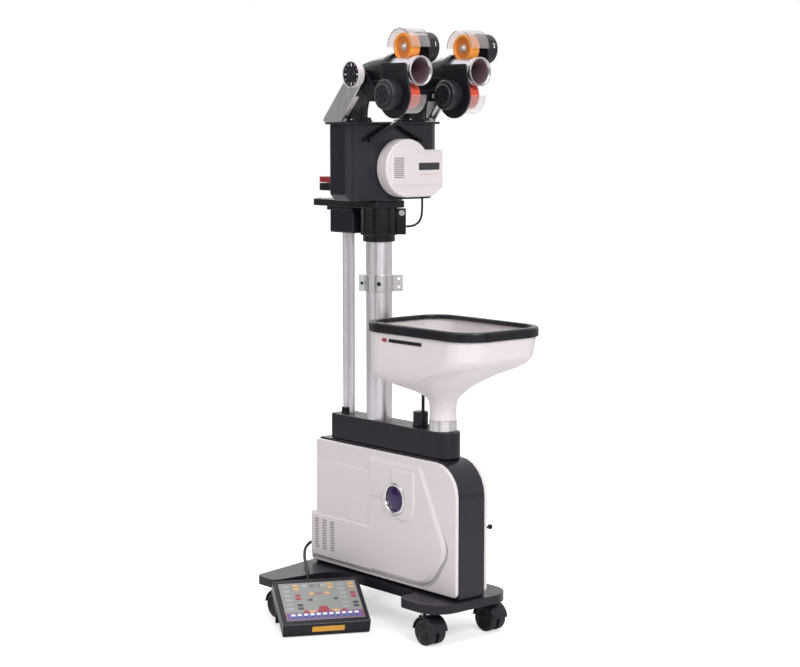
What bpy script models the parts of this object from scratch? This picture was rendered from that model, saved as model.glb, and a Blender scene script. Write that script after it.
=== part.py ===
"""A table tennis robot on four casters, modelled at its real size in metres.

Balls drop from the bowl into the body, a finger wheel pushes them up the mast, and two heads
with a pair of wheels each throw them. The upper box turns on the mast and the heads tilt.
Places are written (across, ahead, up): across is +X, ahead is -Y and up is +Z.
"""

import math

import bmesh
import bpy
from mathutils import Matrix, Vector

# Clearances, and how far tools run past or into what they cut or join
GAP = 0.0003
SHAFT_GAP = 0.0003
RUN_GAP = 0.0015
OVER = 0.010
LAP = 0.002

# Balls and the ways that they run in
BALL_BORE = 0.043
BORE_SPACING = 0.1855

# Casters
CASTER_RADIUS = 0.025
CASTER_WIDTH = 0.037
CASTER_TRAIL = 0.018
CASTER_WEB = 0.006
CASTER_DISH = 0.003
CASTER_RIM = 0.005
CASTER_SHOULDER = 0.0025
CASTER_SIDE_GAP = 0.0005
FENDER_WALL = 0.0028
FENDER_DROP = 0.0125
FENDER_FACE_UP = 0.003
STEM_RADIUS = 0.006
STEM_COLLAR_RADIUS = 0.0095
STEM_COLLAR_DROP = 0.004
AXLE_RADIUS = 0.003
FRONT_CASTER = (0.076, 0.218)
REAR_CASTER = (0.165, -0.118)

# Base frame
FRAME_BOTTOM = 0.0625
FRAME_THICKNESS = 0.0165
FRAME_EDGE = 0.004
FRAME_FRONT = 0.2775
FRAME_FRONT_HALF = 0.100
FRAME_FRONT_DEPTH = 0.1125
FRAME_RAIL_HALF = 0.048
FRAME_WING_HALF = 0.195
FRAME_WING_FRONT = -0.070
FRAME_WING_SWEEP = 0.015
FRAME_WING_BACK = -0.140
FRAME_BACK = -0.182

# Body
CORE_HEIGHT = 0.2557
CORE_SIDE = 0.0045
CORE_NOSE = 0.081
CORE_TAIL = 0.146
CORE_STEP_UP = 0.1037
CORE_STEP_BACK = 0.014
CORE_CORNER = 0.068
CORE_EDGE = 0.003
CORE_STEP_RISE = 0.002
FEED_THICKNESS = 0.024
FEED_FINGERS = 8
FEED_HUB_RADIUS = 0.030
FEED_SHAFT_RADIUS = 0.005
FEED_FINGER_REACH = 0.0122
FEED_FINGER_ROOT = 12
FEED_FINGER_TIP = 3.2
FEED_HUB_SWEEP = 360 / FEED_FINGERS - 2 * FEED_FINGER_ROOT
FEED_WEB = 0.002
POCKET_FLOOR = 0.0120
POCKET_SLACK = 0.0030
POCKET_SIDE = 0.0097

# Side covers
COVER_BOTTOM_MARGIN = 0.0046
COVER_TOP_MARGIN = 0.0033
COVER_BACK_LAP = 0.003
COVER_SHELL = 0.0075
COVER_PANEL = 0.0030
COVER_CORNER = 0.060
COVER_ROUND = 0.003
COVER_EDGE = 0.006
COVER_STEP_BACK = 0.016
COVER_NOSE = 0.0002
FIELD_AHEAD = 0.030
FIELD_BOTTOM = 0.020
FIELD_TOP = 0.0130
FIELD_FRONT = 0.022
FIELD_ROUND = 0.0022
FIELD_SLOPE_TOP = 0.073
FIELD_SLOPE_BREAK = 0.165
FIELD_SLOPE_FOOT = 0.055
FIELD_SINK = 0.003
LOWER_FIELD_AHEAD = 0.036
LETTER_FIELD_AHEAD = 0.034
LETTER_FIELD_TOP = 0.0385
LETTER_FIELD_FACE = 0.0014
FIELD_MARGIN = 0.0012
VENT_COLUMNS = 3
VENT_ROWS = 6
VENT_PITCH = 0.0095
VENT_COLUMN_PITCH = 0.0215
VENT_LENGTH = 0.0155
VENT_HEIGHT = 0.0022
VENT_BACK = 0.017
VENT_UP = 0.030
LENS_RADIUS = 0.024
LENS_DROP = 0.0018
LENS_CROWN = 0.0028
BEZEL_RADIUS = 0.031
BEZEL_DEPTH = 0.0042
BEZEL_LIP = 0.003
BEZEL_SEAT = 0.003
BEZEL_FLOOR = 0.0015
BEZEL_ROUND = 0.0035
BOSS_RADIUS = 0.038
BOSS_AHEAD = 0.020
BOSS_DROP = 0.0045
BOSS_PROUD = 0.0012

# Tank and mast
TANK_WALL = 0.0019
TANK_HEIGHT = 0.0501
TANK_TAIL = 0.119
TANK_NOSE = 0.0079
TANK_CORNER = 0.008
MAST_WALL = 0.003
MAST_SLACK = 0.0005
MAST_SEAT = 0.010
MAST_LENGTH = 0.4325
CONDUIT_RADIUS = 0.006
CONDUIT_FRONT_AHEAD = -0.0828
CONDUIT_PITCH = 0.019
GROMMET_RADIUS = 0.0085
GROMMET_HEIGHT = 0.0111

# Bowl
SOCKET_HEIGHT = 0.0205
SOCKET_WALL = 0.0040
SOCKET_SLACK = 0.00075
NECK_WALL = 0.0040
BOWL_WALL = 0.0032
BOWL_HEIGHT = 0.1830
BOWL_HALF_WIDTH = 0.1012
BOWL_FRONT_REACH = 0.1762
BOWL_BACK_REACH = 0.1242
BOWL_CORNER = 0.0545
RIM_HEIGHT = 0.018
RIM_OUT = 0.0035
RIM_IN = 0.0045
STAY_AHEAD = 0.122
STAY_RADIUS = 0.0145
STAY_HEIGHT = 0.0286
STAY_ROD_RADIUS = 0.0033
STAY_ROD_SHIFT = 0.007
STAY_ROD_GAP = 0.0010

# Mast fittings
CLAMP_HEIGHT = 0.032
CLAMP_WALL = 0.0032
CLAMP_UP = 0.2581
CLAMP_EAR = 0.039
CLAMP_PLATE = 0.046
CLAMP_EAR_HALF = 0.005
CLAMP_PLATE_HALF = 0.0015
CLAMP_HOLE_IN = 0.008
CLAMP_HOLE_RADIUS = 0.0025
CLAMP_SLIT = 0.0016
COLLAR_RADIUS = 0.036
COLLAR_HEIGHT = 0.0523
COLLAR_FOOT = 0.0123
COLLAR_FOOT_RADIUS = 0.031
COLLAR_EAR = 0.052
COLLAR_EAR_HALF = 0.010
COLLAR_SLIT = 0.0015
SUPPORT_HALF = 0.040
SUPPORT_THICKNESS = 0.0134
SUPPORT_FRONT = 0.036
SUPPORT_BACK = -0.156
MOTOR_BOX_HALF = 0.032
MOTOR_BOX_FRONT = -0.040
MOTOR_BOX_BACK = -0.112
MOTOR_BOX_HEIGHT = 0.0508
MOTOR_BOX_FLANGE = 0.0073
MOTOR_BOX_LIP = 0.004

# Turning box
BOX_HALF = 0.112
BOX_BACK = -0.0155
BOX_FRONT = 0.0415
BOX_HEIGHT = 0.143
BOX_FOOT = 0.0022
BOX_FOOT_RADIUS = 0.045
BOX_CHAMFER_ACROSS = 0.012
BOX_CHAMFER_AHEAD = 0.005
BOX_BEVEL_UP = 0.012
FLANGE_LIP = 0.0055
FLANGE_THICKNESS = 0.0045
HOUSING_RADIUS = 0.055
HOUSING_ACROSS = 0.013
HOUSING_UP = 0.0605
HOUSING_DEPTH = 0.0317
HOUSING_REACH = 0.0875
HOUSING_STEP = 0.0015
HOUSING_WING_TOP = 0.034
HOUSING_FACE_INSET = 0.0075
HOUSING_ROUND = 0.004
WINDOW_LOW = 0.0325
WINDOW_LENGTH = 0.0519
WINDOW_HEIGHT = 0.014
WINDOW_DROP = 0.005
WINDOW_SINK = 0.001
LOUVRES = 6
LOUVRE_BACK = 0.0295
LOUVRE_DROP = 0.0135
LOUVRE_HEIGHT = 0.003
LOUVRE_SINK = 0.0018
LOUVRE_PITCH = 0.0062
LOUVRE_LENGTH = 0.0247
BRACE_THICKNESS = 0.0085
BRACE_HALF_HEIGHT = 0.0042
BRACE_SPAN = 0.0675
BRACE_DROP = 0.034
BRACE_RISE = 0.0035
SPACER_RADIUS = 0.0035
SPACER_INSET = 0.007
CONNECTOR_DEPTH = 0.0352
CONNECTOR_HEIGHT = 0.0262
CONNECTOR_WIDTH = 0.030
CONNECTOR_WALL = 0.003
CONNECTOR_WAYS = 3
CONNECTOR_IN = 0.007
CONNECTOR_UP = 0.0185
PAN_CABLE_RADIUS = 0.0022
PAN_CABLE_ACROSS = 0.049
PAN_CABLE_AHEAD = 0.0135
PAN_CABLE_DROP = 0.036

# Tilt
TILT_AHEAD = 0.0765
TILT_RISE = 0.0869
ARM_INNER = 0.1135
ARM_THICKNESS = 0.004
ARM_HUB = 0.019
ARM_FOOT_BACK = -0.022
ARM_FOOT_FRONT = 0.030
ARM_FOOT_RISE = 0.006
ARM_SOLE = 0.004
ARM_DUCT_GAP = 0.002
ARM_FLANGE_THICKNESS = 0.003
ARM_FLANGE_INSET = 0.0003
ARM_FLANGE_RISE = 0.046
STUB_RADIUS = 0.005
STUB_PROUD = 0.0002
DIAL_RADIUS = 0.0245
DIAL_DEPTH = 0.014
DIAL_GAP = 0.0005
DIAL_GRIPS = 6
GRIP_RADIUS = 0.002
GRIP_FOOT = 0.004
EAR_GAP = 0.005
EAR_THICKNESS = 0.004
EAR_HUB = 0.012
YOKE_BACK = 0.103
YOKE_DEPTH = 0.019
YOKE_DROP = 0.0289
YOKE_HEIGHT = 0.0205
TAB_HALF = 0.012
TAB_REACH = 0.0085
TAB_DEPTH = 0.0075

# Heads
HEAD_SPACING = 0.146
BARREL_RISE = 0.0056
BARREL_WALL = 0.0055
BARREL_BACK = 0.130
BARREL_LENGTH = 0.076
BARREL_FLARE = 0.003
WHEEL_AHEAD = 0.166
WHEEL_OFFSET = 0.043
WHEEL_RADIUS = 0.0255
WHEEL_WIDTH = 0.022
WHEEL_TYRE = 0.0055
WHEEL_DISH = 0.004
SHAFT_REACH = 0.012
SLOT_SIDE = 0.001
SLOT_HALF_LENGTH = 0.0215
PLATE_GAP = 0.0005
PLATE_THICKNESS = 0.004
PLATE_HALF_HEIGHT = 0.014
PLATE_BACK = 0.130
PLATE_FRONT = 0.200
PLATE_HOLE = 0.0035
LOBE_LOWER = 0.043
LOBE_UPPER = 0.0285
RING_WALL = 0.0057
RING_BACK = 0.131
RING_DEPTH = 0.011
MOTOR_RADIUS = 0.0275
MOTOR_DEPTH = 0.029
MOTOR_SHOULDER = 0.007
MOTOR_CROWN = 0.003
MOTOR_SEAM = 0.005
MOTOR_RIM = 0.0015
MOTOR_BORE_DEPTH = 0.0147
GUARD_RADIUS = 0.034
GUARD_WALL = 0.0018
GUARD_WIDTH = 0.045
GUARD_HOLE = 0.008
DUCT_WALL = 0.0050
DUCT_AHEAD = 0.0125
DUCT_CUFF = 0.004
DUCT_SWEEP = 0.048
DUCT_SPACING = 0.018

# Controller
DESK_CORNER = (-0.2586, 0.0259)
DESK_YAW = math.radians(27.2)
DESK_TILT = math.radians(24.4)
DESK_WIDTH = 0.1677
DESK_LENGTH = 0.135
DESK_HEIGHT = 0.0292
DESK_EDGE = 0.003
PANEL_SIDE = 0.009
PANEL_END = 0.012
PANEL_SINK = 0.0012
PANEL_PROUD = 0.0004
LEG_SIDE = 0.005
LEG_LAP = 0.004
LEG_WIDTH = 0.012
LEG_THICKNESS = 0.005
LEG_BACK = 0.018

# Controller cable
CABLE_RADIUS = 0.003
CABLE_OUT_UP = 0.0357
CABLE_OUT_ACROSS = -0.015
GLAND_RADIUS = 0.006
GLAND_LENGTH = 0.014
GLAND_LIP = 0.003
COIL_PLACE = (-0.1262, 0.0031)
COIL_RADIUS = 0.0462
COIL_PITCH = 0.0067
COIL_START = math.radians(220.5)
COIL_END = math.radians(225)
COIL_TURNS = 6
COIL_POINTS = 24
COIL_LAYER_GAP = 0.0007
COIL_FLOOR_GAP = 0.0001
COIL_CLIMB = 0.5
TAIL_PLACE = (0.052, 0.068)
TAIL_SWEEP = 0.019

# Levels that follow from the sizes
CORE_BOTTOM = FRAME_BOTTOM + FRAME_THICKNESS + GAP
CORE_TOP = CORE_BOTTOM + CORE_HEIGHT
TANK_BOTTOM = CORE_TOP + GAP
TANK_TOP = TANK_BOTTOM + TANK_HEIGHT
SOCKET_BOTTOM = TANK_TOP + GAP
SOCKET_TOP = SOCKET_BOTTOM + SOCKET_HEIGHT
NECK_BOTTOM = SOCKET_TOP + GAP
RIM_TOP = NECK_BOTTOM + BOWL_HEIGHT
MAST_BOTTOM = TANK_TOP - MAST_SEAT + GAP
MAST_TOP = MAST_BOTTOM + MAST_LENGTH
SUPPORT_BOTTOM = MAST_TOP - SUPPORT_THICKNESS
COLLAR_TOP = SUPPORT_BOTTOM - GAP
BOX_BOTTOM = MAST_TOP + GAP + BOX_FOOT
BOX_TOP = BOX_BOTTOM + BOX_HEIGHT
FLANGE_TOP = BOX_TOP + FLANGE_THICKNESS
ARM_BOTTOM = FLANGE_TOP + GAP
TILT_UP = ARM_BOTTOM + TILT_RISE
BARREL_UP = TILT_UP + BARREL_RISE

# Places across and ahead that follow from the sizes
BORE_RADIUS = BALL_BORE / 2
MAST_INNER = BORE_RADIUS + MAST_SLACK
MAST_RADIUS = MAST_INNER + MAST_WALL
MAST_HOLE = MAST_RADIUS + GAP
TANK_HALF = MAST_HOLE + TANK_WALL
CORE_HALF = TANK_HALF + CORE_SIDE
CORE_FRONT = BORE_SPACING + CORE_NOSE
COVER_INNER = CORE_HALF + GAP
SHELL_FACE = COVER_INNER + COVER_SHELL
PANEL_FACE = SHELL_FACE + COVER_PANEL
COVER_BOTTOM = CORE_BOTTOM + COVER_BOTTOM_MARGIN
COVER_TOP = CORE_TOP - COVER_TOP_MARGIN
COVER_BACK = -CORE_TAIL - COVER_BACK_LAP
COVER_LOW_BACK = COVER_BACK - COVER_STEP_BACK
LENS_AHEAD = BORE_SPACING - 0.0885
LENS_UP = COVER_TOP - 0.0852
FEED_AHEAD = BORE_SPACING / 2
POCKET_RADIUS = FEED_AHEAD + BORE_RADIUS + POCKET_SLACK
FEED_UP = CORE_BOTTOM + POCKET_FLOOR + POCKET_RADIUS
NECK_RADIUS = BORE_RADIUS + NECK_WALL
FENDER_RADIUS = CASTER_RADIUS + RUN_GAP + FENDER_WALL
CONDUIT_REAR_AHEAD = CONDUIT_FRONT_AHEAD - CONDUIT_PITCH
ARM_OUTER = ARM_INNER + ARM_THICKNESS
EAR_OUTER = ARM_INNER - EAR_GAP
EAR_INNER = EAR_OUTER - EAR_THICKNESS
BARREL_RADIUS = BORE_RADIUS + BARREL_WALL
PLATE_INNER = BARREL_RADIUS + PLATE_GAP
PLATE_OUTER = PLATE_INNER + PLATE_THICKNESS
DUCT_RADIUS = PLATE_INNER - GAP
DUCT_BORE = DUCT_RADIUS - DUCT_WALL
RING_INNER = BARREL_RADIUS + GAP
RING_OUTER = RING_INNER + RING_WALL
WHEEL_BORE = AXLE_RADIUS + SHAFT_GAP

# Model set-up
AHEAD = Vector((0, -1, 0))
UP = Vector((0, 0, 1))
ACROSS = Vector((1, 0, 0))


def at(across, ahead, up):
    """The world place of a point given as (across, ahead, up)."""
    return Vector((across, -ahead, up))


def frame_of(x_axis, y_axis, place):
    """A placement whose first two axes and origin are given."""
    x_axis = Vector(x_axis).normalized()
    y_axis = Vector(y_axis).normalized()
    z_axis = x_axis.cross(y_axis)
    matrix = Matrix((x_axis, y_axis, z_axis)).transposed().to_4x4()
    matrix.translation = place
    return matrix


def side_frame(across):
    """Drawing plane seen from the side: (ahead, up), thickness across."""
    return frame_of(AHEAD, UP, at(across, 0, 0))


def plan_frame(up):
    """Drawing plane seen from above: (across, ahead), thickness up."""
    return frame_of(ACROSS, AHEAD, at(0, 0, up))


def front_frame(ahead):
    """Drawing plane seen from the front: (across, up), thickness ahead."""
    return frame_of(ACROSS, UP, at(0, ahead, 0))


def axis_frame(direction, place):
    """A placement whose local Z lies along the given direction."""
    matrix = Vector(direction).to_track_quat("Z", "Y").to_matrix().to_4x4()
    matrix.translation = place
    return matrix


def clear_scene():
    """Removes what a new file holds."""
    for item in list(bpy.data.objects):
        bpy.data.objects.remove(item, do_unlink=True)


def new_collection(name):
    """A collection in the scene."""
    group = bpy.data.collections.new(name)
    bpy.context.scene.collection.children.link(group)
    return group


clear_scene()
ROBOT = new_collection("table_tennis_robot")
CUTTERS = new_collection("cutters")
AXES = {}


def empty_at(name, place):
    """An empty on a moving group's axis, which its pieces hang from."""
    item = bpy.data.objects.new(name, None)
    item.empty_display_size = 0.02
    ROBOT.objects.link(item)
    item.location = place
    AXES[name] = item
    if name != "robot_origin":
        item.parent = AXES["robot_origin"]
    return item


def hang(item, holder):
    """Parents a piece to an empty and leaves it where it stands."""
    item.parent = holder
    item.matrix_parent_inverse = Matrix.Translation(-holder.location)


WHOLE = empty_at("robot_origin", Vector((0, 0, 0)))


def material(name, colour, roughness=0.5, metallic=0.0, alpha=1.0):
    """One Principled material."""
    made = bpy.data.materials.new(name)
    made.use_nodes = True
    shader = made.node_tree.nodes["Principled BSDF"]
    shader.inputs["Base Color"].default_value = (*colour, 1)
    shader.inputs["Roughness"].default_value = roughness
    shader.inputs["Metallic"].default_value = metallic
    shader.inputs["Alpha"].default_value = alpha
    return made


def keep(item, name, look, holder=None):
    """Names a finished piece, paints it and hangs it on its group."""
    item.name = name
    item.data.name = name
    item.data.materials.clear()
    item.data.materials.append(look)
    for group in list(item.users_collection):
        group.objects.unlink(item)
    ROBOT.objects.link(item)
    hang(item, holder or WHOLE)
    return item


def put_aside(tool):
    """Turns a piece into a hidden cutter."""
    for group in list(tool.users_collection):
        group.objects.unlink(tool)
    CUTTERS.objects.link(tool)
    tool.hide_render = True
    tool.display_type = "WIRE"
    hang(tool, WHOLE)


def combine(item, tool, operation):
    """One exact Boolean of a piece with a tool."""
    step = item.modifiers.new(operation.lower(), "BOOLEAN")
    step.operation = operation
    step.solver = "EXACT"
    step.object = tool
    put_aside(tool)
    return item


def cut(item, *tools):
    """Takes tools away from a piece."""
    for tool in tools:
        combine(item, tool, "DIFFERENCE")
    return item


def join(item, *tools):
    """Adds tools to a piece as one body."""
    for tool in tools:
        combine(item, tool, "UNION")
    return item


def bevel(item, width, segments=2, angle=40):
    """Rounds the sharp edges of a piece."""
    step = item.modifiers.new("rounded edges", "BEVEL")
    step.width = width
    step.segments = segments
    step.limit_method = "ANGLE"
    step.angle_limit = math.radians(angle)
    return item


def object_from(mesh, place):
    """An object in the scene with the given mesh and placement."""
    item = bpy.data.objects.new("piece", mesh)
    bpy.context.scene.collection.objects.link(item)
    item.matrix_world = place
    return item


def settled(item):
    """The same piece with its modifiers or curve made into one welded mesh."""
    bpy.context.view_layer.update()
    view = bpy.context.evaluated_depsgraph_get()
    mesh = bpy.data.meshes.new_from_object(item.evaluated_get(view), depsgraph=view)
    work = bmesh.new()
    work.from_mesh(mesh)
    bmesh.ops.remove_doubles(work, verts=work.verts, dist=0.000002)
    bmesh.ops.recalc_face_normals(work, faces=work.faces)
    work.to_mesh(mesh)
    work.free()
    made = object_from(mesh, item.matrix_world.copy())
    bpy.data.objects.remove(item, do_unlink=True)
    return made


def box(low, high, place=Matrix.Identity(4)):
    """A block between two corners of a placement."""
    low = Vector(low)
    high = Vector(high)
    bpy.ops.mesh.primitive_cube_add(size=1)
    item = bpy.context.object
    item.data.transform(Matrix.Translation((low + high) / 2) @ Matrix.Diagonal((*(high - low), 1)))
    item.matrix_world = place
    return item


def block(across, ahead, up):
    """A block between levels across, ahead and up, each a (low, high) pair."""
    return box((across[0], -ahead[1], up[0]), (across[1], -ahead[0], up[1]))


def rod(radius, start, end, sides=24):
    """A round bar between two places."""
    run = end - start
    bpy.ops.mesh.primitive_cylinder_add(vertices=sides, radius=radius, depth=run.length)
    item = bpy.context.object
    item.matrix_world = axis_frame(run, (start + end) / 2)
    return item


def turned(profile, place, sides=32):
    """A profile of (radius, height) turned round the placement's Z, outer side from the top down."""
    mesh = bpy.data.meshes.new("profile")
    points = [(radius, 0, height) for radius, height in profile]
    closed = profile[0][0] > 0
    edges = [(n, n + 1) for n in range(len(points) - 1)]
    if closed:
        edges.append((len(points) - 1, 0))
    mesh.from_pydata(points, edges, [])
    item = object_from(mesh, place)
    step = item.modifiers.new("turn", "SCREW")
    step.axis = "Z"
    step.angle = math.tau
    step.steps = sides
    step.render_steps = sides
    step.use_merge_vertices = True
    step.merge_threshold = 0.00001
    return item


def slab(outline, depth, place):
    """A flat outline, thickened evenly to both sides of the placement's plane."""
    curve = bpy.data.curves.new("outline", "CURVE")
    curve.dimensions = "2D"
    curve.fill_mode = "BOTH"
    curve.extrude = depth / 2
    line = curve.splines.new("POLY")
    line.points.add(len(outline) - 1)
    for point, (x, y) in zip(line.points, outline):
        point.co = (x, y, 0, 1)
    line.use_cyclic_u = True
    item = settled(object_from(curve, place))
    work = bmesh.new()
    work.from_mesh(item.data)
    flat = {"angle_limit": math.radians(0.1), "verts": work.verts, "edges": work.edges}
    bmesh.ops.dissolve_limit(work, **flat)
    work.to_mesh(item.data)
    work.free()
    return item


def side_slab(outline, across):
    """An outline in (ahead, up) between two levels across."""
    return slab(outline, across[1] - across[0], side_frame((across[0] + across[1]) / 2))


def plan_slab(outline, up):
    """An outline in (across, ahead) between two levels up."""
    return slab(outline, up[1] - up[0], plan_frame((up[0] + up[1]) / 2))


def front_slab(outline, ahead):
    """An outline in (across, up) between two levels ahead."""
    return slab(outline, ahead[1] - ahead[0], front_frame((ahead[0] + ahead[1]) / 2))


def tube(points, radius, resolution=2):
    """A round bar along points, with flat ends."""
    curve = bpy.data.curves.new("route", "CURVE")
    curve.dimensions = "3D"
    curve.bevel_depth = radius
    curve.bevel_resolution = resolution
    curve.use_fill_caps = True
    line = curve.splines.new("POLY")
    line.points.add(len(points) - 1)
    for point, place in zip(line.points, points):
        point.co = (*place, 1)
    return object_from(curve, Matrix.Identity(4))


def loft(sections, ring=False):
    """A skin through closed sections of equally many points, capped or closed on itself."""
    work = bmesh.new()
    rings = [[work.verts.new(point) for point in section] for section in sections]
    count = len(rings[0])
    pairs = list(zip(rings, rings[1:]))
    if ring:
        pairs.append((rings[-1], rings[0]))
    for lower, upper in pairs:
        for n in range(count):
            m = (n + 1) % count
            work.faces.new((lower[n], lower[m], upper[m], upper[n]))
    if not ring:
        work.faces.new(rings[0])
        work.faces.new(rings[-1])
    bmesh.ops.recalc_face_normals(work, faces=work.faces)
    mesh = bpy.data.meshes.new("loft")
    work.to_mesh(mesh)
    work.free()
    return object_from(mesh, Matrix.Identity(4))


def arc(centre, radius, start, end, steps):
    """Points of an arc; angles in degrees."""
    points = []
    for n in range(steps + 1):
        angle = math.radians(start + (end - start) * n / steps)
        x = centre[0] + radius * math.cos(angle)
        y = centre[1] + radius * math.sin(angle)
        points.append((x, y))
    return points


def rounded(corners, step=18):
    """The outline through (x, y, radius) corners, with each corner as an arc."""
    outline = []
    count = len(corners)
    for n, (x, y, radius) in enumerate(corners):
        here = Vector((x, y))
        before = Vector(corners[n - 1][:2]) - here
        after = Vector(corners[(n + 1) % count][:2]) - here
        turn = before.angle(after)
        reach = radius / math.tan(turn / 2)
        limit = 0.49 * min(before.length, after.length)
        if reach > limit:
            reach = limit
            radius = reach * math.tan(turn / 2)
        if radius < 0.0005:
            outline.append((x, y))
            continue
        first = here + before.normalized() * reach
        last = here + after.normalized() * reach
        middle = (before.normalized() + after.normalized()).normalized()
        centre = here + middle * radius / math.sin(turn / 2)
        begin = first - centre
        sweep = math.pi - turn
        if begin.x * (last - centre).y - begin.y * (last - centre).x < 0:
            sweep = -sweep
        steps = max(2, round(abs(math.degrees(sweep)) / step))
        for k in range(steps + 1):
            angle = sweep * k / steps
            px = centre.x + begin.x * math.cos(angle) - begin.y * math.sin(angle)
            py = centre.y + begin.x * math.sin(angle) + begin.y * math.cos(angle)
            outline.append((px, py))
    return outline


def hull(points):
    """The outline stretched round points."""
    ordered = sorted(set((round(x, 7), round(y, 7)) for x, y in points))

    def half(run):
        line = []
        for point in run:
            while len(line) > 1 and turns_right(line[-2], line[-1], point):
                line.pop()
            line.append(point)
        return line[:-1]

    return half(ordered) + half(reversed(ordered))


def turns_right(a, b, c):
    """True where the way from a over b to c doesn't turn left."""
    return (b[0] - a[0]) * (c[1] - a[1]) - (b[1] - a[1]) * (c[0] - a[0]) <= 1e-12


def circle(centre, radius, sides=36):
    """Points round a circle."""
    return arc(centre, radius, 0, 360 - 360 / sides, sides - 1)


def smooth(route, spacing):
    """Points at an even spacing on a smooth curve through a route."""
    route = [Vector(point) for point in route]
    ends = [2 * route[0] - route[1]] + route + [2 * route[-1] - route[-2]]
    fine = []
    for n in range(1, len(ends) - 2):
        a, b, c, d = ends[n - 1:n + 3]
        for k in range(40):
            t = k / 40
            middle = (c - a) * t + (2 * a - 5 * b + 4 * c - d) * t * t
            fine.append(b + 0.5 * (middle + (3 * b - a - 3 * c + d) * t ** 3))
    fine.append(route[-1])
    return even(fine, spacing)


def bend(start, start_way, end, end_way, reach, spacing):
    """Points on one curve that leaves and arrives in given directions."""
    a = Vector(start)
    b = a + Vector(start_way).normalized() * reach
    d = Vector(end)
    c = d - Vector(end_way).normalized() * reach
    fine = []
    for n in range(121):
        t = n / 120
        s = 1 - t
        fine.append(a * s ** 3 + b * 3 * s * s * t + c * 3 * s * t * t + d * t ** 3)
    return even(fine, spacing)


def even(fine, spacing):
    """The same line with its points spread evenly."""
    runs = [(q - p).length for p, q in zip(fine, fine[1:])]
    total = sum(runs)
    count = max(3, round(total / spacing))
    points = [fine[0]]
    passed = 0
    for p, q, run in zip(fine, fine[1:], runs):
        while len(points) < count and passed + run >= total * len(points) / count:
            share = (total * len(points) / count - passed) / run
            points.append(p.lerp(q, share))
        passed += run
    points.append(fine[-1])
    return points


def length_of(points):
    """The length of a line of points."""
    return sum((q - p).length for p, q in zip(points, points[1:]))


# Looks of the pieces
BLACK = material("black_plastic", (0.030, 0.028, 0.036), 0.42)
DARK = material("dark_metal", (0.035, 0.034, 0.042), 0.35, 0.3)
WHITE = material("white_plastic", (0.86, 0.84, 0.86), 0.32)
SILVER = material("brushed_metal", (0.72, 0.72, 0.73), 0.28, 1.0)
RUBBER = material("black_rubber", (0.018, 0.018, 0.020), 0.6)
ORANGE = material("orange_foam", (0.90, 0.36, 0.05), 0.6)
RED = material("red_foam", (0.78, 0.13, 0.06), 0.6)
CLEAR = material("clear_plastic", (0.93, 0.88, 0.85), 0.08, 0.0, 0.4)
VIOLET = material("violet_lens", (0.09, 0.03, 0.25), 0.1)
PANEL_GREY = material("panel_grey", (0.42, 0.43, 0.42), 0.5)
CONNECTOR_RED = material("connector_red", (0.45, 0.02, 0.03), 0.4)


def make_base_frame():
    """The low T-shaped frame with its rear wings and front crossbar."""
    front = FRAME_FRONT_HALF
    rail = FRAME_RAIL_HALF
    wing = FRAME_WING_HALF
    crossbar = FRAME_FRONT - FRAME_FRONT_DEPTH
    wing_tip = FRAME_WING_FRONT - FRAME_WING_SWEEP
    right = [
        (front, FRAME_FRONT, 0.050),
        (front, crossbar, 0.045),
        (rail, crossbar, 0.012),
        (rail, FRAME_WING_FRONT, 0.055),
        (wing, wing_tip, 0.012),
        (wing, FRAME_WING_BACK, 0.014),
    ]
    left = [(-x, y, radius) for x, y, radius in reversed(right)]
    outline = rounded(right + [(0, FRAME_BACK, 0.030)] + left, 28)
    frame = plan_slab(outline, (FRAME_BOTTOM, FRAME_BOTTOM + FRAME_THICKNESS))
    keep(bevel(frame, FRAME_EDGE, 1, 50), "base_frame", BLACK)


def caster_hood():
    """Hood, web and stem of a twin-wheel caster, about its wheel axle."""
    half = CASTER_WIDTH / 2
    web = CASTER_WEB / 2
    middle = Vector((0, 0, 0))
    hood = rod(FENDER_RADIUS, middle - ACROSS * half, middle + ACROSS * half, 20)
    hood = settled(hood)
    stem = CASTER_TRAIL * -AHEAD
    top = FRAME_BOTTOM - GAP - CASTER_RADIUS
    collar = FENDER_RADIUS - STEM_COLLAR_DROP
    join(hood, rod(STEM_COLLAR_RADIUS, stem, stem + UP * collar, 10))
    join(hood, rod(STEM_RADIUS, stem, stem + UP * top, 8))
    pocket = CASTER_RADIUS + RUN_GAP
    out = half + LAP
    far = FENDER_RADIUS + OVER
    for side in (-1, 1):
        cut(hood, rod(pocket, ACROSS * side * web, ACROSS * side * out, 20))
        edges = sorted((side * web, side * out))
        cut(hood, box((edges[0], -far, -far), (edges[1], far, FENDER_FACE_UP)))
    cut(hood, box((-out, -far, -far), (out, far, -FENDER_DROP)))
    cut(hood, rod(WHEEL_BORE, middle - ACROSS * out, middle + ACROSS * out, 12))
    return settled(hood)


def caster_wheel():
    """Both wheels of a caster with the axle between them, about the axle."""
    outer = CASTER_WIDTH / 2 - CASTER_SIDE_GAP
    inner = CASTER_WEB / 2 + CASTER_SIDE_GAP
    r = CASTER_RADIUS
    dish = outer - CASTER_DISH
    half = [
        (0, dish),
        (r - CASTER_RIM - CASTER_DISH, dish),
        (r - CASTER_RIM, outer),
        (r, outer - CASTER_SHOULDER),
        (r, inner),
        (AXLE_RADIUS, inner),
    ]
    profile = half + [(radius, -height) for radius, height in reversed(half)]
    return settled(turned(profile, axis_frame(ACROSS, Vector((0, 0, 0))), 16))


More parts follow.
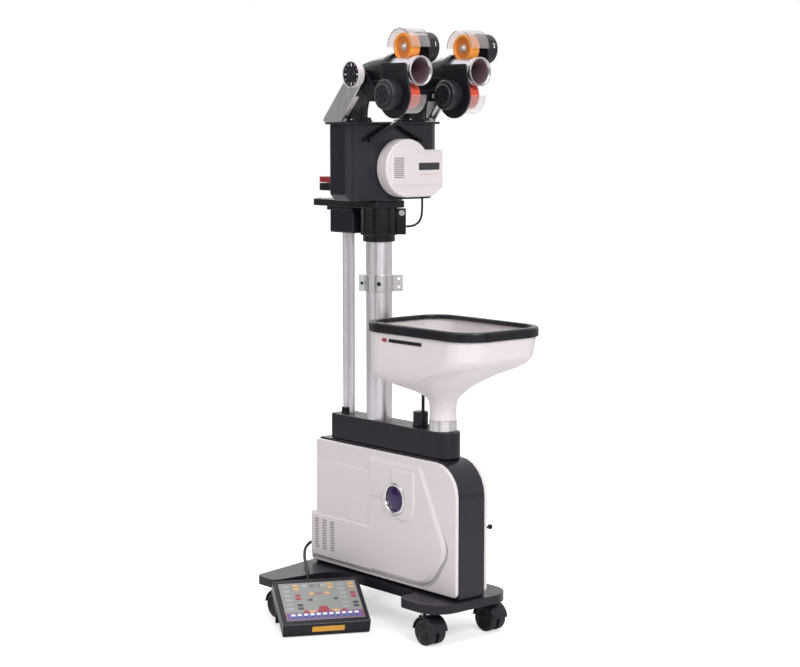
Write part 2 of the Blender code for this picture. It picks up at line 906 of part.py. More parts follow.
def make_casters():
    """The four casters, each a hood on its swivel and a pair of wheels on its axle."""
    hood = caster_hood()
    wheel = caster_wheel()
    corners = {
        "front_right": (-FRONT_CASTER[0], FRONT_CASTER[1]),
        "front_left": FRONT_CASTER,
        "rear_right": (-REAR_CASTER[0], REAR_CASTER[1]),
        "rear_left": REAR_CASTER,
    }
    for name, (across, ahead) in corners.items():
        stem = at(across, ahead, FRAME_BOTTOM)
        axle = at(across, ahead + CASTER_TRAIL, CASTER_RADIUS)
        swivel = empty_at("swivel_" + name, stem)
        axis = empty_at("axle_" + name, axle)
        place = Matrix.Translation(axle)
        shell = object_from(hood.data.copy(), place @ hood.matrix_world)
        keep(shell, "caster_hood_" + name, BLACK, swivel)
        tread = object_from(wheel.data.copy(), place @ wheel.matrix_world)
        keep(tread, "caster_wheel_" + name, RUBBER, axis)
    bpy.data.objects.remove(hood, do_unlink=True)
    bpy.data.objects.remove(wheel, do_unlink=True)


def make_core():
    """The black body between the covers, with the wheel pocket and the two ball bores."""
    back = -CORE_TAIL
    low_back = back - CORE_STEP_BACK
    step = CORE_BOTTOM + CORE_STEP_UP
    outline = rounded([
        (low_back, CORE_BOTTOM, CORE_EDGE),
        (low_back, step - CORE_STEP_RISE, CORE_STEP_RISE),
        (back, step + CORE_STEP_RISE, CORE_STEP_RISE),
        (back, CORE_TOP, CORE_EDGE),
        (CORE_FRONT, CORE_TOP, CORE_CORNER),
        (CORE_FRONT, CORE_BOTTOM, CORE_EDGE),
    ], 12)
    core = side_slab(outline, (-CORE_HALF, CORE_HALF))
    centre = at(0, FEED_AHEAD, FEED_UP)
    out = centre - ACROSS * (CORE_HALF + OVER)
    deep = centre + ACROSS * (CORE_HALF - POCKET_SIDE)
    bore_end = centre + ACROSS * (CORE_HALF - FEED_WEB)
    cut(core, rod(POCKET_RADIUS, out, deep, 32))
    cut(core, rod(FEED_SHAFT_RADIUS + SHAFT_GAP, centre, bore_end, 16))
    for ahead in (0, BORE_SPACING):
        above = at(0, ahead, CORE_TOP + OVER)
        cut(core, rod(BORE_RADIUS, at(0, ahead, FEED_UP), above, 20))
    keep(core, "body_core", BLACK)


def make_feed_wheel():
    """The finger wheel that carries balls from the bowl's bore to the mast's bore."""
    tip = FEED_AHEAD + FEED_FINGER_REACH
    outline = []
    middle = (FEED_AHEAD, FEED_UP)
    for n in range(FEED_FINGERS):
        start = 360 * n / FEED_FINGERS
        near = start + FEED_FINGER_ROOT
        outline += arc(middle, tip, start - FEED_FINGER_TIP, start + FEED_FINGER_TIP, 2)
        outline += arc(middle, FEED_HUB_RADIUS, near, near + FEED_HUB_SWEEP, 2)
    half = FEED_THICKNESS / 2
    wheel = side_slab(outline, (-half, half))
    centre = at(0, FEED_AHEAD, FEED_UP)
    start = centre - ACROSS * (CORE_HALF - GAP)
    end = centre + ACROSS * (CORE_HALF - FEED_WEB - GAP)
    join(wheel, rod(FEED_SHAFT_RADIUS, start, end, 16))
    keep(wheel, "feed_wheel", RED, empty_at("feed_axis", centre))


def cover_outline():
    """Side view of a cover's shell."""
    step = CORE_BOTTOM + CORE_STEP_UP
    front = CORE_FRONT - COVER_NOSE
    return rounded([
        (COVER_LOW_BACK, COVER_BOTTOM, COVER_EDGE),
        (COVER_LOW_BACK, step - CORE_STEP_RISE, COVER_ROUND),
        (COVER_BACK, step + CORE_STEP_RISE, COVER_ROUND),
        (COVER_BACK, COVER_TOP, COVER_EDGE),
        (front, COVER_TOP, COVER_CORNER),
        (front, COVER_BOTTOM, COVER_EDGE),
    ], 12)


def panel_outline():
    """Side view of the raised field, with its long sloping front edge."""
    front = CORE_FRONT - FIELD_FRONT
    low = COVER_BOTTOM + FIELD_BOTTOM
    high = COVER_TOP - FIELD_TOP
    return rounded([
        (FIELD_AHEAD, low, 0.001),
        (FIELD_AHEAD, high, COVER_EDGE),
        (front - FIELD_SLOPE_TOP, high, 0.012),
        (front, COVER_TOP - FIELD_SLOPE_BREAK, 0.040),
        (front - FIELD_SLOPE_FOOT, low, 0.050),
    ], 15)


def make_cover(name, side):
    """One white side cover: shell, raised fields, ridges, vents and lens seat."""
    low, high = COVER_INNER, SHELL_FACE
    step = CORE_BOTTOM + CORE_STEP_UP

    def layer(outline, inner, outer, edge):
        levels = sorted((side * inner, side * outer))
        made = side_slab(outline, levels)
        return settled(bevel(made, edge, 1, 50))

    cover = layer(cover_outline(), low, high, COVER_ROUND)
    sunk = high - FIELD_SINK
    join(cover, layer(panel_outline(), sunk, PANEL_FACE, FIELD_ROUND))
    back = COVER_LOW_BACK + FIELD_MARGIN
    lower = rounded([
        (back, COVER_BOTTOM + FIELD_BOTTOM, 0.002),
        (back, step, 0.004),
        (LOWER_FIELD_AHEAD, step, 0.004),
        (LOWER_FIELD_AHEAD, COVER_BOTTOM + FIELD_BOTTOM, 0.001),
    ], 30)
    join(cover, layer(lower, sunk, PANEL_FACE - COVER_NOSE, 0.0020))
    back = COVER_BACK + FIELD_MARGIN
    letter_top = COVER_TOP - LETTER_FIELD_TOP
    letter_field = rounded([
        (back, step - 0.004, 0.002),
        (back, letter_top, 0.004),
        (LETTER_FIELD_AHEAD, letter_top, 0.004),
        (LETTER_FIELD_AHEAD, step - 0.004, 0.001),
    ], 30)
    join(cover, layer(letter_field, sunk, high + LETTER_FIELD_FACE, 0.0010))
    if side > 0:
        keep(cover, name, WHITE)
        return
    boss = at(0, LENS_AHEAD + BOSS_AHEAD, LENS_UP - BOSS_DROP)
    face = PANEL_FACE + BOSS_PROUD
    disc = rod(BOSS_RADIUS, boss + ACROSS * side * sunk, boss + ACROSS * side * face, 24)
    join(cover, settled(bevel(disc, 0.0010, 1, 50)))
    lens = at(0, LENS_AHEAD, LENS_UP)
    seat = lens + ACROSS * side * (PANEL_FACE - BEZEL_SEAT)
    cut(cover, rod(BEZEL_RADIUS + GAP, seat, lens + ACROSS * side * (PANEL_FACE + OVER), 28))
    levels = sorted((side * (PANEL_FACE - VENT_HEIGHT), side * (PANEL_FACE + LAP)))
    for column in range(VENT_COLUMNS):
        first = COVER_LOW_BACK + VENT_BACK + VENT_COLUMN_PITCH * column
        for row in range(VENT_ROWS):
            up = COVER_BOTTOM + VENT_UP + VENT_PITCH * row
            cut(cover, block(levels, (first, first + VENT_LENGTH), (up, up + VENT_HEIGHT)))
    keep(cover, name, WHITE)


def make_lens():
    """The round window in the right cover and its ring."""
    seat = PANEL_FACE - BEZEL_SEAT + GAP
    face = PANEL_FACE + BEZEL_DEPTH
    place = axis_frame(-ACROSS, at(0, LENS_AHEAD, LENS_UP))
    ring = [
        (BEZEL_RADIUS - BEZEL_ROUND, face),
        (BEZEL_RADIUS, face - BEZEL_SEAT),
        (BEZEL_RADIUS, seat),
        (LENS_RADIUS - BEZEL_LIP, seat),
        (LENS_RADIUS - BEZEL_LIP, seat + BEZEL_FLOOR),
        (LENS_RADIUS + GAP, seat + BEZEL_FLOOR),
        (LENS_RADIUS + GAP, face - LAP),
    ]
    keep(turned(ring, place, 24), "lens_bezel", SILVER)
    rest = seat + BEZEL_FLOOR + GAP
    crown = face - LENS_DROP
    glass = [(0, crown), (LENS_RADIUS * 0.6, crown - LENS_CROWN * 0.3)]
    glass += [(LENS_RADIUS, crown - LENS_CROWN), (LENS_RADIUS, rest), (0, rest)]
    keep(turned(glass, place, 24), "cover_lens", VIOLET)


def make_tank():
    """The black housing on the body that holds the mast, with both ball bores."""
    front = BORE_SPACING + TANK_NOSE
    back = -TANK_TAIL
    outline = arc((0, front), TANK_HALF, 0, 180, 12)
    outline += arc((-TANK_HALF + TANK_CORNER, back + TANK_CORNER), TANK_CORNER, 180, 270, 3)
    outline += arc((TANK_HALF - TANK_CORNER, back + TANK_CORNER), TANK_CORNER, 270, 360, 3)
    tank = settled(bevel(plan_slab(outline, (TANK_BOTTOM, TANK_TOP)), 0.0012, 1, 50))
    base = at(0, CONDUIT_REAR_AHEAD, TANK_TOP - LAP)
    top = at(0, CONDUIT_REAR_AHEAD, TANK_TOP + GROMMET_HEIGHT)
    join(tank, rod(GROMMET_RADIUS, base, top, 16))
    cut(tank, rod(CONDUIT_RADIUS + GAP, at(0, CONDUIT_REAR_AHEAD, TANK_TOP), top + UP, 16))
    for ahead in (0, BORE_SPACING):
        start = at(0, ahead, TANK_BOTTOM - OVER)
        cut(tank, rod(BORE_RADIUS, start, at(0, ahead, TANK_TOP + OVER), 20))
    seat = at(0, 0, TANK_TOP - MAST_SEAT)
    cut(tank, rod(MAST_HOLE, seat, at(0, 0, TANK_TOP + OVER), 28))
    keep(tank, "tank_housing", BLACK)


def make_mast():
    """The bright mast tube and the two cable conduits behind it."""
    ring = [
        (MAST_RADIUS, MAST_TOP),
        (MAST_RADIUS, MAST_BOTTOM),
        (MAST_INNER, MAST_BOTTOM),
        (MAST_INNER, MAST_TOP),
    ]
    keep(turned(ring, Matrix.Identity(4), 28), "mast_tube", SILVER)
    top = SUPPORT_BOTTOM - MOTOR_BOX_HEIGHT - 2 * GAP
    for name, ahead in (("front", CONDUIT_FRONT_AHEAD), ("rear", CONDUIT_REAR_AHEAD)):
        bar = rod(CONDUIT_RADIUS, at(0, ahead, TANK_TOP + GAP), at(0, ahead, top), 16)
        keep(bar, "conduit_" + name, SILVER)


# The bowl's shape between its neck and its rim: height, then how far the back, the front
# and the sides have opened from the neck's circle to the rim's size
BOWL_STATIONS = (
    (0.000, 0.000, 0.000, 0.000),
    (0.150, 0.000, 0.000, 0.000),
    (0.215, 0.030, 0.025, 0.035),
    (0.255, 0.130, 0.062, 0.110),
    (0.295, 0.300, 0.095, 0.225),
    (0.350, 0.777, 0.130, 0.437),
    (0.418, 0.930, 0.235, 0.750),
    (0.493, 0.972, 0.400, 0.915),
    (0.562, 0.985, 0.640, 0.965),
    (0.637, 0.991, 0.842, 0.985),
    (0.715, 0.994, 0.940, 0.990),
    (0.955, 1.000, 1.000, 1.000),
    (1.000, 1.000, 1.000, 1.000),
)


def bowl_section(up, back, front, sides, inset):
    """One level of the bowl as 20 points, with its wall set in by inset."""
    neck = NECK_RADIUS - inset
    half = neck + (BOWL_HALF_WIDTH - inset - neck) * sides
    ahead = BORE_SPACING + neck + (BOWL_FRONT_REACH - inset - neck) * front
    behind = BORE_SPACING - neck - (BOWL_BACK_REACH - inset - neck) * back
    middle = (ahead + behind) / 2
    reach = (ahead - behind) / 2
    corner = min(half, reach, neck + (BOWL_CORNER - inset - neck) * sides ** 0.6)
    points = []
    for n in range(20):
        angle = math.radians(18 * n + 9)
        x = math.copysign(half - corner, math.cos(angle)) + corner * math.cos(angle)
        y = math.copysign(reach - corner, math.sin(angle)) + corner * math.sin(angle)
        points.append(at(x, middle + y, up))
    return points


def bowl_underside(reach):
    """The level of the bowl's underside at a distance behind its neck's middle."""
    wanted = (reach - NECK_RADIUS) / (BOWL_BACK_REACH - NECK_RADIUS)
    for lower, upper in zip(BOWL_STATIONS, BOWL_STATIONS[1:]):
        if upper[1] > wanted:
            part = (wanted - lower[1]) / (upper[1] - lower[1])
            share = lower[0] + (upper[0] - lower[0]) * max(0, part)
            break
    return NECK_BOTTOM + (RIM_TOP - RIM_IN - NECK_BOTTOM) * share


def make_bowl():
    """The white ball bowl: a lofted shell from the round neck to the wide rim."""
    top = RIM_TOP - RIM_IN
    outside = []
    inside = []
    for share, back, front, sides in BOWL_STATIONS:
        up = NECK_BOTTOM + (top - NECK_BOTTOM) * share
        lift = 0.8 * BOWL_WALL if 0.15 < share < 0.6 else 0
        outside.append(bowl_section(up, back, front, sides, 0))
        inside.append(bowl_section(up + lift, back, front, sides, BOWL_WALL))
    keep(loft(outside + inside[::-1], True), "hopper_bowl", WHITE)


def rim_section(out, up):
    """One loop of the rim band, out from the bowl's wall."""
    points = bowl_section(up, 1, 1, 1, 0)
    half = BOWL_HALF_WIDTH - BOWL_CORNER
    middle = BORE_SPACING + (BOWL_FRONT_REACH - BOWL_BACK_REACH) / 2
    reach = (BOWL_FRONT_REACH + BOWL_BACK_REACH) / 2 - BOWL_CORNER
    made = []
    for point in points:
        x = max(-half, min(half, point.x))
        ahead = max(middle - reach, min(middle + reach, -point.y))
        corner = at(x, ahead, up)
        made.append(corner + (point - corner).normalized() * (BOWL_CORNER + out))
    return made


def make_rim():
    """The rubber band that is pushed over the bowl's edge."""
    inner = -BOWL_WALL - GAP
    wall_top = RIM_TOP - RIM_IN + GAP
    low = RIM_TOP - RIM_HEIGHT
    loops = [
        (GAP, low),
        (RIM_OUT, low + 0.001),
        (RIM_OUT, RIM_TOP - 0.0035),
        (RIM_OUT - 0.003, RIM_TOP),
        (inner - 0.0035, RIM_TOP),
        (inner - 0.005, RIM_TOP - 0.003),
        (inner - 0.0045, wall_top - 0.004),
        (inner, wall_top - 0.0045),
        (inner, wall_top),
        (GAP, wall_top),
    ]
    keep(loft([rim_section(out, up) for out, up in loops], True), "hopper_rim", RUBBER)


def make_bowl_fittings():
    """The socket under the bowl's neck and the post that steadies the bowl."""
    inner = BORE_RADIUS + SOCKET_SLACK
    outer = inner + SOCKET_WALL
    ring = [
        (outer, SOCKET_TOP),
        (outer, SOCKET_BOTTOM),
        (inner, SOCKET_BOTTOM),
        (inner, SOCKET_TOP),
    ]
    place = Matrix.Translation(at(0, BORE_SPACING, 0))
    keep(turned(ring, place, 24), "hopper_socket", SILVER)
    base = at(0, STAY_AHEAD, TANK_TOP + GAP)
    post = rod(STAY_RADIUS, base, base + UP * STAY_HEIGHT, 20)
    post = settled(bevel(post, 0.001, 1, 50))
    foot = base + AHEAD * STAY_ROD_SHIFT + UP * (STAY_HEIGHT - LAP)
    reach = BORE_SPACING - STAY_AHEAD - STAY_ROD_SHIFT - STAY_ROD_RADIUS
    top = Vector((foot.x, foot.y, bowl_underside(reach) - STAY_ROD_GAP))
    join(post, rod(STAY_ROD_RADIUS, foot, top, 10))
    keep(post, "hopper_stay", BLACK)


def turned_block(angle, along, aside, up):
    """A block in a plan turned by angle from across towards ahead."""
    way = at(math.cos(angle), math.sin(angle), 0)
    place = frame_of(way, UP.cross(way), Vector((0, 0, 0)))
    return box((along[0], aside[0], up[0]), (along[1], aside[1], up[1]), place)


# The clamp's and the collar's ears lie in this direction, from across towards ahead
EAR_ANGLE = math.radians(40.7)


def make_clamp():
    """The bright two-eared clamp halfway up the mast."""
    low = MAST_BOTTOM + CLAMP_UP
    high = low + CLAMP_HEIGHT
    outer = MAST_HOLE + CLAMP_WALL
    ring = [(outer, high), (outer, low), (MAST_HOLE, low), (MAST_HOLE, high)]
    clamp = settled(turned(ring, Matrix.Identity(4), 24))
    levels = (low, high)
    root = MAST_HOLE + CLAMP_WALL / 3
    ear = (-CLAMP_EAR_HALF, CLAMP_EAR_HALF)
    join(clamp, turned_block(EAR_ANGLE + math.pi, (root, CLAMP_EAR), ear, levels))
    plate = (-CLAMP_PLATE_HALF, CLAMP_PLATE_HALF)
    join(clamp, turned_block(EAR_ANGLE, (root, CLAMP_PLATE), plate, levels))
    way = at(math.cos(EAR_ANGLE), math.sin(EAR_ANGLE), 0)
    off = UP.cross(way) * OVER
    for up in (low + CLAMP_HOLE_IN, high - CLAMP_HOLE_IN):
        hole = way * (CLAMP_PLATE - CLAMP_HOLE_IN) + UP * up
        cut(clamp, rod(CLAMP_HOLE_RADIUS, hole - off, hole + off, 10))
    slit = (MAST_HOLE - LAP, CLAMP_EAR + LAP)
    half = CLAMP_SLIT / 2
    levels = (low - OVER, high + OVER)
    cut(clamp, turned_block(EAR_ANGLE + math.pi, slit, (-half, half), levels))
    keep(clamp, "mast_clamp", SILVER)


def make_collar():
    """The split collar that carries the support plate."""
    low = COLLAR_TOP - COLLAR_FOOT - COLLAR_HEIGHT
    step = COLLAR_TOP - COLLAR_HEIGHT
    ring = [
        (COLLAR_RADIUS, COLLAR_TOP),
        (COLLAR_RADIUS, step + 0.001),
        (COLLAR_RADIUS - 0.001, step),
        (COLLAR_FOOT_RADIUS, step),
        (COLLAR_FOOT_RADIUS, low),
        (MAST_HOLE, low),
        (MAST_HOLE, COLLAR_TOP),
    ]
    collar = settled(turned(ring, Matrix.Identity(4), 24))
    lug = (MAST_HOLE + 0.004, COLLAR_EAR)
    aside = (-COLLAR_EAR_HALF, COLLAR_EAR_HALF)
    ear = turned_block(EAR_ANGLE, lug, aside, (step + 0.001, COLLAR_TOP - 0.001))
    join(collar, settled(bevel(ear, 0.0015, 1, 50)))
    slit = (MAST_HOLE - LAP, COLLAR_EAR + LAP)
    half = COLLAR_SLIT / 2
    cut(collar, turned_block(EAR_ANGLE, slit, (-half, half), (low - OVER, COLLAR_TOP + OVER)))
    keep(collar, "pan_collar", BLACK)


def make_support():
    """The plate on top of the mast and the pan motor's box under it."""
    half = SUPPORT_HALF
    outline = rounded([
        (-half, SUPPORT_BACK, 0.006),
        (half, SUPPORT_BACK, 0.006),
        (half, SUPPORT_FRONT, 0.012),
        (-half, SUPPORT_FRONT, 0.012),
    ])
    plate = plan_slab(outline, (SUPPORT_BOTTOM, MAST_TOP))
    plate = settled(bevel(plate, 0.0015, 1, 50))
    cut(plate, rod(MAST_HOLE, at(0, 0, SUPPORT_BOTTOM - OVER), at(0, 0, MAST_TOP + OVER), 28))
    keep(plate, "support_plate", BLACK)
    top = SUPPORT_BOTTOM - GAP
    low = top - MOTOR_BOX_HEIGHT
    half = MOTOR_BOX_HALF
    ahead = (MOTOR_BOX_BACK, MOTOR_BOX_FRONT)
    body = block((-half, half), ahead, (low, top - MOTOR_BOX_FLANGE + 0.001))
    body = settled(bevel(body, 0.003, 2, 50))
    wide = half + MOTOR_BOX_LIP
    lip = (MOTOR_BOX_BACK - MOTOR_BOX_LIP, MOTOR_BOX_FRONT)
    join(body, block((-wide, wide), lip, (top - MOTOR_BOX_FLANGE, top)))
    keep(body, "pan_motor_box", BLACK)


def make_ball_box(pan):
    """The dark box that turns on the mast, with its foot ring and top flange."""
    half = BOX_HALF
    depth = BOX_CHAMFER_AHEAD

    def level(up, reach):
        inner = reach - BOX_CHAMFER_ACROSS
        edge = [
            (reach, BOX_BACK + depth), (reach, BOX_FRONT - depth),
            (inner, BOX_FRONT), (-inner, BOX_FRONT),
            (-reach, BOX_FRONT - depth), (-reach, BOX_BACK + depth),
            (-inner, BOX_BACK), (inner, BOX_BACK),
        ]
        return [at(x, ahead, up) for x, ahead in edge]

    bottom = level(BOX_BOTTOM, half - BOX_BEVEL_UP)
    shoulder = level(BOX_BOTTOM + BOX_BEVEL_UP, half)
    shell = loft([bottom, shoulder, level(BOX_TOP + 0.001, half)])
    wide = half + FLANGE_LIP
    front = BOX_FRONT + FLANGE_LIP
    back = BOX_BACK - FLANGE_LIP
    lip = rounded([
        (wide, back, 0.006), (wide, front, 0.006), (-wide, front, 0.006), (-wide, back, 0.006),
    ], 30)
    join(shell, settled(bevel(plan_slab(lip, (BOX_TOP, FLANGE_TOP)), 0.001, 1, 50)))
    foot = at(0, 0, MAST_TOP + GAP)
    join(shell, rod(BOX_FOOT_RADIUS, foot, foot + UP * (BOX_FOOT + LAP), 24))
    keep(shell, "ball_box", DARK, pan)


def housing_outline(inset):
    """The front housing's outline, a disc with a squared wing, drawn in by inset."""
    x = HOUSING_ACROSS
    up = BOX_BOTTOM + HOUSING_UP
    r = HOUSING_RADIUS - inset
    top = HOUSING_WING_TOP - inset
    reach = x + HOUSING_REACH - inset
    meet = math.degrees(math.asin(top / r))
    outline = arc((x, up), r, 270, meet, 16)
    outline += [
        (reach, up + top),
        (reach, up - r + 0.0165),
        (reach - 0.0135, up - r + 0.0095),
        (reach - 0.025, up - r),
    ]
    return outline


def make_housing(pan):
    """The white front housing of the drive, with its louvres and its display recess."""
    back = BOX_FRONT + GAP
    face = back + HOUSING_DEPTH - HOUSING_STEP
    body = settled(bevel(front_slab(housing_outline(0), (back, face)), HOUSING_ROUND, 1, 40))
    raised = front_slab(housing_outline(HOUSING_FACE_INSET), (face - LAP, face + HOUSING_STEP))
    join(body, settled(bevel(raised, 0.0008, 1, 40)))
    x = HOUSING_ACROSS + WINDOW_LOW
    up = BOX_BOTTOM + HOUSING_UP - WINDOW_DROP
    front = face + HOUSING_STEP
    pocket = (front - WINDOW_SINK, front + OVER)
    cut(body, block((x, x + WINDOW_LENGTH), pocket, (up, up + WINDOW_HEIGHT)))
    left = HOUSING_ACROSS - LOUVRE_BACK
    slot = (front - LOUVRE_SINK, front + OVER)
    for n in range(LOUVRES):
        low = up - LOUVRE_DROP + LOUVRE_PITCH * n
        cut(body, block((left, left + LOUVRE_LENGTH), slot, (low, low + LOUVRE_HEIGHT)))
    keep(body, "front_housing", WHITE, pan)


def make_brace(pan):
    """The inverted V of strap across the front of the box, on two short spacers."""
    back = BOX_FRONT + FLANGE_LIP + GAP
    top = BOX_TOP + BRACE_RISE
    low = top - BRACE_DROP
    h = BRACE_HALF_HEIGHT
    span = BRACE_SPAN
    outline = [(-span, low + h), (0, top + h), (span, low + h)]
    outline += [(span, low - h), (0, top - h), (-span, low - h)]
    brace = front_slab(outline, (back, back + BRACE_THICKNESS))
    brace = settled(bevel(brace, 0.001, 1, 30))
    for side in (-1, 1):
        x = side * (span - SPACER_INSET)
        up = low + SPACER_RADIUS
        join(brace, rod(SPACER_RADIUS, at(x, BOX_FRONT + GAP, up), at(x, back + LAP, up), 12))
    keep(brace, "front_brace", DARK, pan)


def make_connector(pan):
    """The cable connectors on the back of the box."""
    front = BOX_BACK - GAP
    back = front - CONNECTOR_DEPTH
    left = -BOX_HALF + CONNECTOR_IN
    low = BOX_BOTTOM + CONNECTOR_UP
    high = low + CONNECTOR_HEIGHT
    outer = (left, left + CONNECTOR_WIDTH)
    body = block(outer, (back, front), (low, high))
    body = settled(bevel(body, 0.0012, 1, 50))
    wall = CONNECTOR_WALL
    slot = (back - OVER, back + wall)
    pitch = (CONNECTOR_WIDTH - wall) / CONNECTOR_WAYS
    for n in range(CONNECTOR_WAYS):
        x = left + wall + pitch * n
        cut(body, block((x, x + pitch - wall), slot, (low + wall, high - wall)))
    keep(body, "connector_block", CONNECTOR_RED, pan)


def make_pan_cable(pan):
    """The short black cable from the housing down to the collar."""
    start = at(HOUSING_ACROSS + PAN_CABLE_ACROSS, BOX_FRONT + PAN_CABLE_AHEAD, 0)
    start.z = BOX_BOTTOM + HOUSING_UP - HOUSING_RADIUS - GAP
    angle = EAR_ANGLE
    reach = COLLAR_EAR + GAP
    end = at(reach * math.cos(angle), reach * math.sin(angle), COLLAR_TOP - PAN_CABLE_DROP)
    way = at(-math.cos(angle), -math.sin(angle), 0)
    route = bend(start, -UP, end, way, 0.034, 0.007)
    keep(tube(route, PAN_CABLE_RADIUS, 2), "pan_cable", RUBBER, pan)


def make_arm(name, side, pan):
    """One tilt bracket: a tapered side plate with a front flange and the axle's hole."""
    foot_top = ARM_BOTTOM + ARM_FOOT_RISE
    foot = [(ARM_FOOT_BACK, ARM_BOTTOM), (ARM_FOOT_BACK, foot_top)]
    foot += [(ARM_FOOT_FRONT, ARM_BOTTOM), (ARM_FOOT_FRONT, foot_top)]
    outline = hull(foot + circle((TILT_AHEAD, TILT_UP), ARM_HUB, 22))
    arm = side_slab(outline, sorted((side * ARM_INNER, side * ARM_OUTER)))
    edge = [point for point in outline if point[0] > ARM_FOOT_FRONT and point[1] < TILT_UP]
    low = Vector((ARM_FOOT_FRONT, foot_top))
    way = (Vector(min(edge, key=lambda point: point[1])) - low).normalized()
    back = Vector((-way.y, way.x))
    low = low + back * ARM_FLANGE_INSET
    high = low + way * (ARM_FLANGE_RISE - ARM_FOOT_RISE) / way.y
    inward = back * ARM_FLANGE_THICKNESS
    foot_front = ARM_FOOT_FRONT - ARM_FLANGE_INSET
    foot_low = ARM_BOTTOM + ARM_FLANGE_INSET
    strip = [
        (foot_front, foot_low),
        tuple(low),
        tuple(high),
        tuple(high + inward),
        tuple(low + inward),
        (foot_front - ARM_FLANGE_THICKNESS, foot_low + ARM_SOLE),
        (ARM_FOOT_BACK + ARM_SOLE, foot_low + ARM_SOLE),
        (ARM_FOOT_BACK + ARM_SOLE, foot_low),
    ]
    inner = HEAD_SPACING / 2 + DUCT_RADIUS + ARM_DUCT_GAP
    join(arm, side_slab(strip, sorted((side * inner, side * (ARM_INNER + 0.001)))))
    axle = at(0, TILT_AHEAD, TILT_UP)
    start = axle + ACROSS * side * (ARM_INNER - OVER)
    cut(arm, rod(STUB_RADIUS + SHAFT_GAP, start, axle + ACROSS * side * (ARM_OUTER + OVER), 16))
    keep(arm, name, SILVER, pan)


def make_dial():
    """The clamp knob on the right end of the tilt axle."""
    near = ARM_OUTER + DIAL_GAP
    far = near + DIAL_DEPTH
    r = DIAL_RADIUS
    profile = [
        (0, far - 0.0015), (r * 0.3, far - 0.0015), (r * 0.34, far - 0.0035),
        (r * 0.72, far - 0.0035), (r * 0.78, far), (r - 0.002, far), (r, far - 0.002),
        (r, near), (0, near),
    ]
    place = axis_frame(-ACROSS, at(0, TILT_AHEAD, TILT_UP))
    dial = settled(turned(profile, place, 20))
    holder = empty_at("dial_axis", at(-near, TILT_AHEAD, TILT_UP))
    for n in range(DIAL_GRIPS):
        angle = math.tau * n / DIAL_GRIPS
        spot = at(0, TILT_AHEAD + r * math.cos(angle), TILT_UP + r * math.sin(angle))
        outer = spot - ACROSS * (far + OVER)
        cut(dial, rod(GRIP_RADIUS, outer, spot - ACROSS * (near + GRIP_FOOT), 6))
    keep(dial, "elevation_dial", BLACK, holder)


def make_yoke(tilt):
    """The cross bar that carries both heads and turns on two stub axles."""
    top = TILT_UP - YOKE_DROP
    low = top - YOKE_HEIGHT
    front = YOKE_BACK + YOKE_DEPTH
    bar = block((-EAR_OUTER, EAR_OUTER), (YOKE_BACK, front), (low, top))
    bar = settled(bevel(bar, 0.001, 1, 50))
    corners = [(YOKE_BACK, low), (YOKE_BACK, top), (front, low), (front, top)]
    outline = hull(corners + circle((TILT_AHEAD, TILT_UP), EAR_HUB, 16))
    for side in (-1, 1):
        join(bar, side_slab(outline, sorted((side * EAR_INNER, side * EAR_OUTER))))
        axle = at(0, TILT_AHEAD, TILT_UP)
        start = axle + ACROSS * side * (EAR_OUTER - LAP)
        join(bar, rod(STUB_RADIUS, start, axle + ACROSS * side * (ARM_OUTER + STUB_PROUD), 16))
        x = side * HEAD_SPACING / 2
        tab = (front - LAP, RING_BACK + TAB_REACH)
        up = (top - TAB_DEPTH, BARREL_UP - RING_OUTER - GAP)
        join(bar, block((x - TAB_HALF, x + TAB_HALF), tab, up))
    keep(bar, "tilt_yoke", DARK, tilt)


def make_head(number, x, tilt):
    """One launching head about its barrel: frame, barrel, wheels, motors and guards."""
    axis = (WHEEL_AHEAD, BARREL_UP)
    upper = at(x, WHEEL_AHEAD, BARREL_UP + WHEEL_OFFSET)
    lower = at(x, WHEEL_AHEAD, BARREL_UP - WHEEL_OFFSET)
    ends = {"upper": (upper, 1), "lower": (lower, -1)}

    half = PLATE_HALF_HEIGHT
    strap = [
        (PLATE_BACK, BARREL_UP - half), (PLATE_BACK, BARREL_UP + half),
        (PLATE_FRONT, BARREL_UP - half), (PLATE_FRONT, BARREL_UP + half),
    ]
    line = axis_frame(AHEAD, at(x, RING_BACK, BARREL_UP))
    ring = [
        (RING_OUTER, RING_DEPTH), (RING_OUTER, 0), (RING_INNER, 0), (RING_INNER, RING_DEPTH),
    ]
    frame = settled(turned(ring, line, 24))
    for side, place, lobe in ((1, upper, LOBE_UPPER), (-1, lower, LOBE_LOWER)):
        outline = hull(strap + circle((WHEEL_AHEAD, place.z), lobe, 24))
        plate = side_slab(outline, sorted((x + side * PLATE_INNER, x + side * PLATE_OUTER)))
        join(frame, plate)
        out = ACROSS * side
        start = place + out * (PLATE_INNER - OVER)
        cut(frame, rod(PLATE_HOLE, start, place + out * (PLATE_OUTER + OVER), 12))
    keep(frame, "head_frame_%d" % number, BLACK, tilt)

    tube_line = axis_frame(AHEAD, at(x, BARREL_BACK, BARREL_UP))
    length = BARREL_LENGTH
    wall = [
        (BORE_RADIUS + BARREL_FLARE, length), (BARREL_RADIUS, length), (BARREL_RADIUS, 0),
        (BORE_RADIUS, 0), (BORE_RADIUS, length - BARREL_FLARE),
    ]
    barrel = settled(turned(wall, tube_line, 24))
    wide = WHEEL_WIDTH / 2 + SLOT_SIDE
    ahead = (axis[0] - SLOT_HALF_LENGTH, axis[0] + SLOT_HALF_LENGTH)
    reach = BARREL_RADIUS + OVER
    cut(barrel, block((x - wide, x + wide), ahead, (BARREL_UP - reach, BARREL_UP + reach)))
    keep(barrel, "barrel_%d" % number, SILVER, tilt)

    for level, (place, side) in ends.items():
        make_launch_wheel(number, level, place, side)
        make_motor(number, level, place, side, tilt)
        make_guard(number, level, place, side, tilt)


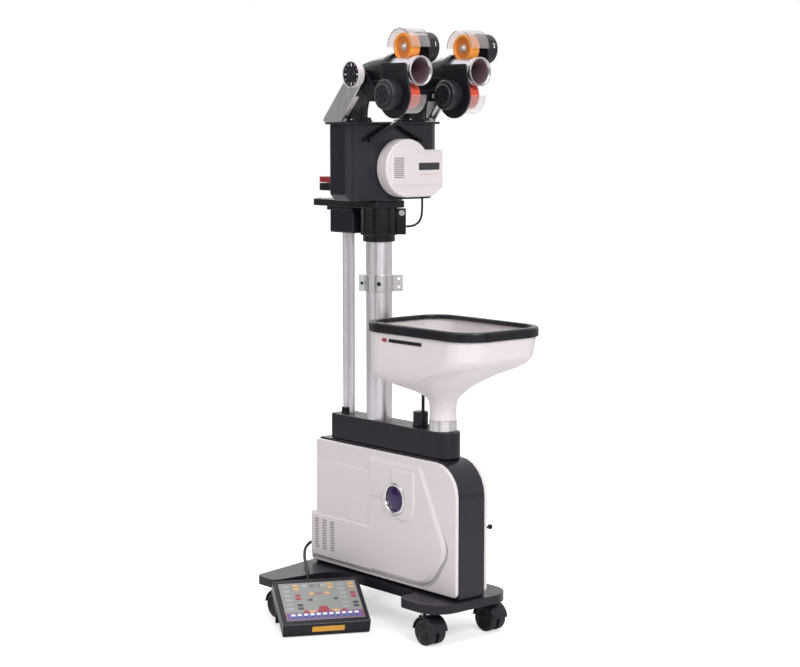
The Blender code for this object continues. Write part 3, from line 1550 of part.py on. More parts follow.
def make_launch_wheel(number, level, place, side):
    """One foam-tyred wheel with its shaft reaching into its motor."""
    half = WHEEL_WIDTH / 2
    r = WHEEL_RADIUS
    hub = r - WHEEL_TYRE
    shaft = PLATE_OUTER + SHAFT_REACH
    web = half - WHEEL_DISH
    profile = [
        (0, shaft), (AXLE_RADIUS, shaft), (AXLE_RADIUS, web), (hub, web), (hub, half), (r, half),
        (r, -half), (hub, -half), (hub, -web), (0, -web),
    ]
    wheel = settled(turned(profile, axis_frame(ACROSS * side, place), 16))
    look = ORANGE if level == "upper" else RED
    holder = empty_at("wheel_axis_%s_%d" % (level, number), place)
    keep(wheel, "launch_wheel_%s_%d" % (level, number), look, holder)


def make_motor(number, level, place, side, tilt):
    """One drive motor: can, rolled rim and vented cap, with a bore for the shaft."""
    near = PLATE_OUTER + GAP
    far = near + MOTOR_DEPTH
    r = MOTOR_RADIUS
    cap = r - MOTOR_SHOULDER
    can = r - MOTOR_RIM
    profile = [
        (0, far), (cap - MOTOR_CROWN, far), (cap, far - MOTOR_CROWN),
        (r - 0.001, far - MOTOR_CROWN - 0.001), (r, far - 2 * MOTOR_CROWN),
        (r, near + MOTOR_SEAM), (can, near + MOTOR_SEAM - 0.001), (can, near), (0, near),
    ]
    motor = settled(turned(profile, axis_frame(ACROSS * side, place), 16))
    out = ACROSS * side
    start = place + out * (near - OVER)
    cut(motor, rod(WHEEL_BORE, start, place + out * (near + MOTOR_BORE_DEPTH), 10))
    keep(motor, "motor_%s_%d" % (level, number), BLACK, tilt)


def make_guard(number, level, place, side, tilt):
    """One clear half-round guard over a wheel, closed by a cheek at its plate."""
    first = 0 if side > 0 else 180
    centre = (place.y * -1, place.z)
    outer = arc(centre, GUARD_RADIUS, first, first + 180, 10)
    inner = arc(centre, GUARD_RADIUS - GUARD_WALL, first + 180, first, 10)
    cheek_out = place.x + side * (PLATE_INNER - GAP)
    cheek_in = cheek_out - side * GUARD_WALL
    open_end = cheek_out - side * GUARD_WIDTH
    guard = side_slab(outer + inner, sorted((open_end, cheek_out)))
    join(guard, side_slab(outer, sorted((cheek_in, cheek_out))))
    out = ACROSS * side * GUARD_WIDTH
    cut(guard, rod(GUARD_HOLE, place - out, place + out, 8))
    keep(guard, "guard_%s_%d" % (level, number), CLEAR, tilt)


def make_duct(number, x, pan):
    """The flexible duct that carries balls from the box up into a barrel."""
    start = at(x, DUCT_AHEAD, ARM_BOTTOM)
    end = at(x, BARREL_BACK - GAP, BARREL_UP)
    first = start + UP * DUCT_CUFF
    last = end - AHEAD * DUCT_CUFF
    route = [start] + bend(first, UP, last, AHEAD, DUCT_SWEEP, DUCT_SPACING) + [end]
    skin = settled(tube(route, DUCT_RADIUS, 4))
    longer = [start - UP * OVER] + route[1:-1] + [end + AHEAD * OVER]
    cut(skin, settled(tube(longer, DUCT_BORE, 2)))
    keep(skin, "ball_duct_%d" % number, RUBBER, pan)


def desk_way():
    """Across and back directions of the controller on the floor."""
    across = at(math.cos(DESK_YAW), math.sin(DESK_YAW), 0)
    back = at(math.sin(DESK_YAW), -math.cos(DESK_YAW), 0)
    return across, back


def make_controller():
    """The separate desk of membrane keys, leaning on two rear legs."""
    across, back = desk_way()
    corner = at(*DESK_CORNER, 0)
    slope = back * math.cos(DESK_TILT) + UP * math.sin(DESK_TILT)
    desk = frame_of(across, slope, corner)
    flat = frame_of(across, back, corner)
    width, length, height = DESK_WIDTH, DESK_LENGTH, DESK_HEIGHT
    case = settled(bevel(box((0, 0, 0), (width, length, height), desk), DESK_EDGE, 2, 50))
    step = DESK_LENGTH * math.cos(DESK_TILT) - LEG_BACK
    rise = step * math.tan(DESK_TILT) + LEG_LAP
    for low in (LEG_SIDE, width - LEG_SIDE - LEG_WIDTH):
        join(case, box((low, step, 0), (low + LEG_WIDTH, step + LEG_THICKNESS, rise), flat))
    side, end = PANEL_SIDE - GAP, PANEL_END - GAP
    sunk = height - PANEL_SINK - GAP
    cut(case, box((side, end, sunk), (width - side, length - end, height + OVER), desk))
    keep(case, "controller_base", BLACK)
    low = (PANEL_SIDE, PANEL_END, height - PANEL_SINK)
    high = (width - PANEL_SIDE, length - PANEL_END, height + PANEL_PROUD)
    keep(box(low, high, desk), "controller_panel", PANEL_GREY)
    return desk


def coil_points():
    """The coil's route: in along the floor layer, up where it turns, and out again above."""
    sweep = math.tau * COIL_TURNS - (COIL_END - COIL_START)
    turns = sweep / math.tau
    count = round(turns * COIL_POINTS)
    layer = 2 * CABLE_RADIUS + COIL_LAYER_GAP
    points = []
    for n in range(count + 1):
        angle = COIL_START - sweep * n / count
        passed = abs(turns * n / count - turns / 2)
        radius = COIL_RADIUS - COIL_PITCH * (turns / 2 - passed)
        climb = min(1, max(0, (turns * n / count - turns / 2) / COIL_CLIMB + 0.5))
        up = CABLE_RADIUS + COIL_FLOOR_GAP + layer * climb
        x = COIL_PLACE[0] + radius * math.cos(angle)
        ahead = COIL_PLACE[1] + radius * math.sin(angle)
        points.append(at(x, ahead, up))
    return points


def coil_ends():
    """Where the coil's straight ends finish, and the way the cable runs there."""
    points = coil_points()
    ways = []
    for angle in (COIL_START, COIL_END):
        ways.append(at(math.sin(angle), -math.cos(angle), 0))
    first = points[0] - ways[0] * 2 * CABLE_RADIUS
    last = points[-1] + ways[1] * 2 * CABLE_RADIUS
    return first, ways[0], last, ways[1], [first] + points + [last]


def least_gap(points, radius):
    """The least space between one stretch of a tube and another."""
    least = 1
    skip = COIL_POINTS // 2
    for n, here in enumerate(points):
        for a, b in zip(points[n + skip:], points[n + skip + 1:]):
            run = b - a
            share = max(0, min(1, (here - a).dot(run) / run.length_squared))
            least = min(least, (here - a - run * share).length)
    return least - 2 * radius


def make_cable(desk):
    """The controller's cable: a gland, the lead over the frame, a coil and the short tail."""
    up = CORE_BOTTOM + CABLE_OUT_UP
    x = CABLE_OUT_ACROSS
    wall = -CORE_TAIL - CORE_STEP_BACK - GAP
    lip = GLAND_RADIUS + 0.001
    profile = [
        (0, GLAND_LENGTH), (CABLE_RADIUS + 0.0008, GLAND_LENGTH), (GLAND_RADIUS - 0.001, GLAND_LIP),
        (lip, GLAND_LIP), (lip, 0), (0, 0),
    ]
    keep(turned(profile, axis_frame(-AHEAD, at(x, wall, up)), 20), "cable_gland", RUBBER)
    first, first_way, last, last_way, coil = coil_ends()
    start = at(x, wall - GLAND_LENGTH - GAP, up)
    route = [
        start,
        start - AHEAD * 0.006,
        at(-0.024, -0.1880, up - 0.004),
        at(-0.042, -0.1815, up - 0.012),
        at(-0.060, -0.1620, up - 0.022),
        at(-0.076, -0.1380, up - 0.0295),
        at(-0.092, -0.1120, up - 0.0320),
        at(-0.104, -0.0945, up - 0.0312),
        at(-0.1140, -0.0815, up - 0.0313),
        at(-0.1240, -0.0692, up - 0.0380),
        at(-0.1300, -0.0622, 0.0580),
        at(-0.1322, -0.0600, 0.0380),
        at(-0.1372, -0.0545, 0.0190),
        at(-0.1462, -0.0446, 0.0065),
        first - first_way * (0.0045 + GAP),
        first - first_way * GAP,
    ]
    lead = [route[0]] + smooth(route[1:-1], 4 * CABLE_RADIUS) + [route[-1]]
    keep(tube(lead, CABLE_RADIUS, 2), "cable_lead", RUBBER)
    keep(tube(coil, CABLE_RADIUS, 1), "cable_coil", RUBBER)
    entry = desk @ Vector((*TAIL_PLACE, -GAP))
    way = desk.to_3x3() @ UP
    tail = bend(last + last_way * GAP, last_way, entry, way, TAIL_SWEEP, 0.004)
    keep(tube(tail, CABLE_RADIUS, 2), "cable_tail", RUBBER)
    total = length_of(lead) + length_of(coil) + length_of(tail)
    print("cable length %.3f m, coil %.3f m" % (total, length_of(coil)))
    print("least gap of the coil to itself %.2f mm" % (1000 * least_gap(coil, CABLE_RADIUS)))


def stand_on_origin():
    """Moves the whole robot so that its box, without the cable, stands centred on the origin."""
    bpy.context.view_layer.update()
    view = bpy.context.evaluated_depsgraph_get()
    corners = []
    for item in ROBOT.objects:
        if item.type == "EMPTY" or item.name.startswith("cable_"):
            continue
        shape = item.evaluated_get(view)
        mesh = shape.to_mesh()
        corners += [shape.matrix_world @ vertex.co for vertex in mesh.vertices]
        shape.to_mesh_clear()
    low = [min(corner[n] for corner in corners) for n in range(3)]
    high = [max(corner[n] for corner in corners) for n in range(3)]
    shift = Vector(((low[0] + high[0]) / 2, (low[1] + high[1]) / 2, low[2]))
    WHOLE.location = -shift
    print("moved by", [round(-value, 5) for value in shift])
    print("size", [round(high[n] - low[n], 4) for n in range(3)])


def main():
    """Makes every piece, then sets the robot on the origin."""
    make_base_frame()
    make_casters()
    make_core()
    make_feed_wheel()
    make_cover("right_cover", -1)
    make_cover("left_cover", 1)
    make_lens()
    make_tank()
    make_mast()
    make_bowl()
    make_rim()
    make_bowl_fittings()
    make_clamp()
    make_collar()
    make_support()
    pan = empty_at("pan_axis", at(0, 0, MAST_TOP))
    make_ball_box(pan)
    make_housing(pan)
    make_brace(pan)
    make_connector(pan)
    make_pan_cable(pan)
    make_arm("tilt_arm_right", -1, pan)
    make_arm("tilt_arm_left", 1, pan)
    make_dial()
    tilt = empty_at("tilt_axis", at(0, TILT_AHEAD, TILT_UP))
    make_yoke(tilt)
    for number, side in ((1, -1), (2, 1)):
        x = side * HEAD_SPACING / 2
        make_head(number, x, tilt)
        make_duct(number, x, pan)
    desk = make_controller()
    make_cable(desk)
    stand_on_origin()


main()
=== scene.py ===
"""Looks of a table tennis robot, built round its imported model. Metres, +Z up.

Places are written (across, ahead, up) from the foot of the mast, as in the part's own source:
across is +X, ahead is -Y and up is +Z. A finished piece is moved to the frame's own origin.
"""

import math

import bmesh
import bpy
from mathutils import Matrix, Vector


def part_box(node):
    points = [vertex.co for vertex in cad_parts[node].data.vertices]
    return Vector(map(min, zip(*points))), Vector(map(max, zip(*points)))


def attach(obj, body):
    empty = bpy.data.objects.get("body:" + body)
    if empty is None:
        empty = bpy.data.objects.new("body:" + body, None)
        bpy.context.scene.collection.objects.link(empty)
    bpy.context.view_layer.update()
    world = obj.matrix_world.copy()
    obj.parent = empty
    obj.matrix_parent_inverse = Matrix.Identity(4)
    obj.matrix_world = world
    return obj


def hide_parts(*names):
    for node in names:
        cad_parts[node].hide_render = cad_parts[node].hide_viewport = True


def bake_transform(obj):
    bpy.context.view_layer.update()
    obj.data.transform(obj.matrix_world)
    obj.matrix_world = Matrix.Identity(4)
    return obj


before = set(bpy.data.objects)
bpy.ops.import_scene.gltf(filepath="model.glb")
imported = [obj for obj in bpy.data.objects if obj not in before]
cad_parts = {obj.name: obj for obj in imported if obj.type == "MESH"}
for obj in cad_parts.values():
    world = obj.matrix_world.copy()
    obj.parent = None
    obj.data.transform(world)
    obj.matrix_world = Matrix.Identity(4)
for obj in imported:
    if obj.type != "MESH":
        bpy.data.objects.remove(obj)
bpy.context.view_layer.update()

# Clearances, and how far tools run past or into what they cut or join
GAP = 0.0003
SHAFT_GAP = 0.0003
RUN_GAP = 0.0015
OVER = 0.010
LAP = 0.002

# Balls and the ways that they run in
BALL_BORE = 0.043
BORE_SPACING = 0.1855

# Casters
CASTER_RADIUS = 0.025
CASTER_WIDTH = 0.037
CASTER_TRAIL = 0.018
CASTER_WEB = 0.006
CASTER_DISH = 0.003
CASTER_RIM = 0.005
CASTER_SHOULDER = 0.0025
CASTER_SIDE_GAP = 0.0005
FENDER_WALL = 0.0028
FENDER_DROP = 0.0125
FENDER_FACE_UP = 0.003
STEM_RADIUS = 0.006
STEM_COLLAR_RADIUS = 0.0095
STEM_COLLAR_DROP = 0.004
AXLE_RADIUS = 0.003
FRONT_CASTER = (0.076, 0.218)
REAR_CASTER = (0.165, -0.118)

# Base frame
FRAME_BOTTOM = 0.0625
FRAME_THICKNESS = 0.0165
FRAME_FRONT = 0.2775
FRAME_FRONT_HALF = 0.100
FRAME_FRONT_DEPTH = 0.1125
FRAME_RAIL_HALF = 0.048
FRAME_WING_HALF = 0.195
FRAME_WING_FRONT = -0.070
FRAME_WING_SWEEP = 0.015
FRAME_WING_BACK = -0.140
FRAME_BACK = -0.182

# Body
CORE_HEIGHT = 0.2557
CORE_SIDE = 0.0045
CORE_NOSE = 0.081
CORE_TAIL = 0.146
CORE_STEP_UP = 0.1037
CORE_STEP_BACK = 0.014
CORE_CORNER = 0.068
CORE_EDGE = 0.003
CORE_STEP_RISE = 0.002
FEED_SHAFT_RADIUS = 0.005
FEED_WEB = 0.002
POCKET_FLOOR = 0.0120
POCKET_SLACK = 0.0030
POCKET_SIDE = 0.0097

# Side covers
COVER_BOTTOM_MARGIN = 0.0046
COVER_TOP_MARGIN = 0.0033
COVER_BACK_LAP = 0.003
COVER_SHELL = 0.0075
COVER_PANEL = 0.0030
COVER_CORNER = 0.060
COVER_ROUND = 0.003
COVER_EDGE = 0.006
COVER_STEP_BACK = 0.016
COVER_NOSE = 0.0002
FIELD_TOP = 0.0130
FIELD_FRONT = 0.022
FIELD_SLOPE_TOP = 0.073
FIELD_SLOPE_BREAK = 0.165
FIELD_SLOPE_FOOT = 0.055
LETTER_FIELD_TOP = 0.0385
LETTER_FIELD_FACE = 0.0014
FIELD_MARGIN = 0.0012
VENT_COLUMNS = 3
LENS_RADIUS = 0.024
LENS_DROP = 0.0018
LENS_CROWN = 0.0028
BEZEL_RADIUS = 0.031
BEZEL_DEPTH = 0.0042
BEZEL_LIP = 0.003
BEZEL_SEAT = 0.003
BEZEL_FLOOR = 0.0015
BOSS_RADIUS = 0.038
BOSS_AHEAD = 0.020
BOSS_DROP = 0.0045

# Tank and mast
TANK_WALL = 0.0019
TANK_HEIGHT = 0.0501
TANK_TAIL = 0.119
TANK_NOSE = 0.0079
TANK_CORNER = 0.008
MAST_WALL = 0.003
MAST_SLACK = 0.0005
MAST_SEAT = 0.010
MAST_LENGTH = 0.4325
CONDUIT_RADIUS = 0.006
CONDUIT_FRONT_AHEAD = -0.0828
CONDUIT_PITCH = 0.019
GROMMET_RADIUS = 0.0085
GROMMET_HEIGHT = 0.0111

# Bowl
SOCKET_HEIGHT = 0.0205
SOCKET_WALL = 0.0040
SOCKET_SLACK = 0.00075
NECK_WALL = 0.0040
BOWL_WALL = 0.0032
BOWL_HEIGHT = 0.1830
BOWL_HALF_WIDTH = 0.1012
BOWL_FRONT_REACH = 0.1762
BOWL_BACK_REACH = 0.1242
BOWL_CORNER = 0.0545
RIM_HEIGHT = 0.018
RIM_OUT = 0.0035
RIM_IN = 0.0045
STAY_AHEAD = 0.122
STAY_RADIUS = 0.0145
STAY_HEIGHT = 0.0286
STAY_ROD_RADIUS = 0.0033
STAY_ROD_SHIFT = 0.007
STAY_ROD_GAP = 0.0010

# Mast fittings
CLAMP_HEIGHT = 0.032
CLAMP_WALL = 0.0032
CLAMP_UP = 0.2581
CLAMP_EAR = 0.039
CLAMP_PLATE = 0.046
CLAMP_EAR_HALF = 0.005
CLAMP_PLATE_HALF = 0.0015
CLAMP_HOLE_IN = 0.008
CLAMP_HOLE_RADIUS = 0.0025
CLAMP_SLIT = 0.0016
COLLAR_RADIUS = 0.036
COLLAR_HEIGHT = 0.0523
COLLAR_FOOT = 0.0123
COLLAR_FOOT_RADIUS = 0.031
COLLAR_EAR = 0.052
COLLAR_EAR_HALF = 0.010
COLLAR_SLIT = 0.0015
SUPPORT_HALF = 0.040
SUPPORT_THICKNESS = 0.0134
SUPPORT_FRONT = 0.036
SUPPORT_BACK = -0.156
MOTOR_BOX_HALF = 0.032
MOTOR_BOX_FRONT = -0.040
MOTOR_BOX_BACK = -0.112
MOTOR_BOX_HEIGHT = 0.0508
MOTOR_BOX_FLANGE = 0.0073
MOTOR_BOX_LIP = 0.004

# Turning box
BOX_HALF = 0.112
BOX_BACK = -0.0155
BOX_FRONT = 0.0415
BOX_HEIGHT = 0.143
BOX_FOOT = 0.0022
BOX_FOOT_RADIUS = 0.045
BOX_CHAMFER_ACROSS = 0.012
BOX_CHAMFER_AHEAD = 0.005
BOX_BEVEL_UP = 0.012
FLANGE_LIP = 0.0055
FLANGE_THICKNESS = 0.0045
HOUSING_RADIUS = 0.055
HOUSING_ACROSS = 0.013
HOUSING_UP = 0.0605
HOUSING_DEPTH = 0.0317
HOUSING_REACH = 0.0875
HOUSING_STEP = 0.0015
HOUSING_WING_TOP = 0.034
WINDOW_SINK = 0.001
BRACE_THICKNESS = 0.0085
BRACE_HALF_HEIGHT = 0.0042
BRACE_SPAN = 0.0675
BRACE_DROP = 0.034
BRACE_RISE = 0.0035
SPACER_RADIUS = 0.0035
SPACER_INSET = 0.007
CONNECTOR_DEPTH = 0.0352
CONNECTOR_HEIGHT = 0.0262
CONNECTOR_WIDTH = 0.030
CONNECTOR_WALL = 0.003
CONNECTOR_WAYS = 3
CONNECTOR_IN = 0.007
CONNECTOR_UP = 0.0185
PAN_CABLE_RADIUS = 0.0022
PAN_CABLE_ACROSS = 0.049
PAN_CABLE_AHEAD = 0.0135
PAN_CABLE_DROP = 0.036
PAN_CABLE_SWEEP = 0.034

# Tilt
TILT_AHEAD = 0.0765
TILT_RISE = 0.0869
ARM_INNER = 0.1135
ARM_THICKNESS = 0.004
ARM_HUB = 0.019
ARM_FOOT_BACK = -0.022
ARM_FOOT_FRONT = 0.030
ARM_FOOT_RISE = 0.006
ARM_SOLE = 0.004
ARM_DUCT_GAP = 0.002
ARM_FLANGE_THICKNESS = 0.003
ARM_FLANGE_INSET = 0.0003
ARM_FLANGE_RISE = 0.046
STUB_RADIUS = 0.005
STUB_PROUD = 0.0002
DIAL_RADIUS = 0.0245
DIAL_DEPTH = 0.014
DIAL_GAP = 0.0005
EAR_GAP = 0.005
EAR_THICKNESS = 0.004
EAR_HUB = 0.012
YOKE_BACK = 0.103
YOKE_DEPTH = 0.019
YOKE_DROP = 0.0289
YOKE_HEIGHT = 0.0205
TAB_HALF = 0.012
TAB_REACH = 0.0085
TAB_DEPTH = 0.0075

# Heads
HEAD_SPACING = 0.146
BARREL_RISE = 0.0056
BARREL_WALL = 0.0055
BARREL_BACK = 0.130
BARREL_LENGTH = 0.076
BARREL_FLARE = 0.003
WHEEL_AHEAD = 0.166
WHEEL_OFFSET = 0.043
WHEEL_RADIUS = 0.0255
WHEEL_WIDTH = 0.022
WHEEL_TYRE = 0.0055
WHEEL_DISH = 0.004
SHAFT_REACH = 0.012
SLOT_SIDE = 0.001
SLOT_HALF_LENGTH = 0.0215
PLATE_GAP = 0.0005
PLATE_THICKNESS = 0.004
PLATE_HALF_HEIGHT = 0.014
PLATE_BACK = 0.130
PLATE_HOLE = 0.0035
LOBE_LOWER = 0.043
LOBE_UPPER = 0.0285
RING_WALL = 0.0057
RING_BACK = 0.131
RING_DEPTH = 0.011
MOTOR_RADIUS = 0.0275
MOTOR_DEPTH = 0.029
MOTOR_SHOULDER = 0.007
MOTOR_CROWN = 0.003
MOTOR_SEAM = 0.005
MOTOR_RIM = 0.0015
MOTOR_BORE_DEPTH = 0.0147
GUARD_RADIUS = 0.034
GUARD_WALL = 0.0018
GUARD_WIDTH = 0.045
GUARD_HOLE = 0.008
DUCT_WALL = 0.0050
DUCT_AHEAD = 0.0125
DUCT_CUFF = 0.004

# Controller
DESK_CORNER = (-0.2586, 0.0259)
DESK_YAW = math.radians(27.2)
DESK_TILT = math.radians(24.4)
DESK_WIDTH = 0.1677
DESK_LENGTH = 0.135
DESK_HEIGHT = 0.0292
PANEL_SIDE = 0.009
PANEL_END = 0.012
PANEL_SINK = 0.0012
PANEL_PROUD = 0.0004
LEG_SIDE = 0.005
LEG_LAP = 0.004
LEG_WIDTH = 0.012
LEG_THICKNESS = 0.005
LEG_BACK = 0.018

# Controller cable
CABLE_RADIUS = 0.003
CABLE_OUT_UP = 0.0357
CABLE_OUT_ACROSS = -0.015
GLAND_RADIUS = 0.006
GLAND_LENGTH = 0.014
GLAND_LIP = 0.003
COIL_PLACE = (-0.1262, 0.0031)
COIL_RADIUS = 0.0462
COIL_PITCH = 0.0067
COIL_START = math.radians(220.5)
COIL_END = math.radians(225)
COIL_TURNS = 6
COIL_POINTS = 24
COIL_LAYER_GAP = 0.0007
COIL_FLOOR_GAP = 0.0001
COIL_CLIMB = 0.5
TAIL_PLACE = (0.052, 0.068)
TAIL_SWEEP = 0.019

# Levels that follow from the sizes
CORE_BOTTOM = FRAME_BOTTOM + FRAME_THICKNESS + GAP
CORE_TOP = CORE_BOTTOM + CORE_HEIGHT
TANK_BOTTOM = CORE_TOP + GAP
TANK_TOP = TANK_BOTTOM + TANK_HEIGHT
SOCKET_BOTTOM = TANK_TOP + GAP
SOCKET_TOP = SOCKET_BOTTOM + SOCKET_HEIGHT
NECK_BOTTOM = SOCKET_TOP + GAP
RIM_TOP = NECK_BOTTOM + BOWL_HEIGHT
MAST_BOTTOM = TANK_TOP - MAST_SEAT + GAP
MAST_TOP = MAST_BOTTOM + MAST_LENGTH
SUPPORT_BOTTOM = MAST_TOP - SUPPORT_THICKNESS
COLLAR_TOP = SUPPORT_BOTTOM - GAP
BOX_BOTTOM = MAST_TOP + GAP + BOX_FOOT
BOX_TOP = BOX_BOTTOM + BOX_HEIGHT
FLANGE_TOP = BOX_TOP + FLANGE_THICKNESS
ARM_BOTTOM = FLANGE_TOP + GAP
TILT_UP = ARM_BOTTOM + TILT_RISE
BARREL_UP = TILT_UP + BARREL_RISE

# Places across and ahead that follow from the sizes
BORE_RADIUS = BALL_BORE / 2
MAST_INNER = BORE_RADIUS + MAST_SLACK
MAST_RADIUS = MAST_INNER + MAST_WALL
MAST_HOLE = MAST_RADIUS + GAP
TANK_HALF = MAST_HOLE + TANK_WALL
CORE_HALF = TANK_HALF + CORE_SIDE
CORE_FRONT = BORE_SPACING + CORE_NOSE
COVER_INNER = CORE_HALF + GAP
SHELL_FACE = COVER_INNER + COVER_SHELL
PANEL_FACE = SHELL_FACE + COVER_PANEL
COVER_BOTTOM = CORE_BOTTOM + COVER_BOTTOM_MARGIN
COVER_TOP = CORE_TOP - COVER_TOP_MARGIN
COVER_BACK = -CORE_TAIL - COVER_BACK_LAP
COVER_LOW_BACK = COVER_BACK - COVER_STEP_BACK
LENS_AHEAD = BORE_SPACING - 0.0885
LENS_UP = COVER_TOP - 0.0852
FEED_AHEAD = BORE_SPACING / 2
POCKET_RADIUS = FEED_AHEAD + BORE_RADIUS + POCKET_SLACK
FEED_UP = CORE_BOTTOM + POCKET_FLOOR + POCKET_RADIUS
NECK_RADIUS = BORE_RADIUS + NECK_WALL
FENDER_RADIUS = CASTER_RADIUS + RUN_GAP + FENDER_WALL
CONDUIT_REAR_AHEAD = CONDUIT_FRONT_AHEAD - CONDUIT_PITCH
ARM_OUTER = ARM_INNER + ARM_THICKNESS
EAR_OUTER = ARM_INNER - EAR_GAP
EAR_INNER = EAR_OUTER - EAR_THICKNESS
BARREL_RADIUS = BORE_RADIUS + BARREL_WALL
PLATE_INNER = BARREL_RADIUS + PLATE_GAP
PLATE_OUTER = PLATE_INNER + PLATE_THICKNESS
DUCT_RADIUS = PLATE_INNER - GAP
DUCT_BORE = DUCT_RADIUS - DUCT_WALL
RING_INNER = BARREL_RADIUS + GAP
RING_OUTER = RING_INNER + RING_WALL
WHEEL_BORE = AXLE_RADIUS + SHAFT_GAP


# The photograph's camera, from the foot of the mast
CAMERA_PLACE = (-2.35683, 2.80451, 0.98055)
CAMERA_TURN = math.radians(-40.675)
CAMERA_DOWN = math.radians(6.684)
CAMERA_LENS = 85.816
CAMERA_SENSOR = 36.0

# Sides round a circle, finer than the model's
FINE = 96
MIDDLE = 56
SMALL = 24

# The angle between faces from which an edge shows hard
HARD_EDGE = math.radians(32)


def middle_of(node):
    """The middle of a CAD node's box."""
    low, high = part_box(node)
    return (Vector(low) + Vector(high)) / 2


# From the foot of the mast, where sizes are counted from, to the frame's own origin
MAST_PLACE = middle_of("mast_tube")
SHIFT = Vector((MAST_PLACE.x, MAST_PLACE.y, 0))

# Where each caster stands
CASTER_PLACES = {
    "front_right": (-FRONT_CASTER[0], FRONT_CASTER[1]),
    "front_left": FRONT_CASTER,
    "rear_right": (-REAR_CASTER[0], REAR_CASTER[1]),
    "rear_left": REAR_CASTER,
}
CAP_RIBS = 18

# What the photograph shows of the covers, finer than the model or a little off it
CHANNEL_RIM = 0.0040
CHANNEL_DEPTH = 0.0024
CHANNEL_BACK_RIM = 0.0045
SEEN_FIELD_BOTTOM = 0.0100
SEEN_FIELD_AHEAD = 0.0170
SEEN_VENT_BACK = -0.1510
SEEN_VENT_STEP = 0.0245
SEEN_VENT_LENGTH = 0.0145
SEEN_VENT_UP = 0.1110
SEEN_VENT_ROWS = 12
SEEN_VENT_PITCH = 0.0052
SEEN_VENT_HEIGHT = 0.0026
VENT_DEPTH = 0.0013
NOTCH_BACK = 0.0200
SEEN_BOSS_PROUD = 0.0018
BOSS_TOP_DROP = 0.0120
SEEN_COVER_ROLL = 0.0042
FIELD_ROLL = (
    (0.0, 0.0), (0.05, 0.10), (0.15, 0.22), (0.50, 0.56), (0.85, 0.90), (0.95, 0.985), (1.0, 1.0),
)
UPPER_ROLLS = (0.0060, 0.0090, 0.0105, 0.0080, 0.0035)
LOWER_ROLLS = (0.0032, 0.0035, 0.0066, 0.0030)
LETTER_ROLLS = (0.002, 0.002, 0.0052, 0.0025)
BOSS_ROLLS = (0.0055, 0.0060, 0.0060, 0.0120)
NOTCH_DROP = 0.0040
NUB_AHEAD = 0.2560
NUB_UP = 0.2055

# The same of the bowl, the upper box and the heads
SEEN_DUCT_SWEEP = 0.070
SEEN_PLATE_FRONT = 0.1965
BOWL_SIDES = 224
BOWL_LEVELS = 60
RIM_ROUND = 0.0042
RIM_INNER_ROUND = 0.0030
STRIP_UP = (0.5560, 0.5625)
STRIP_AHEAD = (0.1480, 0.2390)
STRIP_END_AHEAD = (0.1290, 0.1420)
CAP_ROUND = 0.0018
BOX_SEAM = (0.1100, 0.1112)
CONNECTOR_SPLIT = 0.56
CONNECTOR_RIBS = 3
CAP_ACROSS = 0.0600
CAP_RADIUS = 0.0105
CAP_HEIGHT = 0.0095
CAP_AHEAD = 0.0330
SEEN_WINDOW_ACROSS = (0.0375, 0.0900)
SEEN_WINDOW_UP = (0.8670, 0.8810)
SEEN_LOUVRE_ACROSS = (-0.0240, 0.0010)
SEEN_LOUVRE_UP = 0.8535
SEEN_LOUVRE_SINK = 0.0010
SEEN_LOUVRE_ROWS = 11
SEEN_LOUVRE_PITCH = 0.0036
SEEN_LOUVRE_HEIGHT = 0.0019
DIAL_RIBS = 60
DIAL_TICKS = 12
TYRE_ROUND = 0.0020
MOTOR_ROUND = 0.0042
MOTOR_HOLES = 6
MOTOR_HOLE_REACH = 0.0132
MOTOR_NOTCHES = 3
DESK_SEAM = (0.0062, 0.0070)
SEAM_DEPTH = 0.0006
PRINT_DEPTH = 0.0003
PLATE_ACROSS = (0.33, 0.70)
PLATE_UP = (0.0105, 0.0225)
HOSE_RING_HEIGHT = 0.0042
HOSE_RING_WIDTH = 0.0085
HOSE_HELD_BY_BOX = (0.0125, 0.9750)
HOSE_HELD_BY_HEAD = (0.1200, 1.0510)
NUMERAL_TURN = math.radians(12)
RING_SCREW = math.radians(225)

# Light, floor and the cards that mirrors see
SKY = 0.30
FLOOR_GLOW = 0.50
KEY_POWER = 36
FILL_POWER = 74
TOP_POWER = 40
BACK_POWER = 25
PURE_WHITE = (1, 1, 1, 1)
FLOOR_COLOUR = (0.86, 0.86, 0.86, 1)
FLOOR_REACH = 14.0
FLOOR_DROP = 0.0006
FLOOR_FADE = (0.55, 1.9)
CARD_GLOW = 0.16
CARD_DISTANCE = 2.2
CARD_TOP = 2.6
CARDS = ((29, 0.75), (96, 0.75), (146, 0.7), (-62, 0.5))

# The bowl's shape between its neck and its rim: height, then how far the back, the front
# and the sides have opened from the neck's circle to the rim's size
BOWL_STATIONS = (
    (0.000, 0.000, 0.000, 0.000),
    (0.150, 0.000, 0.000, 0.000),
    (0.215, 0.030, 0.025, 0.035),
    (0.255, 0.130, 0.062, 0.110),
    (0.295, 0.300, 0.095, 0.225),
    (0.350, 0.777, 0.130, 0.437),
    (0.418, 0.930, 0.235, 0.750),
    (0.493, 0.972, 0.400, 0.915),
    (0.562, 0.985, 0.640, 0.965),
    (0.637, 0.991, 0.842, 0.985),
    (0.715, 0.994, 0.940, 0.990),
    (0.955, 1.000, 1.000, 1.000),
    (1.000, 1.000, 1.000, 1.000),
)

# The clamp's and the collar's ears lie in this direction, from across towards ahead
EAR_ANGLE = math.radians(40.7)

# Tools that wait until the piece they shape is tidied
TOOLS = []

# Directions
AHEAD = Vector((0, -1, 0))
UP = Vector((0, 0, 1))
ACROSS = Vector((1, 0, 0))


def at(across, ahead, up):
    """The world place of a point given as (across, ahead, up)."""
    return Vector((across, -ahead, up))


def heading(angle):
    """A level direction at an angle from across towards ahead."""
    return at(math.cos(angle), math.sin(angle), 0)


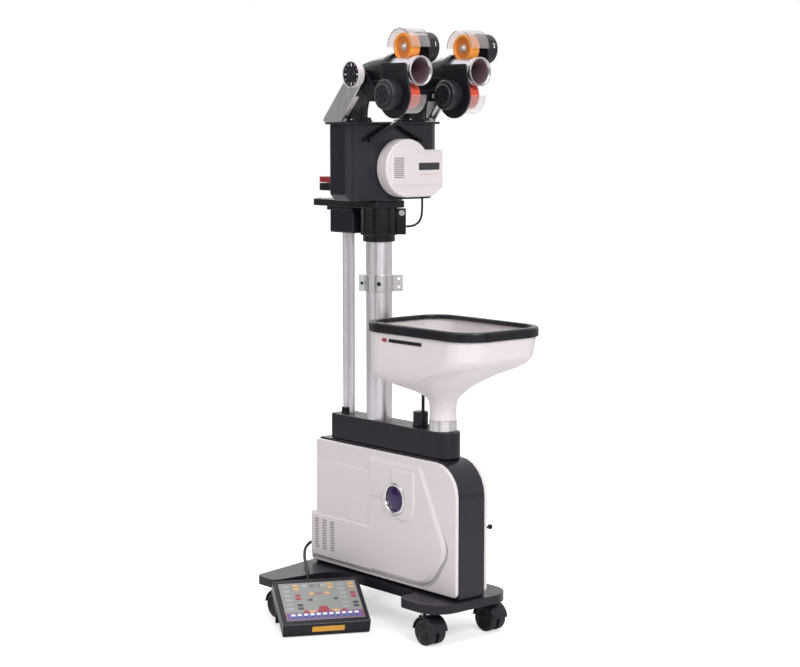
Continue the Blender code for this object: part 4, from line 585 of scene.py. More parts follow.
def frame_of(x_axis, y_axis, place):
    """A placement whose first two axes and origin are given."""
    x_axis = Vector(x_axis).normalized()
    y_axis = Vector(y_axis).normalized()
    z_axis = x_axis.cross(y_axis)
    matrix = Matrix((x_axis, y_axis, z_axis)).transposed().to_4x4()
    matrix.translation = place
    return matrix


def sided(side, near, far):
    """Two levels across on the left (1) or the right (-1) side, the lower one first."""
    return sorted((side * near, side * far))


def side_frame(across):
    """Drawing plane seen from the side: (ahead, up), thickness across."""
    return frame_of(AHEAD, UP, at(across, 0, 0))


def plan_frame(up):
    """Drawing plane seen from above: (across, ahead), thickness up."""
    return frame_of(ACROSS, AHEAD, at(0, 0, up))


def front_frame(ahead):
    """Drawing plane seen from the front: (across, up), thickness ahead."""
    return frame_of(ACROSS, UP, at(0, ahead, 0))


def axis_frame(direction, place):
    """A placement whose local Z lies along the given direction."""
    matrix = Vector(direction).to_track_quat("Z", "Y").to_matrix().to_4x4()
    matrix.translation = place
    return matrix


def combine(item, tool, operation):
    """One exact Boolean of a piece with a tool, which is hidden until tidy() takes it away."""
    step = item.modifiers.new(operation.lower(), "BOOLEAN")
    step.operation = operation
    step.solver = "EXACT"
    step.object = tool
    tool.hide_render = True
    TOOLS.append(tool)
    return item


def cut(item, *tools):
    """Takes tools away from a piece."""
    for tool in tools:
        combine(item, tool, "DIFFERENCE")
    return item


def join(item, *tools):
    """Adds tools to a piece as one body."""
    for tool in tools:
        combine(item, tool, "UNION")
    return item


def bevel(item, width, segments, angle):
    """Rounds the sharp edges of a piece."""
    step = item.modifiers.new("rounded edges", "BEVEL")
    step.width = width
    step.segments = segments
    step.limit_method = "ANGLE"
    step.angle_limit = math.radians(angle)
    return item


def softened(item, width, segments, angle=50):
    """The same piece settled, with its sharp edges rounded."""
    return settled(bevel(item, width, segments, angle))


def drop(item):
    """Takes an object out of the scene."""
    bpy.data.objects.remove(item, do_unlink=True)


def object_from(mesh, place=Matrix.Identity(4)):
    """An object in the scene with the given mesh and placement."""
    item = bpy.data.objects.new("piece", mesh)
    bpy.context.scene.collection.objects.link(item)
    item.matrix_world = place
    return item


def settled(item):
    """The same piece with its modifiers or curve made into one welded mesh."""
    bpy.context.view_layer.update()
    view = bpy.context.evaluated_depsgraph_get()
    mesh = bpy.data.meshes.new_from_object(item.evaluated_get(view), depsgraph=view)
    work = bmesh.new()
    work.from_mesh(mesh)
    bmesh.ops.remove_doubles(work, verts=work.verts, dist=0.000002)
    bmesh.ops.recalc_face_normals(work, faces=work.faces)
    work.to_mesh(mesh)
    work.free()
    made = object_from(mesh, item.matrix_world.copy())
    drop(item)
    return made


def tidy(item):
    """The same piece settled, with its tools taken away."""
    made = settled(item)
    while TOOLS:
        drop(TOOLS.pop())
    return made


def box(low, high, place=Matrix.Identity(4)):
    """A block between two corners of a placement."""
    low = Vector(low)
    high = Vector(high)
    bpy.ops.mesh.primitive_cube_add(size=1)
    item = bpy.context.object
    item.data.transform(Matrix.Translation((low + high) / 2) @ Matrix.Diagonal((*(high - low), 1)))
    item.matrix_world = place
    return item


def block(across, ahead, up):
    """A block between levels across, ahead and up, each a (low, high) pair."""
    return box((across[0], -ahead[1], up[0]), (across[1], -ahead[0], up[1]))


def rod(radius, start, end, sides=SMALL):
    """A round bar between two places."""
    run = end - start
    bpy.ops.mesh.primitive_cylinder_add(vertices=sides, radius=radius, depth=run.length)
    item = bpy.context.object
    item.matrix_world = axis_frame(run, (start + end) / 2)
    return item


def bar_along(radius, place, way, first, last, sides=SMALL):
    """A round bar along a direction through a place, from one distance to another."""
    return rod(radius, place + way * first, place + way * last, sides)


def turned(profile, place, sides=32):
    """A profile of (radius, height) turned round the placement's Z, outer side from the top down."""
    mesh = bpy.data.meshes.new("profile")
    points = [(radius, 0, height) for radius, height in profile]
    closed = profile[0][0] > 0
    edges = [(n, n + 1) for n in range(len(points) - 1)]
    if closed:
        edges.append((len(points) - 1, 0))
    mesh.from_pydata(points, edges, [])
    item = object_from(mesh, place)
    step = item.modifiers.new("turn", "SCREW")
    step.axis = "Z"
    step.angle = math.tau
    step.steps = sides
    step.render_steps = sides
    step.use_merge_vertices = True
    step.merge_threshold = 0.00001
    return item


def slab(outline, depth, place):
    """A flat outline, thickened evenly to both sides of the placement's plane."""
    curve = bpy.data.curves.new("outline", "CURVE")
    curve.dimensions = "2D"
    curve.fill_mode = "BOTH"
    curve.extrude = depth / 2
    line = curve.splines.new("POLY")
    line.points.add(len(outline) - 1)
    for point, (x, y) in zip(line.points, outline):
        point.co = (x, y, 0, 1)
    line.use_cyclic_u = True
    item = settled(object_from(curve, place))
    work = bmesh.new()
    work.from_mesh(item.data)
    flat = {"angle_limit": math.radians(0.1), "verts": work.verts, "edges": work.edges}
    bmesh.ops.dissolve_limit(work, **flat)
    work.to_mesh(item.data)
    work.free()
    return item


def side_slab(outline, across):
    """An outline in (ahead, up) between two levels across."""
    return slab(outline, across[1] - across[0], side_frame((across[0] + across[1]) / 2))


def plan_slab(outline, up):
    """An outline in (across, ahead) between two levels up."""
    return slab(outline, up[1] - up[0], plan_frame((up[0] + up[1]) / 2))


def front_slab(outline, ahead):
    """An outline in (across, up) between two levels ahead."""
    return slab(outline, ahead[1] - ahead[0], front_frame((ahead[0] + ahead[1]) / 2))


def tube(points, radius, resolution=2):
    """A round bar along points, with flat ends."""
    curve = bpy.data.curves.new("route", "CURVE")
    curve.dimensions = "3D"
    curve.bevel_depth = radius
    curve.bevel_resolution = resolution
    curve.use_fill_caps = True
    line = curve.splines.new("POLY")
    line.points.add(len(points) - 1)
    for point, place in zip(line.points, points):
        point.co = (*place, 1)
    return object_from(curve)


def loft(sections, ring=False):
    """A skin through closed sections of equally many points, capped or closed on itself."""
    work = bmesh.new()
    rings = [[work.verts.new(point) for point in section] for section in sections]
    count = len(rings[0])
    pairs = list(zip(rings, rings[1:]))
    if ring:
        pairs.append((rings[-1], rings[0]))
    for lower, upper in pairs:
        for n in range(count):
            m = (n + 1) % count
            work.faces.new((lower[n], lower[m], upper[m], upper[n]))
    if not ring:
        work.faces.new(rings[0])
        work.faces.new(rings[-1])
    bmesh.ops.recalc_face_normals(work, faces=work.faces)
    mesh = bpy.data.meshes.new("loft")
    work.to_mesh(mesh)
    work.free()
    return object_from(mesh)


def arc(centre, radius, start, end, steps):
    """Points of an arc; angles in degrees."""
    points = []
    for n in range(steps + 1):
        angle = math.radians(start + (end - start) * n / steps)
        x = centre[0] + radius * math.cos(angle)
        y = centre[1] + radius * math.sin(angle)
        points.append((x, y))
    return points


def rounded(corners):
    """The outline through (x, y, radius) corners, each arc of as many steps as there are corners."""
    outline = []
    steps = len(corners)
    for n, (x, y, radius) in enumerate(corners):
        here = Vector((x, y))
        before = Vector(corners[n - 1][:2]) - here
        after = Vector(corners[(n + 1) % steps][:2]) - here
        turn = before.angle(after)
        reach = radius / math.tan(turn / 2)
        limit = 0.49 * min(before.length, after.length)
        if reach > limit:
            reach = limit
            radius = reach * math.tan(turn / 2)
        first = here + before.normalized() * reach
        last = here + after.normalized() * reach
        middle = (before.normalized() + after.normalized()).normalized()
        centre = here + middle * radius / math.sin(turn / 2)
        begin = first - centre
        sweep = math.pi - turn
        if begin.x * (last - centre).y - begin.y * (last - centre).x < 0:
            sweep = -sweep
        for k in range(steps + 1):
            angle = sweep * k / steps
            px = centre.x + begin.x * math.cos(angle) - begin.y * math.sin(angle)
            py = centre.y + begin.x * math.sin(angle) + begin.y * math.cos(angle)
            outline.append((px, py))
    return outline


def four(ends, levels, radii):
    """The corners of a rectangle between two ends and two levels, low ones first, with their radii."""
    (left, right), (low, high) = ends, levels
    spots = ((left, low), (right, low), (right, high), (left, high))
    return [(x, y, radius) for (x, y), radius in zip(spots, radii)]


def hull(points):
    """The outline stretched round points."""
    ordered = sorted(set((round(x, 7), round(y, 7)) for x, y in points))

    def half(run):
        line = []
        for point in run:
            while len(line) > 1 and turns_right(line[-2], line[-1], point):
                line.pop()
            line.append(point)
        return line[:-1]

    return half(ordered) + half(reversed(ordered))


def turns_right(a, b, c):
    """True where the way from a over b to c doesn't turn left."""
    return (b[0] - a[0]) * (c[1] - a[1]) - (b[1] - a[1]) * (c[0] - a[0]) <= 1e-12


def circle(centre, radius, sides=36):
    """Points round a circle."""
    return arc(centre, radius, 0, 360 - 360 / sides, sides - 1)


def smooth(route, spacing):
    """Points at an even spacing on a smooth curve through a route."""
    route = [Vector(point) for point in route]
    ends = [2 * route[0] - route[1]] + route + [2 * route[-1] - route[-2]]
    fine = []
    for n in range(1, len(ends) - 2):
        a, b, c, d = ends[n - 1:n + 3]
        for k in range(40):
            t = k / 40
            middle = (c - a) * t + (2 * a - 5 * b + 4 * c - d) * t * t
            fine.append(b + 0.5 * (middle + (3 * b - a - 3 * c + d) * t ** 3))
    fine.append(route[-1])
    return even(fine, spacing)


def bend(start, start_way, end, end_way, reach, spacing):
    """Points on one curve that leaves and arrives in given directions."""
    a = Vector(start)
    b = a + Vector(start_way).normalized() * reach
    d = Vector(end)
    c = d - Vector(end_way).normalized() * reach
    fine = []
    for n in range(121):
        t = n / 120
        s = 1 - t
        fine.append(a * s ** 3 + b * 3 * s * s * t + c * 3 * s * t * t + d * t ** 3)
    return even(fine, spacing)


def even(fine, spacing):
    """The same line with its points spread evenly."""
    runs = [(q - p).length for p, q in zip(fine, fine[1:])]
    total = sum(runs)
    count = max(3, round(total / spacing))
    points = [fine[0]]
    passed = 0
    for p, q, run in zip(fine, fine[1:], runs):
        while len(points) < count and passed + run >= total * len(points) / count:
            share = (total * len(points) / count - passed) / run
            points.append(p.lerp(q, share))
        passed += run
    points.append(fine[-1])
    return points


def piece(item, name, looks, body="base", nodes=(), bends=None):
    """Finishes a piece: one smooth mesh in the frame, riding on a body, in place of CAD nodes."""
    item = tidy(item)
    mesh = item.data
    mesh.transform(Matrix.Translation(SHIFT) @ item.matrix_world)
    item.matrix_world = Matrix.Identity(4)
    item.name = name
    mesh.name = name
    if not isinstance(looks, (list, tuple)):
        looks = [looks]
    mesh.materials.clear()
    for look in looks:
        mesh.materials.append(look)
    mesh.shade_smooth()
    mesh.set_sharp_from_angle(angle=HARD_EDGE)
    if bends:
        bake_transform(item)
    else:
        step = item.modifiers.new("even shading", "WEIGHTED_NORMAL")
        step.keep_sharp = True
        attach(item, body)
    if nodes:
        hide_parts(*nodes)
    return item


def numbered(name, items, look, body):
    """Finishes alike items under a numbered name, each made only when the one before is done."""
    for n, item in enumerate(items):
        piece(item, name % (n + 1), look, body)


def paint(item, number, wanted):
    """Gives faces whose middle and normal pass the test another of the piece's materials."""
    for face in item.data.polygons:
        if wanted(face.center - SHIFT, face.normal):
            face.material_index = number


def one_mesh(items):
    """Several meshes as one object, for instance a cutter with many parts."""
    work = bmesh.new()
    for item in items:
        item = settled(item)
        item.data.transform(item.matrix_world)
        work.from_mesh(item.data)
        drop(item)
    mesh = bpy.data.meshes.new("group")
    work.to_mesh(mesh)
    work.free()
    return object_from(mesh)


def text_mesh(word, height, thickness):
    """A plain numeral as a thin solid, centred on its own origin, upright in local X and Y."""
    curve = bpy.data.curves.new("numeral", "FONT")
    curve.body = word
    curve.size = height * 1.4
    curve.align_x = "CENTER"
    curve.align_y = "CENTER"
    curve.extrude = thickness / 2
    return settled(object_from(curve))


def sleeve(outer, inner, low, high, edge):
    """The profile of a ring whose two outer edges are chamfered."""
    return [
        (outer - edge, high), (outer, high - edge), (outer, low + edge), (outer - edge, low),
        (inner, low), (inner, high),
    ]


def screw_head(radius, place, way, depth):
    """A small domed screw head with a cross recess, its middle on a surface."""
    rounds = [
        (0, depth), (radius * 0.55, depth * 0.92), (radius * 0.85, depth * 0.6),
        (radius, depth * 0.15), (radius, -depth), (0, -depth),
    ]
    head = settled(turned(rounds, axis_frame(way, place), SMALL))
    arm, slot = radius * 0.62, radius * 0.13
    local = axis_frame(way, place)
    top = depth * 1.5
    floor = depth * 0.3
    cross = [
        box((-arm, -slot, floor), (arm, slot, top), local),
        box((-slot, -arm, floor), (slot, arm, top), local),
    ]
    return cut(head, *cross)


class Nodes:
    """Short ways to build the node tree of a look or of the world."""

    def __init__(self, look, bare=False):
        look.use_nodes = True
        self.look = look
        self.tree = look.node_tree
        if bare:
            self.tree.nodes.clear()
        else:
            self.shader = self.tree.nodes["Principled BSDF"]

    def add(self, kind, **values):
        """A node with its properties and its input values set."""
        node = self.tree.nodes.new(kind)
        for key, value in values.items():
            if hasattr(node, key):
                setattr(node, key, value)
            else:
                node.inputs[key.replace("_", " ")].default_value = value
        return node

    def fix(self, **values):
        """Fixed inputs of the look's main shader."""
        for key, value in values.items():
            self.shader.inputs[key.replace("_", " ")].default_value = value

    def feed(self, name, source):
        """An input of the look's main shader, fed by a socket."""
        self.link(source, self.shader.inputs[name])

    def link(self, source, target):
        """One wire between sockets."""
        self.tree.links.new(source, target)

    def show(self, shader, kind="ShaderNodeOutputMaterial"):
        """The tree's output, fed by one shader node."""
        self.link(shader.outputs[0], self.add(kind).inputs["Surface"])

    def any_ray(self, *kinds):
        """One for rays of the given kinds, nought for others."""
        ray = self.add("ShaderNodeLightPath")
        value = ray.outputs["Is %s Ray" % kinds[0]]
        for kind in kinds[1:]:
            larger = self.add("ShaderNodeMath", operation="MAXIMUM")
            self.link(value, larger.inputs[0])
            self.link(ray.outputs["Is %s Ray" % kind], larger.inputs[1])
            value = larger.outputs[0]
        return value

    def noise(self, scale, detail=3.0, stretch=(1, 1, 1)):
        """Noise in the piece's own coordinates, stretched along some axes."""
        where = self.add("ShaderNodeTexCoord")
        turn = self.add("ShaderNodeMapping", Scale=stretch)
        made = self.add("ShaderNodeTexNoise", Scale=scale, Detail=detail)
        self.link(where.outputs["Object"], turn.inputs["Vector"])
        self.link(turn.outputs["Vector"], made.inputs["Vector"])
        return made.outputs["Fac"]

    def spread(self, source, low, high, first=0.3, last=0.7):
        """A value stretched to a range."""
        made = self.add("ShaderNodeMapRange", From_Min=first, From_Max=last, To_Min=low, To_Max=high)
        self.link(source, made.inputs["Value"])
        return made.outputs["Result"]

    def blend(self, factor, dark, light):
        """A colour between two, by a factor."""
        made = self.add("ShaderNodeMix", data_type="RGBA")
        made.inputs[6].default_value = (*dark, 1)
        made.inputs[7].default_value = (*light, 1)
        self.link(factor, made.inputs[0])
        return made.outputs[2]

    def bump(self, height, strength, distance):
        """Relief on the surface from a height."""
        made = self.add("ShaderNodeBump", Strength=strength, Distance=distance)
        self.link(height, made.inputs["Height"])
        self.feed("Normal", made.outputs["Normal"])


def scaled(colour, share):
    """A colour made lighter or darker."""
    return tuple(min(1.0, part * share) for part in colour)


def plastic(name, colour, rough, grain=1400, relief=0.15, cloud=0.06, coat=0.0, depth=0.0001,
            shine=0.5):
    """Moulded plastic, rubber or paint: cloudy colour, fine grain and uneven gloss."""
    made = Nodes(bpy.data.materials.new(name))
    tone = made.spread(made.noise(9.0), 0, 1)
    made.feed("Base Color", made.blend(tone, scaled(colour, 1 - cloud), scaled(colour, 1 + cloud)))
    smears = made.noise(38.0, 4.0)
    made.feed("Roughness", made.spread(smears, rough * 0.88, rough * 1.14))
    made.bump(made.noise(grain, 2.0), relief, depth)
    made.fix(Coat_Weight=coat, Specular_IOR_Level=shine, Coat_Roughness=0.08)
    return made.look


def metal(name, colour, rough, stretch, grain, relief, cloud):
    """Bare metal with the fine lines of its brushing or turning."""
    made = Nodes(bpy.data.materials.new(name))
    lines = made.noise(grain, 3.0, stretch)
    tone = made.spread(lines, 0, 1)
    made.feed("Base Color", made.blend(tone, scaled(colour, 1 - cloud), scaled(colour, 1 + cloud)))
    made.feed("Roughness", made.spread(lines, rough * 0.8, rough * 1.25))
    made.bump(lines, relief, 0.00005)
    made.fix(Metallic=1.0)
    return made.look


def clear(name, colour, rough, weight, ior):
    """Clear or deeply tinted plastic with faint smears."""
    made = Nodes(bpy.data.materials.new(name))
    smears = made.noise(60.0, 4.0)
    tone = made.spread(smears, 0, 1)
    made.feed("Base Color", made.blend(tone, scaled(colour, 0.95), scaled(colour, 1.03)))
    made.feed("Roughness", made.spread(smears, rough * 0.8, rough * 1.5))
    made.bump(smears, 0.01, 0.00003)
    made.fix(Transmission_Weight=weight, IOR=ior)
    return made.look


BLACK = plastic("black moulded plastic", (0.0125, 0.0098, 0.0165), 0.30, shine=0.30)
GRAINED = plastic("black grained plastic", (0.0120, 0.0096, 0.0160), 0.40, 900, 0.35, shine=0.32)
CASING = plastic("dark painted casing", (0.0200, 0.0165, 0.0265), 0.20, 1600, 0.12, 0.08, shine=0.32)
DARK_STEEL = plastic("blackened steel", (0.0095, 0.0080, 0.0120), 0.30, 700, 0.14, shine=0.30)
WHITE = plastic("white moulded plastic", (0.74, 0.672, 0.690), 0.34, 2600, 0.012, 0.006)
BOWL_WHITE = plastic("bowl plastic", (0.77, 0.694, 0.710), 0.38, 1500, 0.08, 0.015)
# A darker copy of the bowl plastic for its inner faces: painted shade inside the bowl.
BOWL_INSIDE_SHADE = plastic("bowl inside", (0.68, 0.628, 0.632), 0.50, 1200, 0.10, 0.03)
# Grey for the floor of each cover's sunk channel: painted shade in the recess.
CHANNEL_SHADE_GREY = plastic("grey channel paint", (0.47, 0.44, 0.445), 0.42, 1500, 0.08, 0.04)
# Grey for the floors of the cover vents and housing louvres: painted shade in the slots.
SLOT_SHADE_GREY = plastic("soft grey print", (0.27, 0.235, 0.26), 0.45, 1500, 0.05, 0.03)
RUBBER = plastic("black rubber", (0.0110, 0.0090, 0.0130), 0.50, 700, 0.40, 0.10, shine=0.30)
HOSE = plastic("glossy black hose", (0.0095, 0.0080, 0.0110), 0.24, 500, 0.10, 0.10, shine=0.38)
TYRE = plastic("caster tread", (0.0150, 0.0110, 0.0170), 0.44, 600, 0.35, 0.12, shine=0.35)
CAP = plastic("caster cap", (0.0130, 0.0095, 0.0150), 0.34, 1000, 0.25, 0.10, shine=0.35)
ORANGE = plastic("orange tyre", (0.84, 0.290, 0.030), 0.38, 900, 0.25, 0.06, 0.2, 0.0002)
# The hub colours below are darker copies of the tyre colours: painted shade in the dished hubs.
ORANGE_DISH_SHADE = plastic("orange hub", (0.66, 0.185, 0.020), 0.34, 900, 0.2, 0.08, 0.2)
RED = plastic("red tyre", (0.70, 0.070, 0.028), 0.45, 900, 0.25, 0.06, 0.1, 0.0002)
RED_DISH_SHADE = plastic("red hub", (0.50, 0.045, 0.022), 0.40, 900, 0.2, 0.08)
CREAM = plastic("silver knob ring", (0.62, 0.570, 0.580), 0.30, 1500, 0.06, 0.03)
MARKS = plastic("white marks", (0.80, 0.78, 0.80), 0.45, 1500, 0.05, 0.02)
PANEL = plastic("grey key panel", (0.255, 0.262, 0.248), 0.44, 1700, 0.12, 0.04)
BLUE_KEYS = plastic("blue key strip", (0.110, 0.118, 0.330), 0.42, 1700, 0.10, 0.04)
MAGENTA = plastic("magenta border", (0.26, 0.060, 0.160), 0.42, 1700, 0.10, 0.04)
KEY_ORANGE = plastic("orange key print", (0.66, 0.360, 0.150), 0.42, 1700, 0.10, 0.04)
KEY_RED = plastic("red key print", (0.34, 0.038, 0.055), 0.42, 1700, 0.10, 0.04)
KEY_DARK = plastic("dark key print", (0.045, 0.050, 0.070), 0.42, 1700, 0.10, 0.06)
KEY_PALE = plastic("pale key outline", (0.330, 0.335, 0.345), 0.42, 1700, 0.10, 0.06)
GOLD = metal("gold plate", (0.80, 0.45, 0.09), 0.42, (0.03, 1, 1), 1200, 0.06, 0.05)
CONNECTOR_RED = plastic("red connector", (0.30, 0.016, 0.022), 0.36, 1200, 0.10, 0.08)
# Dark brown for the inside of each barrel's bore: painted shade in the tube.
BORE_SHADE_BROWN = plastic("dark barrel lining", (0.170, 0.115, 0.140), 0.62, 420, 0.40, 0.25, shine=0.3)
WINDOW = plastic("dark window", (0.012, 0.012, 0.020), 0.14, 1500, 0.02, 0.05, 0.3)
THIN_RED = plastic("thin red line", (0.60, 0.20, 0.16), 0.45, 1500, 0.05, 0.03)
MAST_METAL = metal("brushed mast", (0.74, 0.70, 0.74), 0.34, (1, 1, 0.012), 500, 0.02, 0.015)
BRIGHT = metal("bright metal", (0.74, 0.71, 0.73), 0.28, (1, 1, 0.02), 200, 0.0015, 0.004)
BARREL_METAL = metal("turned barrel", (0.66, 0.64, 0.67), 0.30, (1, 0.03, 1), 700, 0.04, 0.03)
ARM_METAL = metal("brushed bracket", (0.62, 0.59, 0.61), 0.34, (1, 1, 0.03), 240, 0.002, 0.006)
CHROME = metal("chrome", (0.74, 0.72, 0.74), 0.14, (1, 1, 1), 200, 0.02, 0.02)
RING_METAL = metal("machined ring", (0.62, 0.60, 0.62), 0.30, (1, 1, 1), 300, 0.02, 0.02)
CLEAR = clear("clear guard", (0.84, 0.80, 0.80), 0.03, 0.90, 1.5)
VIOLET = plastic("violet lens", (0.030, 0.008, 0.075), 0.10, 300, 0.01, 0.18, 0.25, shine=0.3)
RIM_RUBBER = plastic("glossy rim rubber", (0.0100, 0.0080, 0.0125), 0.26, 700, 0.12, 0.10, shine=0.36)
GLOSS_BLACK = plastic("glossy black paint", (0.0085, 0.0070, 0.0100), 0.16, 1200, 0.04, 0.08, 0.12,
                      shine=0.34)
MOTOR_BLACK = plastic("motor casing", (0.0145, 0.0120, 0.0175), 0.36, 1100, 0.18, 0.10, shine=0.34)


def make_camera():
    """The photograph's viewpoint."""
    data = bpy.data.cameras.new("camera")
    data.lens = CAMERA_LENS
    data.sensor_width = CAMERA_SENSOR
    data.clip_start = 0.05
    data.clip_end = 50
    item = bpy.data.objects.new("camera", data)
    bpy.context.scene.collection.objects.link(item)
    item.location = SHIFT + at(*CAMERA_PLACE)
    item.rotation_euler = (math.pi / 2 - CAMERA_DOWN, 0, CAMERA_TURN)
    bpy.context.scene.camera = item


def desk_frame():
    """Two placements at the desk's front corner: along its tilted underside, and level."""
    across = heading(DESK_YAW)
    back = at(math.sin(DESK_YAW), -math.cos(DESK_YAW), 0)
    corner = at(*DESK_CORNER, 0)
    slope = back * math.cos(DESK_TILT) + UP * math.sin(DESK_TILT)
    return frame_of(across, slope, corner), frame_of(across, back, corner)


def coil_route():
    """The coil's points: in along the floor layer, up where it turns, and out again above."""
    sweep = math.tau * COIL_TURNS - (COIL_END - COIL_START)
    turns = sweep / math.tau
    count = round(turns * COIL_POINTS)
    layer = 2 * CABLE_RADIUS + COIL_LAYER_GAP
    points = []
    for n in range(count + 1):
        angle = COIL_START - sweep * n / count
        passed = abs(turns * n / count - turns / 2)
        radius = COIL_RADIUS - COIL_PITCH * (turns / 2 - passed)
        climb = min(1, max(0, (turns * n / count - turns / 2) / COIL_CLIMB + 0.5))
        x = COIL_PLACE[0] + radius * math.cos(angle)
        ahead = COIL_PLACE[1] + radius * math.sin(angle)
        points.append(at(x, ahead, CABLE_RADIUS + COIL_FLOOR_GAP + layer * climb))
    return points


def make_cable():
    """The controller's cable, one cord from the gland over the frame and the coil to the desk."""
    up = CORE_BOTTOM + CABLE_OUT_UP
    wall = -CORE_TAIL - CORE_STEP_BACK - GAP
    coil = coil_route()
    ways = [at(math.sin(angle), -math.cos(angle), 0) for angle in (COIL_START, COIL_END)]
    first = coil[0] - ways[0] * 2 * CABLE_RADIUS
    last = coil[-1] + ways[1] * 2 * CABLE_RADIUS
    start = at(CABLE_OUT_ACROSS, wall - GLAND_LENGTH - GAP, up)
    route = [
        start - AHEAD * 0.006,
        at(-0.024, -0.1880, up - 0.004),
        at(-0.042, -0.1815, up - 0.012),
        at(-0.060, -0.1620, up - 0.022),
        at(-0.076, -0.1380, up - 0.0295),
        at(-0.092, -0.1120, up - 0.0320),
        at(-0.104, -0.0945, up - 0.0312),
        at(-0.1140, -0.0815, up - 0.0313),
        at(-0.1240, -0.0692, up - 0.0380),
        at(-0.1300, -0.0622, 0.0580),
        at(-0.1322, -0.0600, 0.0380),
        at(-0.1372, -0.0545, 0.0190),
        at(-0.1462, -0.0446, 0.0065),
        first - ways[0] * (0.0045 + GAP),
    ]
    desk = desk_frame()[0]
    entry = desk @ Vector((*TAIL_PLACE, -GAP))
    tail = bend(last + ways[1] * GAP, ways[1], entry, desk.to_3x3() @ UP, TAIL_SWEEP, 0.003)
    points = [start] + smooth(route, 2.5 * CABLE_RADIUS) + [first] + coil + [last] + tail
    cable = tube([SHIFT + point for point in points], CABLE_RADIUS, 4)
    cable.name = "controller_cable"
    cable.data.materials.append(RUBBER)
    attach(cable, "base")
    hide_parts("cable_lead", "cable_coil", "cable_tail")
    lip = GLAND_RADIUS + 0.001
    rings = [(0, GLAND_LENGTH), (CABLE_RADIUS + 0.0008, GLAND_LENGTH)]
    for n in range(4):
        base = GLAND_LENGTH - 0.0012 - 0.0026 * n
        wide = CABLE_RADIUS + 0.0010 + 0.0005 * n
        rings += [(wide, base), (wide + 0.0006, base - 0.0006), (wide + 0.0006, base - 0.0014),
                  (wide, base - 0.0020)]
    rings += [(lip, GLAND_LIP - 0.0003), (lip, 0), (0, 0)]
    gland = turned(rings, axis_frame(-AHEAD, at(CABLE_OUT_ACROSS, wall, up)), 32)
    piece(gland, "strain_relief", RUBBER, "base", ["cable_gland"])


def make_tray():
    """The low T-shaped frame, moulded with soft edges."""
    front, rail, wing = FRAME_FRONT_HALF, FRAME_RAIL_HALF, FRAME_WING_HALF
    crossbar = FRAME_FRONT - FRAME_FRONT_DEPTH
    right = [
        (front, FRAME_FRONT, 0.050),
        (front, crossbar, 0.045),
        (rail, crossbar, 0.012),
        (rail, FRAME_WING_FRONT, 0.055),
        (wing, FRAME_WING_FRONT - FRAME_WING_SWEEP, 0.012),
        (wing, FRAME_WING_BACK, 0.014),
    ]
    left = [(-x, y, radius) for x, y, radius in reversed(right)]
    outline = rounded(right + [(0, FRAME_BACK, 0.030)] + left)
    tray = plan_slab(outline, (FRAME_BOTTOM, FRAME_BOTTOM + FRAME_THICKNESS))
    tray = softened(tray, 0.0048, 5)
    piece(tray, "frame_tray", BLACK, "base", ["base_frame"])


def caster_hood():
    """Hood and web of a twin-wheel caster about its axle, with a rolled edge."""
    half, web = CASTER_WIDTH / 2, CASTER_WEB / 2
    middle = Vector((0, 0, 0))
    hood = bar_along(FENDER_RADIUS, middle, ACROSS, -half, half, FINE)
    hood = softened(hood, 0.0012, 3)
    stem = CASTER_TRAIL * -AHEAD
    collar = FENDER_RADIUS - STEM_COLLAR_DROP
    neck = bar_along(STEM_COLLAR_RADIUS, stem, UP, -0.004, collar, MIDDLE)
    join(hood, softened(neck, 0.0010, 3))
    pocket = CASTER_RADIUS + RUN_GAP
    out, far = half + LAP, FENDER_RADIUS + OVER
    for side in (-1, 1):
        cut(hood, bar_along(pocket, middle, ACROSS * side, web, out, FINE))
        edges = sided(side, web, out)
        cut(hood, box((edges[0], -far, -far), (edges[1], far, FENDER_FACE_UP)))
    cut(hood, box((-out, -far, -far), (out, far, -FENDER_DROP)))
    cut(hood, bar_along(WHEEL_BORE, middle, ACROSS, -out, out))
    return tidy(hood)


def caster_tread():
    """Both wheels of a caster on their axle, with a stepped tread and ribbed caps."""
    outer = CASTER_WIDTH / 2 - CASTER_SIDE_GAP
    inner = CASTER_WEB / 2 + CASTER_SIDE_GAP
    r = CASTER_RADIUS
    dish = outer - CASTER_DISH
    cap = r - CASTER_RIM - CASTER_DISH
    half = [
        (0, dish + 0.0016), (0.0046, dish + 0.0016), (0.0054, dish + 0.0008), (0.0060, dish),
        (cap, dish), (cap + 0.0022, outer - 0.0005), (cap + 0.0034, outer),
        (r - 0.0030, outer), (r - 0.0008, outer - CASTER_SHOULDER * 0.5),
        (r, outer - CASTER_SHOULDER), (r, inner + 0.0015), (r - 0.0015, inner),
        (AXLE_RADIUS, inner),
    ]
    profile = half + [(radius, -height) for radius, height in reversed(half)]
    wheel = settled(turned(profile, axis_frame(ACROSS, Vector((0, 0, 0))), 72))
    ribs = []
    for side in (-1, 1):
        for n in range(CAP_RIBS):
            place = Matrix.Rotation(math.tau * n / CAP_RIBS, 4, "X")
            levels = sided(side, dish - 0.0008, dish + 0.0007)
            ribs.append(box((levels[0], 0.0058, -0.0007), (levels[1], cap + 0.0010, 0.0007), place))
    join(wheel, one_mesh(ribs))
    return tidy(wheel)


